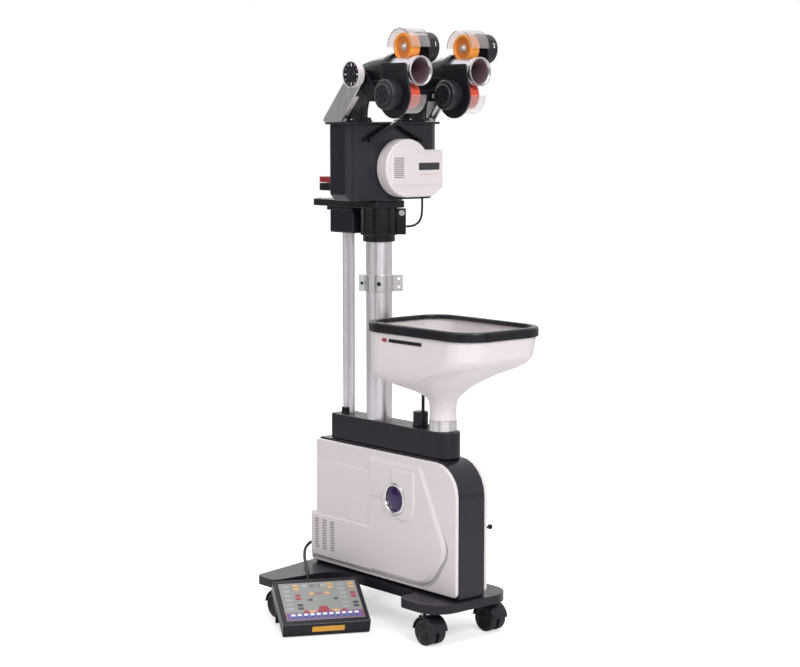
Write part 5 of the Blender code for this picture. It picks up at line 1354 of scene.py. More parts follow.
def make_casters():
    """Four twin-wheel casters: hood and stem on the swivel, wheels on the axle."""
    hood, tread = caster_hood(), caster_tread()
    top = FRAME_BOTTOM - GAP - CASTER_RADIUS
    for name, (across, ahead) in CASTER_PLACES.items():
        axle = at(across, ahead + CASTER_TRAIL, CASTER_RADIUS)
        place = Matrix.Translation(axle)
        cover = object_from(hood.data.copy(), place @ hood.matrix_world)
        body = "swivel_" + name
        piece(cover, "hood_" + name, GRAINED, body, ["caster_hood_" + name])
        foot = at(across, ahead, CASTER_RADIUS)
        steel = [
            (0, top), (STEM_RADIUS, top), (STEM_RADIUS, top - 0.003), (STEM_RADIUS + 0.0022, top - 0.003),
            (STEM_RADIUS + 0.0022, top - 0.0052), (STEM_RADIUS - 0.0012, top - 0.0056),
            (STEM_RADIUS - 0.0012, 0.008), (0, 0.008),
        ]
        stem = turned(steel, Matrix.Translation(foot), 40)
        piece(stem, "stem_" + name, CHROME, body)
        wheel = object_from(tread.data.copy(), place @ tread.matrix_world)
        body = "wheel_" + name
        wheel = piece(wheel, "tread_" + name, [TYRE, CAP], body, ["caster_wheel_" + name])
        inner = CASTER_RADIUS - CASTER_RIM
        paint(wheel, 1, lambda spot, way: abs(spot.x - across) > CASTER_WIDTH / 2 - 0.006
              and (spot - axle).yz.length < inner)
    for spare in (hood, tread):
        drop(spare)


def core_outline():
    """Side view of the body's core."""
    back = -CORE_TAIL
    low_back = back - CORE_STEP_BACK
    step = CORE_BOTTOM + CORE_STEP_UP
    return rounded([
        (low_back, CORE_BOTTOM, CORE_EDGE),
        (low_back, step - CORE_STEP_RISE, CORE_STEP_RISE),
        (back, step + CORE_STEP_RISE, CORE_STEP_RISE),
        (back, CORE_TOP, CORE_EDGE),
        (CORE_FRONT, CORE_TOP, CORE_CORNER),
        (CORE_FRONT, CORE_BOTTOM, CORE_EDGE),
    ])


def make_core():
    """The black body between the covers, open at its wheel pocket and ball bores."""
    core = side_slab(core_outline(), (-CORE_HALF, CORE_HALF))
    core = softened(core, 0.0012, 3)
    centre = at(0, FEED_AHEAD, FEED_UP)
    cut(core, bar_along(POCKET_RADIUS, centre, ACROSS, -CORE_HALF - OVER, CORE_HALF - POCKET_SIDE, FINE))
    cut(core, bar_along(FEED_SHAFT_RADIUS + SHAFT_GAP, centre, ACROSS, 0, CORE_HALF - FEED_WEB))
    for ahead in (0, BORE_SPACING):
        cut(core, bar_along(BORE_RADIUS, at(0, ahead, 0), UP, FEED_UP, CORE_TOP + OVER, MIDDLE))
    piece(core, "body_middle", CASING, "base", ["body_core"])


def drawn_in(corners, insets):
    """Corners of an outline whose edges, each from a corner to the next, have moved inwards."""
    count = len(corners)
    area = sum(a[0] * b[1] - b[0] * a[1] for a, b in zip(corners, corners[1:] + corners[:1]))
    turn = 1 if area > 0 else -1
    lines = []
    for n in range(count):
        a, b = Vector(corners[n][:2]), Vector(corners[(n + 1) % count][:2])
        way = (b - a).normalized()
        inward = Vector((-way.y, way.x)) * turn
        lines.append((a + inward * insets[n], way))
    made = []
    for n in range(count):
        (p, v), (q, w) = lines[n - 1], lines[n]
        cross = v.x * w.y - v.y * w.x
        share = ((q - p).x * w.y - (q - p).y * w.x) / cross
        spot = p + v * share
        radius = max(0.0008, corners[n][2] - (insets[n - 1] + insets[n]) / 2)
        made.append((spot.x, spot.y, radius))
    return made


def cover_outline():
    """Side view of a cover's shell."""
    step = CORE_BOTTOM + CORE_STEP_UP
    front = CORE_FRONT - COVER_NOSE
    return rounded([
        (COVER_LOW_BACK, COVER_BOTTOM, COVER_EDGE),
        (COVER_LOW_BACK, step - CORE_STEP_RISE, COVER_ROUND),
        (COVER_BACK, step + CORE_STEP_RISE, COVER_ROUND),
        (COVER_BACK, COVER_TOP, COVER_EDGE),
        (front, COVER_TOP, COVER_CORNER),
        (front, COVER_BOTTOM, COVER_EDGE + 0.004),
    ])


def rolled_field(corners, rolls, foot, face, side, ground=SHELL_FACE):
    """A raised field whose edges roll over, each by its own width, from the ground to its face."""
    levels = [(0.0, foot)]
    for share, rise in FIELD_ROLL:
        levels.append((share, ground - 0.0004 + (face - ground + 0.0004) * rise))
    sections = []
    for share, level in levels:
        outline = rounded(drawn_in(corners, [roll * share for roll in rolls]))
        place = side_frame(side * level)
        sections.append([place @ Vector((x, y, 0)) for x, y in outline])
    return loft(sections)


def make_cover(name, side, node):
    """One white side cover: shell, channel, rolled fields and, on the right, vents and lens seat."""
    step = CORE_BOTTOM + CORE_STEP_UP
    shell = side_slab(cover_outline(), sided(side, COVER_INNER, SHELL_FACE))
    cover = softened(shell, SEEN_COVER_ROLL, 6)
    front = CORE_FRONT - FIELD_FRONT
    low, high = COVER_BOTTOM + SEEN_FIELD_BOTTOM, COVER_TOP - FIELD_TOP
    floor = COVER_BOTTOM + CHANNEL_RIM
    channel = rounded([
        (COVER_LOW_BACK + CHANNEL_BACK_RIM, floor, 0.0030),
        (front - FIELD_SLOPE_FOOT + 0.010, floor, 0.062),
        (front + 0.0065, COVER_TOP - FIELD_SLOPE_BREAK, 0.034),
        (front - 0.060, COVER_TOP - 0.060, 0.004),
        (COVER_LOW_BACK + CHANNEL_BACK_RIM, low + 0.005, 0.0020),
    ])
    levels = sided(side, SHELL_FACE - CHANNEL_DEPTH, SHELL_FACE + LAP)
    cut(cover, side_slab(channel, levels))
    cover = tidy(cover)
    foot = SHELL_FACE - CHANNEL_DEPTH - 0.001
    upper = [
        (SEEN_FIELD_AHEAD, low, 0.0012),
        (front - FIELD_SLOPE_FOOT, low, 0.056),
        (front, COVER_TOP - FIELD_SLOPE_BREAK, 0.040),
        (front - FIELD_SLOPE_TOP, high, 0.014),
        (SEEN_FIELD_AHEAD, high, 0.005),
    ]
    join(cover, rolled_field(upper, UPPER_ROLLS, foot, PANEL_FACE, side))
    back = COVER_LOW_BACK + FIELD_MARGIN
    ends, levels = (back, SEEN_FIELD_AHEAD + 0.009), (low, step + 0.0015)
    lower = four(ends, levels, (0.0015, 0.0012, 0.0045, 0.003))
    join(cover, rolled_field(lower, LOWER_ROLLS, foot, PANEL_FACE + 0.0002, side))
    back = COVER_BACK + FIELD_MARGIN
    top = COVER_TOP - LETTER_FIELD_TOP
    ends, levels = (back, SEEN_FIELD_AHEAD + 0.004), (step - 0.006, top)
    letters = four(ends, levels, (0.0015, 0.0012, 0.004, 0.003))
    face = SHELL_FACE + LETTER_FIELD_FACE
    join(cover, rolled_field(letters, LETTER_ROLLS, foot, face, side))
    cover = tidy(cover)
    if side < 0:
        near, far = LENS_AHEAD + BOSS_AHEAD - BOSS_RADIUS, LENS_AHEAD + BOSS_AHEAD + BOSS_RADIUS
        floor, roof = LENS_UP - BOSS_DROP - BOSS_RADIUS, high - BOSS_TOP_DROP
        tongue = four((near, far), (floor, roof), (0.036, 0.036, 0.009, 0.009))
        face = PANEL_FACE + SEEN_BOSS_PROUD
        join(cover, rolled_field(tongue, BOSS_ROLLS, foot, face, side, PANEL_FACE))
        lens = at(0, LENS_AHEAD, LENS_UP)
        seat, out = PANEL_FACE - BEZEL_SEAT, PANEL_FACE + OVER
        cut(cover, bar_along(BEZEL_RADIUS + GAP, lens, -ACROSS, seat, out, FINE))
        slots = []
        levels = (-PANEL_FACE - LAP, -PANEL_FACE + VENT_DEPTH)
        for column in range(VENT_COLUMNS):
            first = SEEN_VENT_BACK + SEEN_VENT_STEP * column
            for n in range(SEEN_VENT_ROWS):
                up = SEEN_VENT_UP + SEEN_VENT_PITCH * n
                height = (up, up + SEEN_VENT_HEIGHT)
                slots.append(block(levels, (first, first + SEEN_VENT_LENGTH), height))
        cut(cover, one_mesh(slots))
        notch = LENS_UP - NOTCH_DROP
        wedge = [(NOTCH_BACK, notch - 0.0003), (NOTCH_BACK, notch + 0.0003),
                 (LENS_AHEAD - BEZEL_RADIUS + 0.002, notch + 0.0011),
                 (LENS_AHEAD - BEZEL_RADIUS + 0.002, notch - 0.0011)]
        cut(cover, side_slab(wedge, (-PANEL_FACE - LAP, -PANEL_FACE + 0.0009)))
    cover = piece(cover, name, [WHITE, CHANNEL_SHADE_GREY, SLOT_SHADE_GREY], "base", [node])
    # The channel floor takes the grey: painted shade in the recess.
    sunk = SHELL_FACE - CHANNEL_DEPTH
    paint(cover, 1, lambda spot, way: abs(way.x) > 0.9 and abs(abs(spot.x) - sunk) < 0.0003)
    # The vent floors take the grey: painted shade in the slots.
    floor_level = PANEL_FACE - VENT_DEPTH
    paint(cover, 2, lambda spot, way: side < 0 and spot.y > 0.075 and spot.z < step - 0.008
          and abs(spot.x + floor_level) < 0.0004 and abs(way.x) > 0.9)


def make_lens():
    """The round violet window in the right cover, its bright ring, and the left cover's dark nub."""
    seat = PANEL_FACE - BEZEL_SEAT + GAP
    face = PANEL_FACE + BEZEL_DEPTH
    place = axis_frame(-ACROSS, at(0, LENS_AHEAD, LENS_UP))
    inner, outer = LENS_RADIUS - BEZEL_LIP, BEZEL_RADIUS
    ring = [(inner, seat + BEZEL_FLOOR), (LENS_RADIUS + GAP, seat + BEZEL_FLOOR),
            (LENS_RADIUS + GAP, face - 0.0026), (LENS_RADIUS + 0.0010, face - 0.0010)]
    middle = (LENS_RADIUS + 0.001 + outer) / 2
    reach = outer - middle
    for n in range(1, 12):
        angle = math.radians(180 - 15 * n)
        ring.append((middle + reach * math.cos(angle), face - 0.0012 + 0.0012 * math.sin(angle)))
    ring += [(outer, face - 0.0022), (outer, seat), (inner, seat)]
    piece(turned(ring, place, FINE), "lens_ring", CHROME, "base", ["lens_bezel"])
    rest = seat + BEZEL_FLOOR + GAP
    crown = face - LENS_DROP
    glass = []
    for n in range(13):
        share = n / 12
        glass.append((LENS_RADIUS * share, crown - LENS_CROWN * share ** 2.4))
    glass += [(LENS_RADIUS, rest), (0, rest)]
    piece(turned(glass, place, FINE), "lens_glass", VIOLET, "base", ["cover_lens"])
    nub = [
        (0, 0.0215), (0.0030, 0.0215), (0.0044, 0.0205), (0.0048, 0.0190), (0.0048, 0.0160),
        (0.0026, 0.0150), (0.0026, 0.0005), (0, 0.0005),
    ]
    place = axis_frame(ACROSS, at(CORE_HALF + COVER_SHELL - 0.0015, NUB_AHEAD, NUB_UP))
    piece(turned(nub, place, 40), "side_nub", DARK_STEEL, "base")


def make_tank():
    """The black housing on the body that holds the mast, with a grommet for a conduit."""
    front, back = BORE_SPACING + TANK_NOSE, -TANK_TAIL
    outline = arc((0, front), TANK_HALF, 0, 180, 40)
    outline += arc((-TANK_HALF + TANK_CORNER, back + TANK_CORNER), TANK_CORNER, 180, 270, 8)
    outline += arc((TANK_HALF - TANK_CORNER, back + TANK_CORNER), TANK_CORNER, 270, 360, 8)
    tank = softened(plan_slab(outline, (TANK_BOTTOM, TANK_TOP)), 0.0020, 4)
    for ahead in (0, BORE_SPACING):
        cut(tank, bar_along(BORE_RADIUS, at(0, ahead, 0), UP, TANK_BOTTOM - OVER, TANK_TOP + OVER, MIDDLE))
    cut(tank, bar_along(MAST_HOLE, at(0, 0, 0), UP, TANK_TOP - MAST_SEAT, TANK_TOP + OVER, FINE))
    piece(tank, "tank_shell", BLACK, "base", ["tank_housing"])
    base = TANK_TOP - 0.0005
    top = base + GROMMET_HEIGHT
    r, inner = GROMMET_RADIUS, CONDUIT_RADIUS + GAP
    ring = [
        (r - 0.0004, top), (r + 0.0006, top - 0.001), (r + 0.0006, base + 0.0020),
        (r + 0.0018, base + 0.0010), (r + 0.0018, base), (inner, base), (inner, top),
    ]
    place = Matrix.Translation(at(0, CONDUIT_REAR_AHEAD, 0))
    piece(turned(ring, place, 48), "conduit_grommet", RUBBER, "base")


def make_mast():
    """The brushed mast tube and the two bright conduits behind it."""
    edge = 0.0006
    ring = [
        (MAST_RADIUS - edge, MAST_TOP), (MAST_RADIUS, MAST_TOP - edge), (MAST_RADIUS, MAST_BOTTOM),
        (MAST_INNER, MAST_BOTTOM), (MAST_INNER, MAST_TOP),
    ]
    mast = turned(ring, Matrix.Identity(4), FINE)
    piece(mast, "mast", MAST_METAL, "base", ["mast_tube"])
    top = SUPPORT_BOTTOM - MOTOR_BOX_HEIGHT - 2 * GAP
    for name, ahead in (("front", CONDUIT_FRONT_AHEAD), ("rear", CONDUIT_REAR_AHEAD)):
        low = TANK_TOP + GAP
        wall = [(0, top), (CONDUIT_RADIUS - 0.0004, top), (CONDUIT_RADIUS, top - 0.0004),
                (CONDUIT_RADIUS, low + 0.0004), (CONDUIT_RADIUS - 0.0004, low), (0, low)]
        bar = turned(wall, Matrix.Translation(at(0, ahead, 0)), 56)
        piece(bar, name + "_conduit", MAST_METAL, "base", ["conduit_" + name])


def station(share):
    """How far the bowl's back, front and sides have opened at a share of its height."""
    for lower, upper in zip(BOWL_STATIONS, BOWL_STATIONS[1:]):
        if share <= upper[0]:
            part = (share - lower[0]) / (upper[0] - lower[0])
            return [a + (b - a) * part for a, b in zip(lower[1:], upper[1:])]
    return list(BOWL_STATIONS[-1][1:])


def bowl_section(up, opened, inset, sides=BOWL_SIDES):
    """One level of the bowl as a ring of points, with its wall set in by inset."""
    back, front, wide = opened
    neck = NECK_RADIUS - inset
    half = neck + (BOWL_HALF_WIDTH - inset - neck) * wide
    ahead = BORE_SPACING + neck + (BOWL_FRONT_REACH - inset - neck) * front
    behind = BORE_SPACING - neck - (BOWL_BACK_REACH - inset - neck) * back
    middle = (ahead + behind) / 2
    reach = (ahead - behind) / 2
    corner = min(half, reach, neck + (BOWL_CORNER - inset - neck) * wide ** 0.6)
    points = []
    for n in range(sides):
        angle = math.tau * (n + 0.5) / sides
        x = math.copysign(half - corner, math.cos(angle)) + corner * math.cos(angle)
        y = math.copysign(reach - corner, math.sin(angle)) + corner * math.sin(angle)
        points.append(at(x, middle + y, up))
    return points


def make_bowl():
    """The white ball bowl, its thick black rim and a bare dark label strip."""
    top = RIM_TOP - RIM_IN
    shares = [n / BOWL_LEVELS for n in range(BOWL_LEVELS + 1)]
    outside, inside = [], []
    for share in shares:
        up = NECK_BOTTOM + (top - NECK_BOTTOM) * share
        low = station(max(0, share - 0.02))
        high = station(min(1, share + 0.02))
        opened = [(a + b + 2 * c) / 4 for a, b, c in zip(low, high, station(share))]
        lift = 0.8 * BOWL_WALL * min(1, max(0, (share - 0.12) / 0.06))
        lift *= min(1, max(0, (0.66 - share) / 0.06))
        outside.append(bowl_section(up, opened, 0))
        inside.append(bowl_section(up + lift, opened, BOWL_WALL))
    bowl = piece(loft(outside + inside[::-1], True), "bowl_shell", [BOWL_WHITE, BOWL_INSIDE_SHADE],
                 "base", ["hopper_bowl"])
    # The inner faces take the darker copy: painted shade inside the bowl.
    first = len(outside) * BOWL_SIDES
    for face in bowl.data.polygons:
        if face.index >= first - BOWL_SIDES:
            face.material_index = 1
    make_label()
    full = [1, 1, 1]
    inner = -BOWL_WALL - GAP
    wall_top = RIM_TOP - RIM_IN + GAP
    low = RIM_TOP - RIM_HEIGHT
    loops = [
        (GAP, low), (RIM_OUT - 0.0012, low), (RIM_OUT - 0.0003, low + 0.0004),
        (RIM_OUT, low + 0.0014), (RIM_OUT, RIM_TOP - RIM_ROUND),
    ]
    loops += arc((RIM_OUT - RIM_ROUND, RIM_TOP - RIM_ROUND), RIM_ROUND, 0, 90, 7)[1:]
    loops += arc((inner - 0.0020, RIM_TOP - RIM_INNER_ROUND), RIM_INNER_ROUND, 90, 180, 7)
    loops += [(inner - 0.0045, wall_top - 0.004), (inner, wall_top - 0.0045)]
    loops += [(inner, wall_top), (GAP, wall_top)]
    skins = []
    for out, up in loops:
        ring = bowl_section(up, full, 0)
        half = BOWL_HALF_WIDTH - BOWL_CORNER
        middle = BORE_SPACING + (BOWL_FRONT_REACH - BOWL_BACK_REACH) / 2
        reach = (BOWL_FRONT_REACH + BOWL_BACK_REACH) / 2 - BOWL_CORNER
        made = []
        for point in ring:
            x = max(-half, min(half, point.x))
            ahead = max(middle - reach, min(middle + reach, -point.y))
            corner = at(x, ahead, up)
            made.append(corner + (point - corner).normalized() * (BOWL_CORNER + out))
        skins.append(made)
    piece(loft(skins, True), "bowl_rim", RIM_RUBBER, "base", ["hopper_rim"])


def make_label():
    """The bare strip under the rim on the bowl's right side, dark with one short red end."""
    face = -BOWL_HALF_WIDTH
    strips = (("bowl_strip", BLACK, STRIP_AHEAD), ("bowl_strip_end", KEY_RED, STRIP_END_AHEAD))
    for name, look, ends in strips:
        outline = rounded(four(ends, STRIP_UP, 4 * (0.001,)))
        strip = side_slab(outline, (face - 0.0004, face + 0.0010))
        piece(strip, name, look, "base")


def make_bowl_fittings():
    """The bright socket under the bowl's neck, and the post with its thin rod."""
    inner = BORE_RADIUS + SOCKET_SLACK
    outer = inner + SOCKET_WALL
    high, low = SOCKET_TOP, SOCKET_BOTTOM
    ring = [
        (outer - 0.0006, high), (outer, high - 0.0006), (outer, high - 0.0052),
        (outer - 0.0007, high - 0.0056), (outer - 0.0007, high - 0.0066), (outer, high - 0.0070),
        (outer, low + 0.0006), (outer - 0.0006, low), (inner, low), (inner, high),
    ]
    place = Matrix.Translation(at(0, BORE_SPACING, 0))
    piece(turned(ring, place, FINE), "bowl_socket", BRIGHT, "base", ["hopper_socket"])
    base = at(0, STAY_AHEAD, TANK_TOP + GAP)
    top = STAY_HEIGHT
    wall = [(0, top), (STAY_RADIUS - 0.0022, top)]
    wall += arc((STAY_RADIUS - CAP_ROUND, top - CAP_ROUND), CAP_ROUND, 90, 0, 6)[1:]
    wall += [(STAY_RADIUS, 0.0042), (STAY_RADIUS + 0.0008, 0.0032), (STAY_RADIUS + 0.0008, 0), (0, 0)]
    piece(turned(wall, Matrix.Translation(base), MIDDLE), "bowl_post", BLACK, "base",
          ["hopper_stay"])
    reach = BORE_SPACING - STAY_AHEAD - STAY_ROD_SHIFT - STAY_ROD_RADIUS
    wanted = (reach - NECK_RADIUS) / (BOWL_BACK_REACH - NECK_RADIUS)
    share = next(n / 400 for n in range(60, 400) if station(n / 400)[0] > wanted)
    foot = base + AHEAD * STAY_ROD_SHIFT + UP * (STAY_HEIGHT - LAP)
    tip = NECK_BOTTOM + (RIM_TOP - RIM_IN - NECK_BOTTOM) * share - STAY_ROD_GAP
    bar = rod(STAY_ROD_RADIUS, foot, Vector((foot.x, foot.y, tip)), SMALL)
    piece(softened(bar, 0.0004, 2), "post_rod", DARK_STEEL, "base")


def turned_block(angle, along, aside, up):
    """A block in a plan turned by angle from across towards ahead."""
    way = heading(angle)
    place = frame_of(way, UP.cross(way), Vector((0, 0, 0)))
    return box((along[0], aside[0], up[0]), (along[1], aside[1], up[1]), place)


def make_clamp():
    """The bright clamp halfway up the mast, with its screw and its drilled plate."""
    low = MAST_BOTTOM + CLAMP_UP
    high = low + CLAMP_HEIGHT
    outer = MAST_HOLE + CLAMP_WALL
    ring = sleeve(outer, MAST_HOLE, low, high, 0.0005)
    clamp = settled(turned(ring, Matrix.Identity(4), FINE))
    root = MAST_HOLE + CLAMP_WALL / 3
    ear = (-CLAMP_EAR_HALF, CLAMP_EAR_HALF)
    plate = (-CLAMP_PLATE_HALF, CLAMP_PLATE_HALF)
    away = EAR_ANGLE + math.pi
    ear_block = turned_block(away, (root, CLAMP_EAR), ear, (low, high))
    join(clamp, softened(ear_block, 0.0010, 3))
    flag = turned_block(EAR_ANGLE, (root, CLAMP_PLATE), plate, (low, high))
    join(clamp, softened(flag, 0.0006, 3))
    way = heading(EAR_ANGLE)
    side = UP.cross(way)
    for up in (low + CLAMP_HOLE_IN, high - CLAMP_HOLE_IN):
        hole = way * (CLAMP_PLATE - CLAMP_HOLE_IN) + UP * up
        cut(clamp, bar_along(CLAMP_HOLE_RADIUS, hole, side, -OVER, OVER, 32))
    half = CLAMP_SLIT / 2
    levels = (low - OVER, high + OVER)
    cut(clamp, turned_block(away, (MAST_HOLE - LAP, CLAMP_EAR + LAP), (-half, half), levels))
    piece(clamp, "mast_clip", BRIGHT, "base", ["mast_clamp"])
    middle = -way * (CLAMP_EAR - 0.0062) + UP * (low + high) / 2
    for name, end in (("clip_bolt_near", 1), ("clip_bolt_far", -1)):
        spot = middle + side * end * CLAMP_EAR_HALF
        piece(hex_head(0.0034, 0.0024, spot, side * end), name, DARK_STEEL, "base")
    face = low + CLAMP_HEIGHT / 2
    looking = CAMERA_TURN + math.radians(90)
    seen = Vector((math.cos(looking), math.sin(looking), 0)) * -1
    spot = seen * outer + UP * face
    piece(screw_head(0.0042, spot, seen, 0.0018), "clip_screw", DARK_STEEL, "base")


def hex_head(radius, height, place, way):
    """A six-sided bolt head with a domed top, standing on a surface."""
    head = bar_along(radius, place, way, -0.0004, height, 6)
    head = softened(head, radius * 0.10, 2)
    dome = [(0, height + 0.0003), (radius * 0.7, height + 0.0002), (radius * 0.84, height - 0.0005),
            (radius * 0.84, 0.0002), (0, 0.0002)]
    return join(head, settled(turned(dome, axis_frame(way, place), 32)))


def make_collar():
    """The glossy split collar that carries the support plate, with its two bolts."""
    low = COLLAR_TOP - COLLAR_FOOT - COLLAR_HEIGHT
    step = COLLAR_TOP - COLLAR_HEIGHT
    foot, wide = COLLAR_FOOT_RADIUS, COLLAR_RADIUS
    ring = [
        (wide - 0.0005, COLLAR_TOP), (wide, COLLAR_TOP - 0.0005), (wide, COLLAR_TOP - 0.012),
        (wide - 0.0006, COLLAR_TOP - 0.0125), (wide - 0.0006, COLLAR_TOP - 0.0135),
        (wide, COLLAR_TOP - 0.0140), (wide, step + 0.0024), (wide - 0.0007, step + 0.0007),
        (wide - 0.0024, step), (foot + 0.0008, step), (foot, step - 0.0008), (foot, low + 0.0012),
        (foot - 0.0012, low), (MAST_HOLE, low), (MAST_HOLE, COLLAR_TOP),
    ]
    collar = settled(turned(ring, Matrix.Identity(4), FINE))
    aside = (-COLLAR_EAR_HALF, COLLAR_EAR_HALF)
    levels = (step + 0.001, COLLAR_TOP - 0.001)
    ear = turned_block(EAR_ANGLE, (MAST_HOLE + 0.004, COLLAR_EAR), aside, levels)
    join(collar, softened(ear, 0.0022, 4))
    half = COLLAR_SLIT / 2
    slit = (MAST_HOLE - LAP, COLLAR_EAR + LAP)
    cut(collar, turned_block(EAR_ANGLE, slit, (-half, half), (low - OVER, COLLAR_TOP + OVER)))
    piece(collar, "turning_collar", GLOSS_BLACK, "base", ["pan_collar"])
    way = heading(EAR_ANGLE)
    side = UP.cross(way)
    bolts = ((1, COLLAR_TOP - 0.0095, 0.0058, CHROME), (2, step + 0.0120, 0.0034, DARK_STEEL))
    for n, up, size, look in bolts:
        spot = way * (COLLAR_EAR - 0.0085) + UP * up - side * COLLAR_EAR_HALF
        bolt = socket_screw(size, 0.0032, spot, -side)
        piece(bolt, "collar_bolt_%d" % n, look, "base")


def socket_screw(radius, height, place, way):
    """A round screw head with a six-sided socket in it."""
    wall = [
        (0, height), (radius - 0.0005, height), (radius, height - 0.0005), (radius, -0.0004),
        (0, -0.0004),
    ]
    head = settled(turned(wall, axis_frame(way, place), 40))
    return cut(head, rod(radius * 0.5, place + way * height * 0.45, place + way * (height + LAP), 6))


def make_support():
    """The plate on top of the mast and the finned pan motor's box under it."""
    half = SUPPORT_HALF
    radii = (0.006, 0.006, 0.012, 0.012)
    outline = rounded(four((-half, half), (SUPPORT_BACK, SUPPORT_FRONT), radii))
    plate = plan_slab(outline, (SUPPORT_BOTTOM, MAST_TOP))
    plate = softened(plate, 0.0018, 4)
    cut(plate, bar_along(MAST_HOLE, at(0, 0, 0), UP, SUPPORT_BOTTOM - OVER, MAST_TOP + OVER, FINE))
    piece(plate, "support_slab", DARK_STEEL, "base", ["support_plate"])
    sides = (-half + 0.009, half - 0.009)
    spots = [at(x, SUPPORT_BACK + ahead, MAST_TOP) for x in sides for ahead in (0.010, 0.060)]
    heads = (socket_screw(0.0036, 0.0022, spot, UP) for spot in spots)
    numbered("support_screw_%d", heads, CHROME, "base")
    top = SUPPORT_BOTTOM - GAP
    low = top - MOTOR_BOX_HEIGHT
    half = MOTOR_BOX_HALF
    ahead = (MOTOR_BOX_BACK, MOTOR_BOX_FRONT)
    body = block((-half, half), ahead, (low, top - MOTOR_BOX_FLANGE + 0.001))
    body = softened(body, 0.0036, 4)
    wide = half + MOTOR_BOX_LIP
    levels = (top - MOTOR_BOX_FLANGE, top)
    lip = block((-wide, wide), (MOTOR_BOX_BACK - MOTOR_BOX_LIP, MOTOR_BOX_FRONT), levels)
    join(body, softened(lip, 0.0012, 3))
    grooves = []
    inset, deep = 0.008, 0.0010
    for k in range(5):
        up = low + inset + 0.0065 * k
        levels = (up, up + 0.0028)
        for side in (-1, 1):
            across = sided(side, half - deep, half + OVER)
            grooves.append(block(across, (ahead[0] + inset, ahead[1] - inset), levels))
        back = (ahead[0] - OVER, ahead[0] + deep)
        grooves.append(block((-half + inset, half - inset), back, levels))
    cut(body, one_mesh(grooves))
    piece(body, "motor_case", CASING, "base", ["pan_motor_box"])


def make_box():
    """The dark box that turns on the mast, with its foot ring, flange, seam and low caps."""
    half, depth = BOX_HALF, BOX_CHAMFER_AHEAD

    def level(up, reach):
        inner = reach - BOX_CHAMFER_ACROSS
        edge = [
            (reach, BOX_BACK + depth), (reach, BOX_FRONT - depth), (inner, BOX_FRONT),
            (-inner, BOX_FRONT), (-reach, BOX_FRONT - depth), (-reach, BOX_BACK + depth),
            (-inner, BOX_BACK), (inner, BOX_BACK),
        ]
        return [at(x, ahead, up) for x, ahead in edge]

    bottom = level(BOX_BOTTOM, half - BOX_BEVEL_UP)
    shell = loft([bottom, level(BOX_BOTTOM + BOX_BEVEL_UP, half), level(BOX_TOP + 0.001, half)])
    shell = softened(shell, 0.0026, 4, 20)
    wide = half + FLANGE_LIP
    front, back = BOX_FRONT + FLANGE_LIP, BOX_BACK - FLANGE_LIP
    lip = rounded([(wide, back, 0.006), (wide, front, 0.006), (-wide, front, 0.006), (-wide, back, 0.006)])
    join(shell, softened(plan_slab(lip, (BOX_TOP, FLANGE_TOP)), 0.0013, 3))
    join(shell, bar_along(BOX_FOOT_RADIUS, at(0, 0, MAST_TOP + GAP), UP, 0, BOX_FOOT + LAP, FINE))
    levels = [BOX_BOTTOM + up for up in BOX_SEAM]
    seam = block((-half - OVER, -half + 0.0008), (BOX_BACK - OVER, BOX_FRONT + OVER), levels)
    cut(shell, seam)
    piece(shell, "box_shell", CASING, "pan", ["ball_box"])
    wall = [(0, CAP_HEIGHT), (CAP_RADIUS - CAP_ROUND, CAP_HEIGHT)]
    wall += arc((CAP_RADIUS - CAP_ROUND, CAP_HEIGHT - CAP_ROUND), CAP_ROUND, 90, 0, 6)[1:]
    wall += [(CAP_RADIUS, 0.0004), (0, 0.0004)]
    spots = [at(x, CAP_AHEAD, FLANGE_TOP - 0.0008) for x in (-CAP_ACROSS, CAP_ACROSS)]
    caps = (turned(wall, Matrix.Translation(spot), MIDDLE) for spot in spots)
    numbered("top_cap_%d", caps, BLACK, "pan")


def housing_outline(inset):
    """The front housing's outline, a disc with a squared wing, drawn in by inset."""
    x, up = HOUSING_ACROSS, BOX_BOTTOM + HOUSING_UP
    r = HOUSING_RADIUS - inset
    top = HOUSING_WING_TOP - inset
    reach = x + HOUSING_REACH - inset
    meet = math.degrees(math.asin(top / r))
    outline = arc((x, up), r, 270, meet, 64)
    outline += rounded([
        (x + r * math.cos(math.radians(meet)), up + top, 0),
        (reach, up + top, 0.007 - inset * 0.5),
        (reach, up - r + 0.0165, 0.006), (reach - 0.0135, up - r + 0.0095, 0.012),
        (reach - 0.025, up - r, 0.010), (x + 0.004, up - r, 0),
    ])[1:]
    return outline


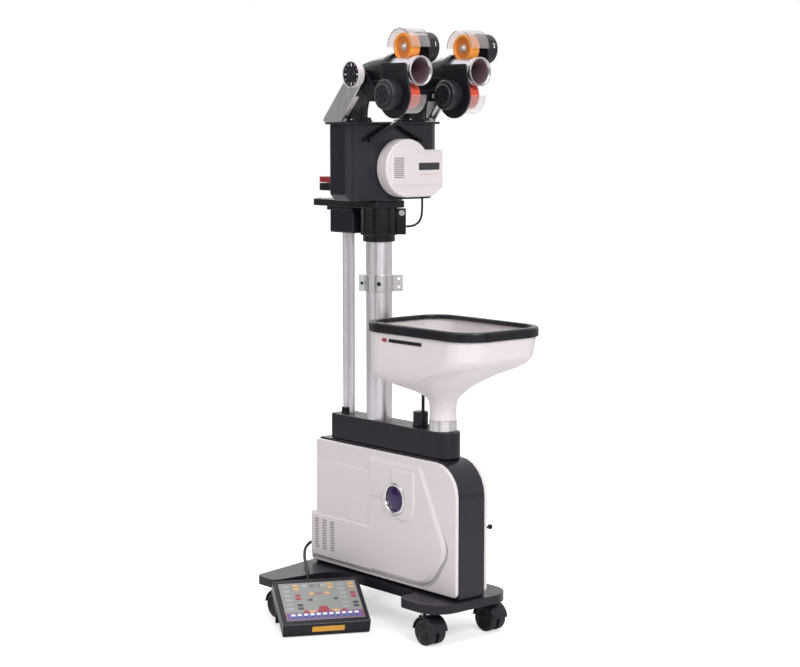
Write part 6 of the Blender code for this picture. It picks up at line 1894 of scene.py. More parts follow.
def make_housing():
    """The white front housing, with its rolled edge, raised face, louvres and dark window."""
    back = BOX_FRONT + GAP
    face = back + HOUSING_DEPTH - HOUSING_STEP
    body = softened(front_slab(housing_outline(0), (back, face)), 0.0042, 6, 40)
    front = face + HOUSING_STEP
    ends = (HOUSING_ACROSS - 0.0420, HOUSING_ACROSS + HOUSING_REACH - 0.0050)
    low = BOX_BOTTOM + HOUSING_UP - 0.0320
    high = BOX_BOTTOM + HOUSING_UP + HOUSING_WING_TOP - 0.0045
    raised = rounded(four(ends, (low, high), (0.004, 0.003, 0.003, 0.006)))
    join(body, softened(front_slab(raised, (face - LAP, front)), 0.0012, 4, 40))
    pocket = (front - WINDOW_SINK, front + OVER)
    cut(body, block(SEEN_WINDOW_ACROSS, pocket, SEEN_WINDOW_UP))
    slots = []
    for n in range(SEEN_LOUVRE_ROWS):
        low = SEEN_LOUVRE_UP + SEEN_LOUVRE_PITCH * n
        levels = (front - SEEN_LOUVRE_SINK, front + OVER)
        slots.append(block(SEEN_LOUVRE_ACROSS, levels, (low, low + SEEN_LOUVRE_HEIGHT)))
    slots.append(block((-0.0155, 0.0400), (face - 0.0010, front + OVER), (0.8330, 0.8348)))
    cut(body, one_mesh(slots))
    body = piece(body, "housing_shell", [WHITE, SLOT_SHADE_GREY], "pan", ["front_housing"])
    # The louvre floors take the grey: painted shade in the slots.
    paint(body, 1, lambda spot, way: -way.y > 0.9 and abs(-spot.y - (front - SEEN_LOUVRE_SINK)) < 0.0001)
    low, high = SEEN_WINDOW_ACROSS, SEEN_WINDOW_UP
    pane = block((low[0] + 0.0003, low[1] - 0.0003), (front - WINDOW_SINK - 0.0004, front - 0.0003),
                 (high[0] + 0.0003, high[1] - 0.0003))
    piece(softened(pane, 0.0003, 2), "housing_window", WINDOW, "pan")
    line = block((0.0410, 0.0840), (front - 0.0004, front + 0.0001), (0.8588, 0.8596))
    piece(line, "housing_line", THIN_RED, "pan")


def make_brace():
    """The inverted V of flat strap across the front of the box, on two spacers."""
    back = BOX_FRONT + FLANGE_LIP + GAP
    top = BOX_TOP + BRACE_RISE
    low = top - BRACE_DROP
    h, span = BRACE_HALF_HEIGHT, BRACE_SPAN
    outline = rounded([
        (-span, low + h, 0.0025), (0, top + h, 0.006), (span, low + h, 0.0025),
        (span, low - h, 0.0025), (0, top - h, 0.006), (-span, low - h, 0.0025),
    ])
    brace = front_slab(outline, (back, back + BRACE_THICKNESS))
    brace = softened(brace, 0.0012, 3, 30)
    for side in (-1, 1):
        x = side * (span - SPACER_INSET)
        up = low + SPACER_RADIUS
        join(brace, rod(SPACER_RADIUS, at(x, BOX_FRONT + GAP, up), at(x, back + LAP, up), 32))
    piece(brace, "brace_strap", DARK_STEEL, "pan", ["front_brace"])
    far = (span - SPACER_INSET, back + BRACE_THICKNESS, low + SPACER_RADIUS)
    spots = [at(side * far[0], far[1], far[2]) for side in (-1, 1)]
    heads = (screw_head(0.0030, spot, AHEAD, 0.0012) for spot in spots)
    numbered("brace_screw_%d", heads, DARK_STEEL, "pan")


def make_connector():
    """The cable connectors on the back of the box, red over black, open to the rear."""
    front = BOX_BACK - GAP
    back = front - CONNECTOR_DEPTH
    left = -BOX_HALF + CONNECTOR_IN
    low = BOX_BOTTOM + CONNECTOR_UP
    high = low + CONNECTOR_HEIGHT
    wall = CONNECTOR_WALL
    pitch = (CONNECTOR_WIDTH - wall) / CONNECTOR_WAYS
    split = low + CONNECTOR_HEIGHT * CONNECTOR_SPLIT
    parts = (("connector_upper", split + 0.0006, high, CONNECTOR_RED, "connector_red"),
             ("connector_lower", low, split - 0.0006, BLACK, "black_plastic"))
    for name, bottom, top, look, slot_name in parts:
        body = block((left, left + CONNECTOR_WIDTH), (back, front), (bottom, top))
        body = softened(body, 0.0012, 3)
        tools = []
        for n in range(CONNECTOR_WAYS):
            x = left + wall + pitch * n
            height = (bottom + 0.0022, top - 0.0022)
            tools.append(block((x, x + pitch - wall), (back - OVER, back + wall), height))
        for n in range(CONNECTOR_RIBS):
            ahead = back + 0.0085 + 0.0075 * n
            height = (bottom - OVER, top + OVER)
            tools.append(block((left - OVER, left + 0.0006), (ahead, ahead + 0.0012), height))
        cut(body, one_mesh(tools))
        piece(body, name, look, "pan", ["connector_block"] if top == high else [])


def make_pan_cable():
    """The short black cable from the housing to the collar."""
    start = at(HOUSING_ACROSS + PAN_CABLE_ACROSS, BOX_FRONT + PAN_CABLE_AHEAD, 0)
    start.z = BOX_BOTTOM + HOUSING_UP - HOUSING_RADIUS - GAP
    reach = COLLAR_EAR + GAP
    end = at(reach * math.cos(EAR_ANGLE), reach * math.sin(EAR_ANGLE), COLLAR_TOP - PAN_CABLE_DROP)
    route = bend(start, -UP, end, -heading(EAR_ANGLE), PAN_CABLE_SWEEP, 0.0025)
    piece(tube(route, PAN_CABLE_RADIUS, 6), "housing_lead", RUBBER, nodes=["pan_cable"],
          bends=("base", "pan", SHIFT + end, SHIFT + start))


def make_arm(name, side):
    """One bright tilt bracket: a tapered plate with a folded flange, a sole and its axle hole."""
    foot_top = ARM_BOTTOM + ARM_FOOT_RISE
    foot = [(ARM_FOOT_BACK, ARM_BOTTOM), (ARM_FOOT_BACK, foot_top)]
    foot += [(ARM_FOOT_FRONT, ARM_BOTTOM), (ARM_FOOT_FRONT, foot_top)]
    outline = hull(foot + circle((TILT_AHEAD, TILT_UP), ARM_HUB, 120))
    arm = side_slab(outline, sided(side, ARM_INNER, ARM_OUTER))
    arm = softened(arm, 0.0005, 2)
    edge = [point for point in outline if point[0] > ARM_FOOT_FRONT and point[1] < TILT_UP]
    low = Vector((ARM_FOOT_FRONT, foot_top))
    way = (Vector(min(edge, key=lambda point: point[1])) - low).normalized()
    back = Vector((-way.y, way.x))
    low = low + back * ARM_FLANGE_INSET
    high = low + way * (ARM_FLANGE_RISE - ARM_FOOT_RISE) / way.y
    inward = back * ARM_FLANGE_THICKNESS
    foot_front = ARM_FOOT_FRONT - ARM_FLANGE_INSET
    foot_low = ARM_BOTTOM + ARM_FLANGE_INSET
    strip = [
        (foot_front, foot_low), tuple(low), tuple(high), tuple(high + inward), tuple(low + inward),
        (foot_front - ARM_FLANGE_THICKNESS, foot_low + ARM_SOLE),
        (ARM_FOOT_BACK + ARM_SOLE, foot_low + ARM_SOLE), (ARM_FOOT_BACK + ARM_SOLE, foot_low),
    ]
    inner = HEAD_SPACING / 2 + DUCT_RADIUS + ARM_DUCT_GAP
    flange = side_slab(strip, sided(side, inner, ARM_INNER + 0.001))
    join(arm, softened(flange, 0.0004, 2))
    axle = at(0, TILT_AHEAD, TILT_UP)
    hole = STUB_RADIUS + SHAFT_GAP
    cut(arm, bar_along(hole, axle, ACROSS * side, ARM_INNER - OVER, ARM_OUTER + OVER, 48))
    piece(arm, name + "_bracket", ARM_METAL, "pan", [name])
    spots = [at(side * (inner + ARM_INNER) / 2, ahead, foot_low + ARM_SOLE) for ahead in (-0.010, 0.018)]
    heads = (socket_screw(0.0034, 0.0024, spot, UP) for spot in spots)
    numbered(name + "_screw_%d", heads, DARK_STEEL, "pan")


def make_dial():
    """The elevation knob: a cream ring, a dark face with white ticks and a hub."""
    near = ARM_OUTER + DIAL_GAP
    far = near + DIAL_DEPTH
    r = DIAL_RADIUS
    place = axis_frame(-ACROSS, at(0, TILT_AHEAD, TILT_UP))
    profile = [
        (0, far - 0.0004), (r * 0.36, far - 0.0004), (r * 0.40, far - 0.0010), (r * 0.42, far - 0.0020),
        (r * 0.88, far - 0.0020), (r * 0.90, far - 0.0018), (r * 0.915, far - 0.0006), (r * 0.93, far),
        (r - 0.0008, far), (r - 0.0002, far - 0.0003), (r, far - 0.0010), (r, far - 0.0050),
        (r - 0.0008, far - 0.0056), (r - 0.0008, far - 0.0066), (r, far - 0.0072), (r, near + 0.0006),
        (r - 0.0006, near), (0, near),
    ]
    dial = settled(turned(profile, place, FINE))
    grips = []
    for n in range(DIAL_RIBS):
        angle = math.tau * n / DIAL_RIBS
        spot = at(0, TILT_AHEAD + (r + 0.0006) * math.cos(angle), TILT_UP + (r + 0.0006) * math.sin(angle))
        grips.append(bar_along(0.0009, spot, -ACROSS, far - 0.0075, near + 0.0012, 10))
    cut(dial, one_mesh(grips))
    dial = piece(dial, "dial_knob", [CREAM, BLACK], "dial", ["elevation_dial"])
    axle = at(0, TILT_AHEAD, TILT_UP)
    paint(dial, 1, lambda spot, way: (spot - axle).yz.length < r * 0.912 and spot.x < -near - 0.004)
    ticks = []
    for n in range(DIAL_TICKS):
        angle = math.tau * n / DIAL_TICKS
        turn = place @ Matrix.Rotation(angle, 4, "Z")
        inner = r * (0.60 if n % 3 == 0 else 0.70)
        half = 0.0011 if n % 3 == 0 else 0.0005
        ticks.append(box((inner, -half, far - 0.0022), (r * 0.82, half, far - 0.0018), turn))
    piece(one_mesh(ticks), "dial_ticks", MARKS, "dial")


def make_yoke():
    """The cross bar that carries both heads, with its ears and stub axles."""
    top = TILT_UP - YOKE_DROP
    low = top - YOKE_HEIGHT
    front = YOKE_BACK + YOKE_DEPTH
    bar = block((-EAR_OUTER, EAR_OUTER), (YOKE_BACK, front), (low, top))
    bar = softened(bar, 0.0014, 3)
    corners = [(YOKE_BACK, low), (YOKE_BACK, top), (front, low), (front, top)]
    outline = hull(corners + circle((TILT_AHEAD, TILT_UP), EAR_HUB, 96))
    axle = at(0, TILT_AHEAD, TILT_UP)
    for side in (-1, 1):
        join(bar, side_slab(outline, sided(side, EAR_INNER, EAR_OUTER)))
        join(bar, bar_along(STUB_RADIUS, axle, ACROSS * side, EAR_OUTER - LAP, ARM_OUTER + STUB_PROUD, 48))
        x = side * HEAD_SPACING / 2
        tab = (front - LAP, RING_BACK + TAB_REACH)
        up = (top - TAB_DEPTH, BARREL_UP - RING_OUTER - GAP)
        join(bar, block((x - TAB_HALF, x + TAB_HALF), tab, up))
    piece(bar, "yoke_bar", DARK_STEEL, "tilt", ["tilt_yoke"])
    spots = [at(x, front, (top + low) / 2) for x in (-0.030, 0.030)]
    heads = (socket_screw(0.0036, 0.0024, spot, AHEAD) for spot in spots)
    numbered("yoke_screw_%d", heads, CHROME, "tilt")
    spot = axle + ACROSS * (ARM_OUTER + STUB_PROUD)
    piece(hex_head(0.0085, 0.0045, spot, ACROSS), "axle_nut", CHROME, "tilt")


def make_head(number, x):
    """One launching head: frame, barrel with its wheel slots, wheels, motors and guards."""
    ahead = WHEEL_AHEAD
    upper = at(x, ahead, BARREL_UP + WHEEL_OFFSET)
    lower = at(x, ahead, BARREL_UP - WHEEL_OFFSET)
    half = PLATE_HALF_HEIGHT
    strap = [
        (PLATE_BACK, BARREL_UP - half), (PLATE_BACK, BARREL_UP + half),
        (SEEN_PLATE_FRONT, BARREL_UP - half), (SEEN_PLATE_FRONT, BARREL_UP + half),
    ]
    line = axis_frame(AHEAD, at(x, RING_BACK, BARREL_UP))
    ring = sleeve(RING_OUTER, RING_INNER, 0, RING_DEPTH, 0.0006)
    frame_piece = settled(turned(ring, line, FINE))
    for side, place, lobe in ((1, upper, LOBE_UPPER), (-1, lower, LOBE_LOWER)):
        outline = hull(strap + circle((ahead, place.z), lobe, 120))
        plate = side_slab(outline, sorted((x + side * PLATE_INNER, x + side * PLATE_OUTER)))
        join(frame_piece, softened(plate, 0.0006, 2))
        levels = (PLATE_INNER - OVER, PLATE_OUTER + OVER)
        cut(frame_piece, bar_along(PLATE_HOLE, place, ACROSS * side, *levels, 40))
    bar = (PLATE_BACK + 0.010, SEEN_PLATE_FRONT - 0.012)
    levels = (x - PLATE_OUTER - 0.0011, x - PLATE_OUTER + 0.0006)
    pad = block(levels, bar, (BARREL_UP + 0.0015, BARREL_UP + half - 0.0020))
    join(frame_piece, softened(pad, 0.0008, 3))
    levels = (x - PLATE_OUTER - OVER, x - PLATE_OUTER + 0.0007)
    run = (PLATE_BACK - LAP, SEEN_PLATE_FRONT - 0.004)
    cut(frame_piece, block(levels, run, (BARREL_UP - 0.0024, BARREL_UP - 0.0016)))
    piece(frame_piece, "head_%d_frame" % number, DARK_STEEL, "tilt", ["head_frame_%d" % number])
    ends = (PLATE_BACK + 0.0048, SEEN_PLATE_FRONT - 0.0058)
    spots = [at(x - PLATE_OUTER, end, BARREL_UP + 0.0070) for end in ends]
    heads = (screw_head(0.0027, spot, -ACROSS, 0.0012) for spot in spots)
    numbered("head_%d_screw_" % number + "%d", heads, DARK_STEEL, "tilt")

    tube_line = axis_frame(AHEAD, at(x, BARREL_BACK, BARREL_UP))
    length, r, bore = BARREL_LENGTH, BARREL_RADIUS, BORE_RADIUS
    wall = [
        (bore + BARREL_FLARE, length), (r - 0.0010, length), (r - 0.0003, length - 0.0003),
        (r, length - 0.0010), (r, length - 0.0052), (r - 0.0006, length - 0.0058),
        (r - 0.0006, length - 0.0070), (r, length - 0.0076), (r, 0.0006), (r - 0.0006, 0),
        (bore, 0), (bore, length - BARREL_FLARE - 0.004), (bore + 0.0006, length - BARREL_FLARE),
    ]
    barrel = settled(turned(wall, tube_line, FINE))
    wide = WHEEL_WIDTH / 2 + SLOT_SIDE
    slot = (ahead - SLOT_HALF_LENGTH, ahead + SLOT_HALF_LENGTH)
    reach = r + OVER
    cut(barrel, block((x - wide, x + wide), slot, (BARREL_UP - reach, BARREL_UP + reach)))
    barrel = piece(barrel, "head_%d_barrel" % number, [BARREL_METAL, BORE_SHADE_BROWN, RING_METAL], "tilt",
                   ["barrel_%d" % number])
    axis = at(x, 0, BARREL_UP)
    # The bore faces take the dark brown: painted shade in the tube.
    paint(barrel, 1, lambda spot, way: (spot - axis).xz.length < bore + 0.0015
          and -spot.y < BARREL_BACK + length - 0.003)
    paint(barrel, 2, lambda spot, way: -spot.y > BARREL_BACK + length - 0.0050
          and (spot - axis).xz.length > bore + 0.001)

    for level, place, side in (("upper", upper, 1), ("lower", lower, -1)):
        make_launch_wheel(number, level, place, side)
        make_motor(number, level, place, side)
        make_guard(number, level, place, side)


def make_launch_wheel(number, level, place, side):
    """One foam-tyred wheel: rounded tyre, dished hub, shaft and a bright hub bolt."""
    half, r = WHEEL_WIDTH / 2, WHEEL_RADIUS
    hub = r - WHEEL_TYRE
    shaft = PLATE_OUTER + SHAFT_REACH
    web = half - WHEEL_DISH
    body = "spin_%s_%d" % (level, number)
    base = axis_frame(ACROSS * side, place)
    profile = [(0, shaft), (AXLE_RADIUS, shaft), (AXLE_RADIUS, web + 0.0004), (AXLE_RADIUS + 0.0004, web)]
    profile += [(hub - 0.0030, web), (hub - 0.0010, web + 0.0008), (hub - 0.0003, web + 0.0024)]
    profile += [(hub, half - 0.0005), (hub + 0.0005, half)]
    profile += arc((r - TYRE_ROUND, half - TYRE_ROUND), TYRE_ROUND, 90, 0, 6)
    profile += arc((r - TYRE_ROUND, TYRE_ROUND - half), TYRE_ROUND, 0, -90, 6)
    profile += [(hub + 0.0005, -half), (hub, 0.0005 - half), (hub - 0.0003, -web - 0.0024)]
    profile += [(hub - 0.0010, -web - 0.0008), (hub - 0.0030, -web), (0, -web)]
    wheel = settled(turned(profile, base, FINE))
    looks = [ORANGE, ORANGE_DISH_SHADE] if level == "upper" else [RED, RED_DISH_SHADE]
    wheel = piece(wheel, "head_%d_wheel_%s" % (number, level), looks + [CHROME], body,
                  ["launch_wheel_%s_%d" % (level, number)])
    # The dished hub takes the darker copy: painted shade in the dish.
    paint(wheel, 1, lambda spot, way: (spot - place).yz.length < hub - 0.0002)
    paint(wheel, 2, lambda spot, way: (spot - place).yz.length < AXLE_RADIUS + 0.0002
          and (spot.x - place.x) * side > web)
    hub_wall = [
        (0, -web - 0.0036), (0.0030, -web - 0.0036), (0.0038, -web - 0.0030), (0.0040, -web - 0.0014),
        (0.0070, -web - 0.0012), (0.0074, -web - 0.0008), (0.0074, -web + 0.0004), (0, -web + 0.0004),
    ]
    cap = settled(turned(hub_wall, base, 40))
    inward = base.to_3x3() @ UP * -1
    cut(cap, bar_along(0.0018, place, inward, web + 0.0024, web + LAP + 0.006, 6))
    piece(cap, "head_%d_hub_%s" % (number, level), BRIGHT, body)


def make_motor(number, level, place, side):
    """One drive motor: can, seam, rolled shoulder, end cap, small holes, notches and a boss."""
    near = PLATE_OUTER + GAP
    far = near + MOTOR_DEPTH
    r = MOTOR_RADIUS
    cap = r - MOTOR_SHOULDER
    can = r - MOTOR_RIM
    profile = [
        (0, far - 0.0006), (0.0040, far - 0.0006), (0.0046, far - 0.0010), (0.0050, far - 0.0022),
        (0.0064, far - 0.0024), (0.0070, far - 0.0004), (0.0076, far), (cap - MOTOR_CROWN, far),
        (cap - 0.0016, far - 0.0005), (cap - 0.0004, far - 0.0016), (cap, far - MOTOR_CROWN),
    ]
    profile += arc((r - MOTOR_ROUND, far - 0.0078), MOTOR_ROUND, 90, 0, 7)[1:]
    profile += [
        (r, near + MOTOR_SEAM + 0.0004), (r - 0.0004, near + MOTOR_SEAM), (can, near + MOTOR_SEAM - 0.0010),
        (can, near + 0.0004), (can - 0.0004, near), (0, near),
    ]
    base = axis_frame(ACROSS * side, place)
    motor = settled(turned(profile, base, FINE))
    out = ACROSS * side
    tools = [settled(bar_along(WHEEL_BORE, place, out, near - OVER, near + MOTOR_BORE_DEPTH, 32))]
    for n in range(MOTOR_HOLES):
        angle = math.tau * n / MOTOR_HOLES + 0.3
        aside = Vector((MOTOR_HOLE_REACH * math.cos(angle), MOTOR_HOLE_REACH * math.sin(angle), 0))
        spot = base @ aside
        tools.append(bar_along(0.0019, spot, out, far - 0.003, far + OVER, 20))
    for n in range(MOTOR_NOTCHES):
        turn = base @ Matrix.Rotation(math.tau * n / MOTOR_NOTCHES + 0.6, 4, "Z")
        tools.append(box((r - 0.0010, -0.0042, near + 0.0090), (r + OVER, 0.0042, near + 0.0130), turn))
    cut(motor, one_mesh(tools))
    piece(motor, "head_%d_motor_%s" % (number, level), MOTOR_BLACK, "tilt",
          ["motor_%s_%d" % (level, number)])
    if level == "upper":
        make_numeral(number, place, side, near, far)


def make_numeral(number, place, side, near, far):
    """The head's plain number, laid on the motor's curved front."""
    print_mesh = text_mesh(str(number), 0.0088, 0.0004)
    r = MOTOR_RADIUS
    middle = (near + far) / 2 - 0.0005
    mesh = print_mesh.data
    work = bmesh.new()
    work.from_mesh(mesh)
    for n in range(-12, 13):
        every = work.verts[:] + work.edges[:] + work.faces[:]
        bmesh.ops.bisect_plane(work, geom=every, plane_co=(0, 0.0007 * n, 0), plane_no=(0, 1, 0))
    work.to_mesh(mesh)
    work.free()
    for vertex in mesh.vertices:
        x, y, z = vertex.co
        angle = NUMERAL_TURN + y / r
        reach = r + 0.00012 + z
        ahead, up = reach * math.cos(angle) - place.y, place.z + reach * math.sin(angle)
        vertex.co = at(place.x + side * middle + x, ahead, up)
    piece(print_mesh, "head_%d_number" % number, MARKS, "tilt")


def make_guard(number, level, place, side):
    """One clear half-round guard over a wheel, with its cheek."""
    first = 0 if side > 0 else 180
    centre = (-place.y, place.z)
    outer = arc(centre, GUARD_RADIUS, first, first + 180, 72)
    inner = arc(centre, GUARD_RADIUS - GUARD_WALL, first + 180, first, 72)
    cheek_out = place.x + side * (PLATE_INNER - GAP)
    cheek_in = cheek_out - side * GUARD_WALL
    open_end = cheek_out - side * GUARD_WIDTH
    guard = side_slab(outer + inner, sorted((open_end, cheek_out)))
    join(guard, side_slab(outer, sorted((cheek_in, cheek_out))))
    cut(guard, bar_along(GUARD_HOLE, place, ACROSS * side, -GUARD_WIDTH, GUARD_WIDTH, 56))
    guard = tidy(guard)
    bevel(guard, 0.0003, 2, 60)
    piece(guard, "head_%d_guard_%s" % (number, level), CLEAR, "tilt",
          ["guard_%s_%d" % (level, number)])


def make_duct(number, x):
    """The plain hose from the box up into a barrel, with its ring flange and screws."""
    start = at(x, DUCT_AHEAD, ARM_BOTTOM)
    end = at(x, BARREL_BACK - GAP, BARREL_UP)
    first = start + UP * DUCT_CUFF
    last = end - AHEAD * DUCT_CUFF
    route = [start] + bend(first, UP, last, AHEAD, SEEN_DUCT_SWEEP, 0.0045) + [end]
    sections, bores = [], []
    ways = [UP] + [(after - before).normalized() for before, after in zip(route, route[2:])] + [AHEAD]
    for spot, way in zip(route, ways):
        other = ACROSS.cross(way).normalized()
        ring, hole = [], []
        for k in range(FINE):
            angle = math.tau * k / FINE
            out = ACROSS * math.cos(angle) + other * math.sin(angle)
            ring.append(spot + out * DUCT_RADIUS)
            hole.append(spot + out * DUCT_BORE)
        sections.append(ring)
        bores.append(hole)
    skin = loft(sections + bores[::-1], True)
    piece(skin, "head_%d_hose" % number, HOSE, nodes=["ball_duct_%d" % number],
          bends=("pan", "tilt", SHIFT + at(x, *HOSE_HELD_BY_BOX), SHIFT + at(x, *HOSE_HELD_BY_HEAD)))
    wide = DUCT_RADIUS + HOSE_RING_WIDTH
    ring = [
        (DUCT_RADIUS + 0.0002, HOSE_RING_HEIGHT), (wide - 0.0014, HOSE_RING_HEIGHT),
        (wide - 0.0004, 0.0036), (wide, 0.0026), (wide, 0.0003), (DUCT_RADIUS + 0.0002, 0.0003),
    ]
    piece(turned(ring, Matrix.Translation(start), FINE), "head_%d_hose_ring" % number, BLACK, "pan")
    reach = DUCT_RADIUS + 0.0044
    spots = []
    for angle in (RING_SCREW, RING_SCREW + math.pi / 2, RING_SCREW - math.pi / 2):
        aside = ACROSS * reach * math.cos(angle)
        spots.append(start + aside + AHEAD * reach * math.sin(angle) + UP * HOSE_RING_HEIGHT)
    heads = (screw_head(0.0031, spot, UP, 0.0015) for spot in spots)
    numbered("head_%d_hose_screw_" % number + "%d", heads, CHROME, "pan")


def make_controller():
    """The separate desk: black case on two legs, grey key panel, printed keys and a bare plate."""
    desk, flat = desk_frame()
    width, length, height = DESK_WIDTH, DESK_LENGTH, DESK_HEIGHT
    case = softened(box((0, 0, 0), (width, length, height), desk), 0.0032, 5)
    step = DESK_LENGTH * math.cos(DESK_TILT) - LEG_BACK
    rise = step * math.tan(DESK_TILT) + LEG_LAP
    for low in (LEG_SIDE, width - LEG_SIDE - LEG_WIDTH):
        leg = box((low, step, 0), (low + LEG_WIDTH, step + LEG_THICKNESS, rise), flat)
        join(case, softened(leg, 0.0006, 2))
    side, end = PANEL_SIDE - GAP, PANEL_END - GAP
    sunk = height - PANEL_SINK - GAP
    cut(case, box((side, end, sunk), (width - side, length - end, height + OVER), desk))
    low, high = DESK_SEAM
    cut(case, box((-OVER, -OVER, low), (SEAM_DEPTH, length + OVER, high), desk))
    cut(case, box((-OVER, -OVER, low), (width + OVER, SEAM_DEPTH, high), desk))
    piece(case, "desk_case", BLACK, "base", ["controller_base"])
    low = (PANEL_SIDE, PANEL_END, height - PANEL_SINK)
    top = height + PANEL_PROUD
    panel = box(low, (width - PANEL_SIDE, length - PANEL_END, top), desk)
    panel = softened(panel, 0.0003, 2)
    piece(panel, "desk_panel", PANEL, "base", ["controller_panel"])
    place = desk @ Matrix.Translation((PANEL_SIDE, PANEL_END, top))
    span = (width - 2 * PANEL_SIDE, length - 2 * PANEL_END)

    def print_block(marks, name, look):
        """Thin printed shapes, given as (u, v, width, height) in shares, corner and level in metres."""
        made = []
        for u, v, w, h, corner, level in marks:
            ends = (span[0] * (u - w / 2), span[0] * (u + w / 2))
            levels = (span[1] * (v - h / 2), span[1] * (v + h / 2))
            outline = rounded(four(ends, levels, 4 * (corner,)))
            made.append(slab(outline, PRINT_DEPTH, place @ Matrix.Translation((0, 0, 0.00012 + level))))
        piece(one_mesh(made), name, look, "base")

    for name, look, marks in KEY_PRINTS:
        print_block(marks, name, look)
    trapezoid = [(0.415, 0.190), (0.585, 0.190), (0.550, 0.345), (0.455, 0.345)]
    outline = rounded([(span[0] * u, span[1] * v, 0.0015) for u, v in trapezoid])
    field = slab(outline, PRINT_DEPTH, place @ Matrix.Translation((0, 0, 0.00016)))
    piece(field, "key_fan", KEY_RED, "base")
    front = frame_of(desk.to_3x3() @ ACROSS, desk.to_3x3() @ UP, desk.translation)
    ends = [width * share for share in PLATE_ACROSS]
    plate = rounded(four(ends, PLATE_UP, 4 * (0.0012,)))
    plate = slab(plate, 0.0008, front @ Matrix.Translation((0, 0, 0.0002)))
    piece(softened(plate, 0.0002, 2), "desk_plate", GOLD, "base")


def row(spots, v, width, height, level=0.0001):
    """Marks of one size in one row, as (u, v, width, height, corner, level)."""
    return [(u, v, width, height, 0.0012, level) for u in spots]


def stack(u, first, count, width=0.070, height=0.058, step=0.090):
    """Marks of one size above each other."""
    return [(u, first - step * n, width, height, 0.0012, 0.0001) for n in range(count)]


DASHES = [0.095 + 0.081 * n for n in range(11)]
KEY_PRINTS = (
    ("key_border", MAGENTA, [(0.5, 0.105, 0.990, 0.185, 0.002, -0.0001)]),
    ("key_strip", BLUE_KEYS, [(0.5, 0.105, 0.930, 0.150, 0.002, 0.0)]),
    ("key_dashes", MARKS, row(DASHES, 0.140, 0.052, 0.052)),
    ("key_dash_shades", KEY_DARK, row(DASHES, 0.076, 0.046, 0.030)),
    ("keys_orange", KEY_ORANGE, stack(0.215, 0.920, 2) + stack(0.930, 0.920, 2) + stack(0.660, 0.930, 2)
     + row((0.395, 0.600), 0.690, 0.058, 0.066) + row((0.355, 0.655), 0.215, 0.085, 0.060)),
    ("keys_red", KEY_RED, stack(0.215, 0.660, 2) + stack(0.930, 0.660, 2)
     + row((0.270, 0.760), 0.215, 0.055, 0.060) + row((0.498,), 0.690, 0.095, 0.018)),
    ("keys_dark", KEY_DARK, stack(0.215, 0.400, 2) + stack(0.930, 0.400, 2)
     + row((0.365, 0.690), 0.530, 0.055, 0.048)
     + [(u, 0.905, 0.008, 0.090, 0.0004, 0.0001) for u in (0.400, 0.425, 0.450, 0.500, 0.525)]),
    ("keys_pale", KEY_PALE, stack(0.085, 0.900, 6, 0.085, 0.070, 0.120)
     + stack(0.800, 0.900, 6, 0.085, 0.070, 0.120)
     + row((0.330, 0.570), 0.905, 0.070, 0.085) + row((0.500,), 0.530, 0.180, 0.030)),
)


def lamp(name, place, target, size, power, colour=(1, 1, 1)):
    """A soft rectangular lamp aimed at a point; both are (across, ahead, up)."""
    data = bpy.data.lights.new(name, "AREA")
    data.shape = "RECTANGLE"
    data.size, data.size_y = size
    data.energy = power
    data.color = colour
    item = bpy.data.objects.new(name, data)
    bpy.context.scene.collection.objects.link(item)
    start, end = SHIFT + at(*place), SHIFT + at(*target)
    item.matrix_world = axis_frame(start - end, start)
    return item


def make_world():
    """White where the camera, mirrors and clear plastic look past the object; softer light elsewhere."""
    world = bpy.data.worlds.new("studio")
    bpy.context.scene.world = world
    made = Nodes(world, True)
    strong = made.add("ShaderNodeBackground", Color=PURE_WHITE, Strength=1.0)
    weak = made.add("ShaderNodeBackground", Color=PURE_WHITE, Strength=SKY)
    mixed = made.add("ShaderNodeMixShader")
    made.link(made.any_ray("Camera", "Transmission", "Glossy"), mixed.inputs[0])
    made.link(weak.outputs[0], mixed.inputs[1])
    made.link(strong.outputs[0], mixed.inputs[2])
    made.show(mixed, "ShaderNodeOutputWorld")


def sheet(name, corners, made, place=Matrix.Identity(4)):
    """A flat four-cornered sheet with a finished look."""
    mesh = bpy.data.meshes.new(name)
    mesh.from_pydata([tuple(corner) for corner in corners], [], [(0, 1, 2, 3)])
    mesh.materials.append(made.look)
    item = object_from(mesh, place)
    item.name = name
    return item


def make_floor():
    """A plain pale floor that keeps the object's shadow and runs out to white."""
    made = Nodes(bpy.data.materials.new("pale floor"), True)
    matt = made.add("ShaderNodeBsdfDiffuse", Color=FLOOR_COLOUR)
    glow = made.add("ShaderNodeEmission", Color=PURE_WHITE)
    where = made.add("ShaderNodeNewGeometry")
    length = made.add("ShaderNodeVectorMath", operation="LENGTH")
    made.link(where.outputs["Position"], length.inputs[0])
    power = made.add("ShaderNodeMath", operation="MULTIPLY")
    made.link(made.any_ray("Camera", "Transmission"), power.inputs[0])
    made.link(made.spread(length.outputs["Value"], FLOOR_GLOW, 1.0, *FLOOR_FADE), power.inputs[1])
    made.link(power.outputs[0], glow.inputs["Strength"])
    total = made.add("ShaderNodeAddShader")
    made.link(matt.outputs[0], total.inputs[0])
    made.link(glow.outputs[0], total.inputs[1])
    made.show(total)
    r = FLOOR_REACH
    corners = [(-r, -r, 0), (r, -r, 0), (r, r, 0), (-r, r, 0)]
    item = sheet("floor", corners, made, Matrix.Translation((0, 0, -FLOOR_DROP)))


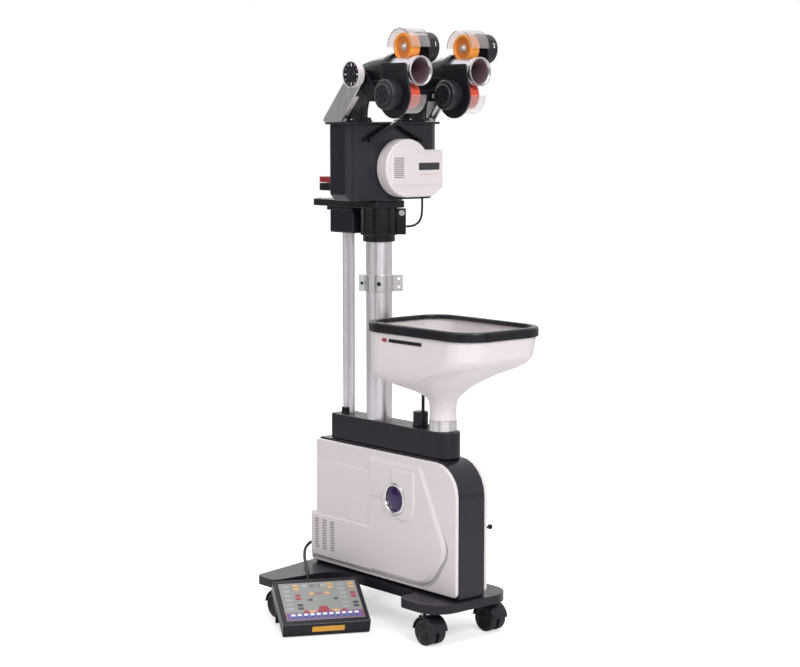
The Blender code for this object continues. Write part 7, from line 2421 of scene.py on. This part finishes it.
def make_card(name, angle, width):
    """A tall dark card that only mirrors see, at an angle to the left of the camera."""
    toward = Vector(CAMERA_PLACE[:2]).normalized()
    turn, rise = math.cos(angle), math.sin(angle)
    left = Vector((toward.x * turn - toward.y * rise, toward.x * rise + toward.y * turn))
    side = Vector((-left.y, left.x)) * width / 2
    middle = left * CARD_DISTANCE
    ends = (middle - side, middle + side, middle + side, middle - side)
    corners = [SHIFT + at(*end, up) for end, up in zip(ends, (0.02, 0.02, CARD_TOP, CARD_TOP))]
    made = Nodes(bpy.data.materials.new(name), True)
    made.show(made.add("ShaderNodeEmission", Color=PURE_WHITE, Strength=CARD_GLOW))
    item = sheet(name, corners, made)
    item.visible_camera = False
    item.visible_diffuse = False
    item.visible_transmission = False
    item.visible_shadow = False


def make_light():
    """Soft even studio light from above and both sides of the camera."""
    bpy.context.scene.view_settings.view_transform = "Standard"
    lamp("key", (-2.6, 0.6, 2.9), (0, 0.05, 0.55), (1.6, 1.6), KEY_POWER)
    lamp("fill", (-0.8, 3.1, 2.3), (0, 0.05, 0.45), (1.1, 1.1), FILL_POWER)
    lamp("top", (0.2, 0.3, 3.2), (0, 0.05, 0.4), (2.4, 2.4), TOP_POWER)
    lamp("back", (0.6, -2.6, 2.2), (0, 0.0, 0.7), (2.0, 1.4), BACK_POWER)
    for n, (angle, width) in enumerate(CARDS):
        make_card("card_%d" % (n + 1), math.radians(angle), width)


def make_feed_wheel():
    """The finger wheel in the body keeps its model mesh and gets its own rubbery look."""
    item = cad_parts["feed_wheel"]
    item.data.materials.clear()
    item.data.materials.append(RED)


def main():
    """Makes the camera and the cord first, then every piece, the light and the floor."""
    make_camera()
    make_cable()
    make_tray()
    make_casters()
    make_core()
    make_feed_wheel()
    make_cover("right_cover_shell", -1, "right_cover")
    make_cover("left_cover_shell", 1, "left_cover")
    make_lens()
    make_tank()
    make_mast()
    make_bowl()
    make_bowl_fittings()
    make_clamp()
    make_collar()
    make_support()
    make_box()
    make_housing()
    make_brace()
    make_connector()
    make_pan_cable()
    make_arm("tilt_arm_right", -1)
    make_arm("tilt_arm_left", 1)
    make_dial()
    make_yoke()
    for number, side in ((1, -1), (2, 1)):
        make_head(number, side * HEAD_SPACING / 2)
        make_duct(number, side * HEAD_SPACING / 2)
    make_controller()
    make_world()
    make_floor()
    make_light()


main()
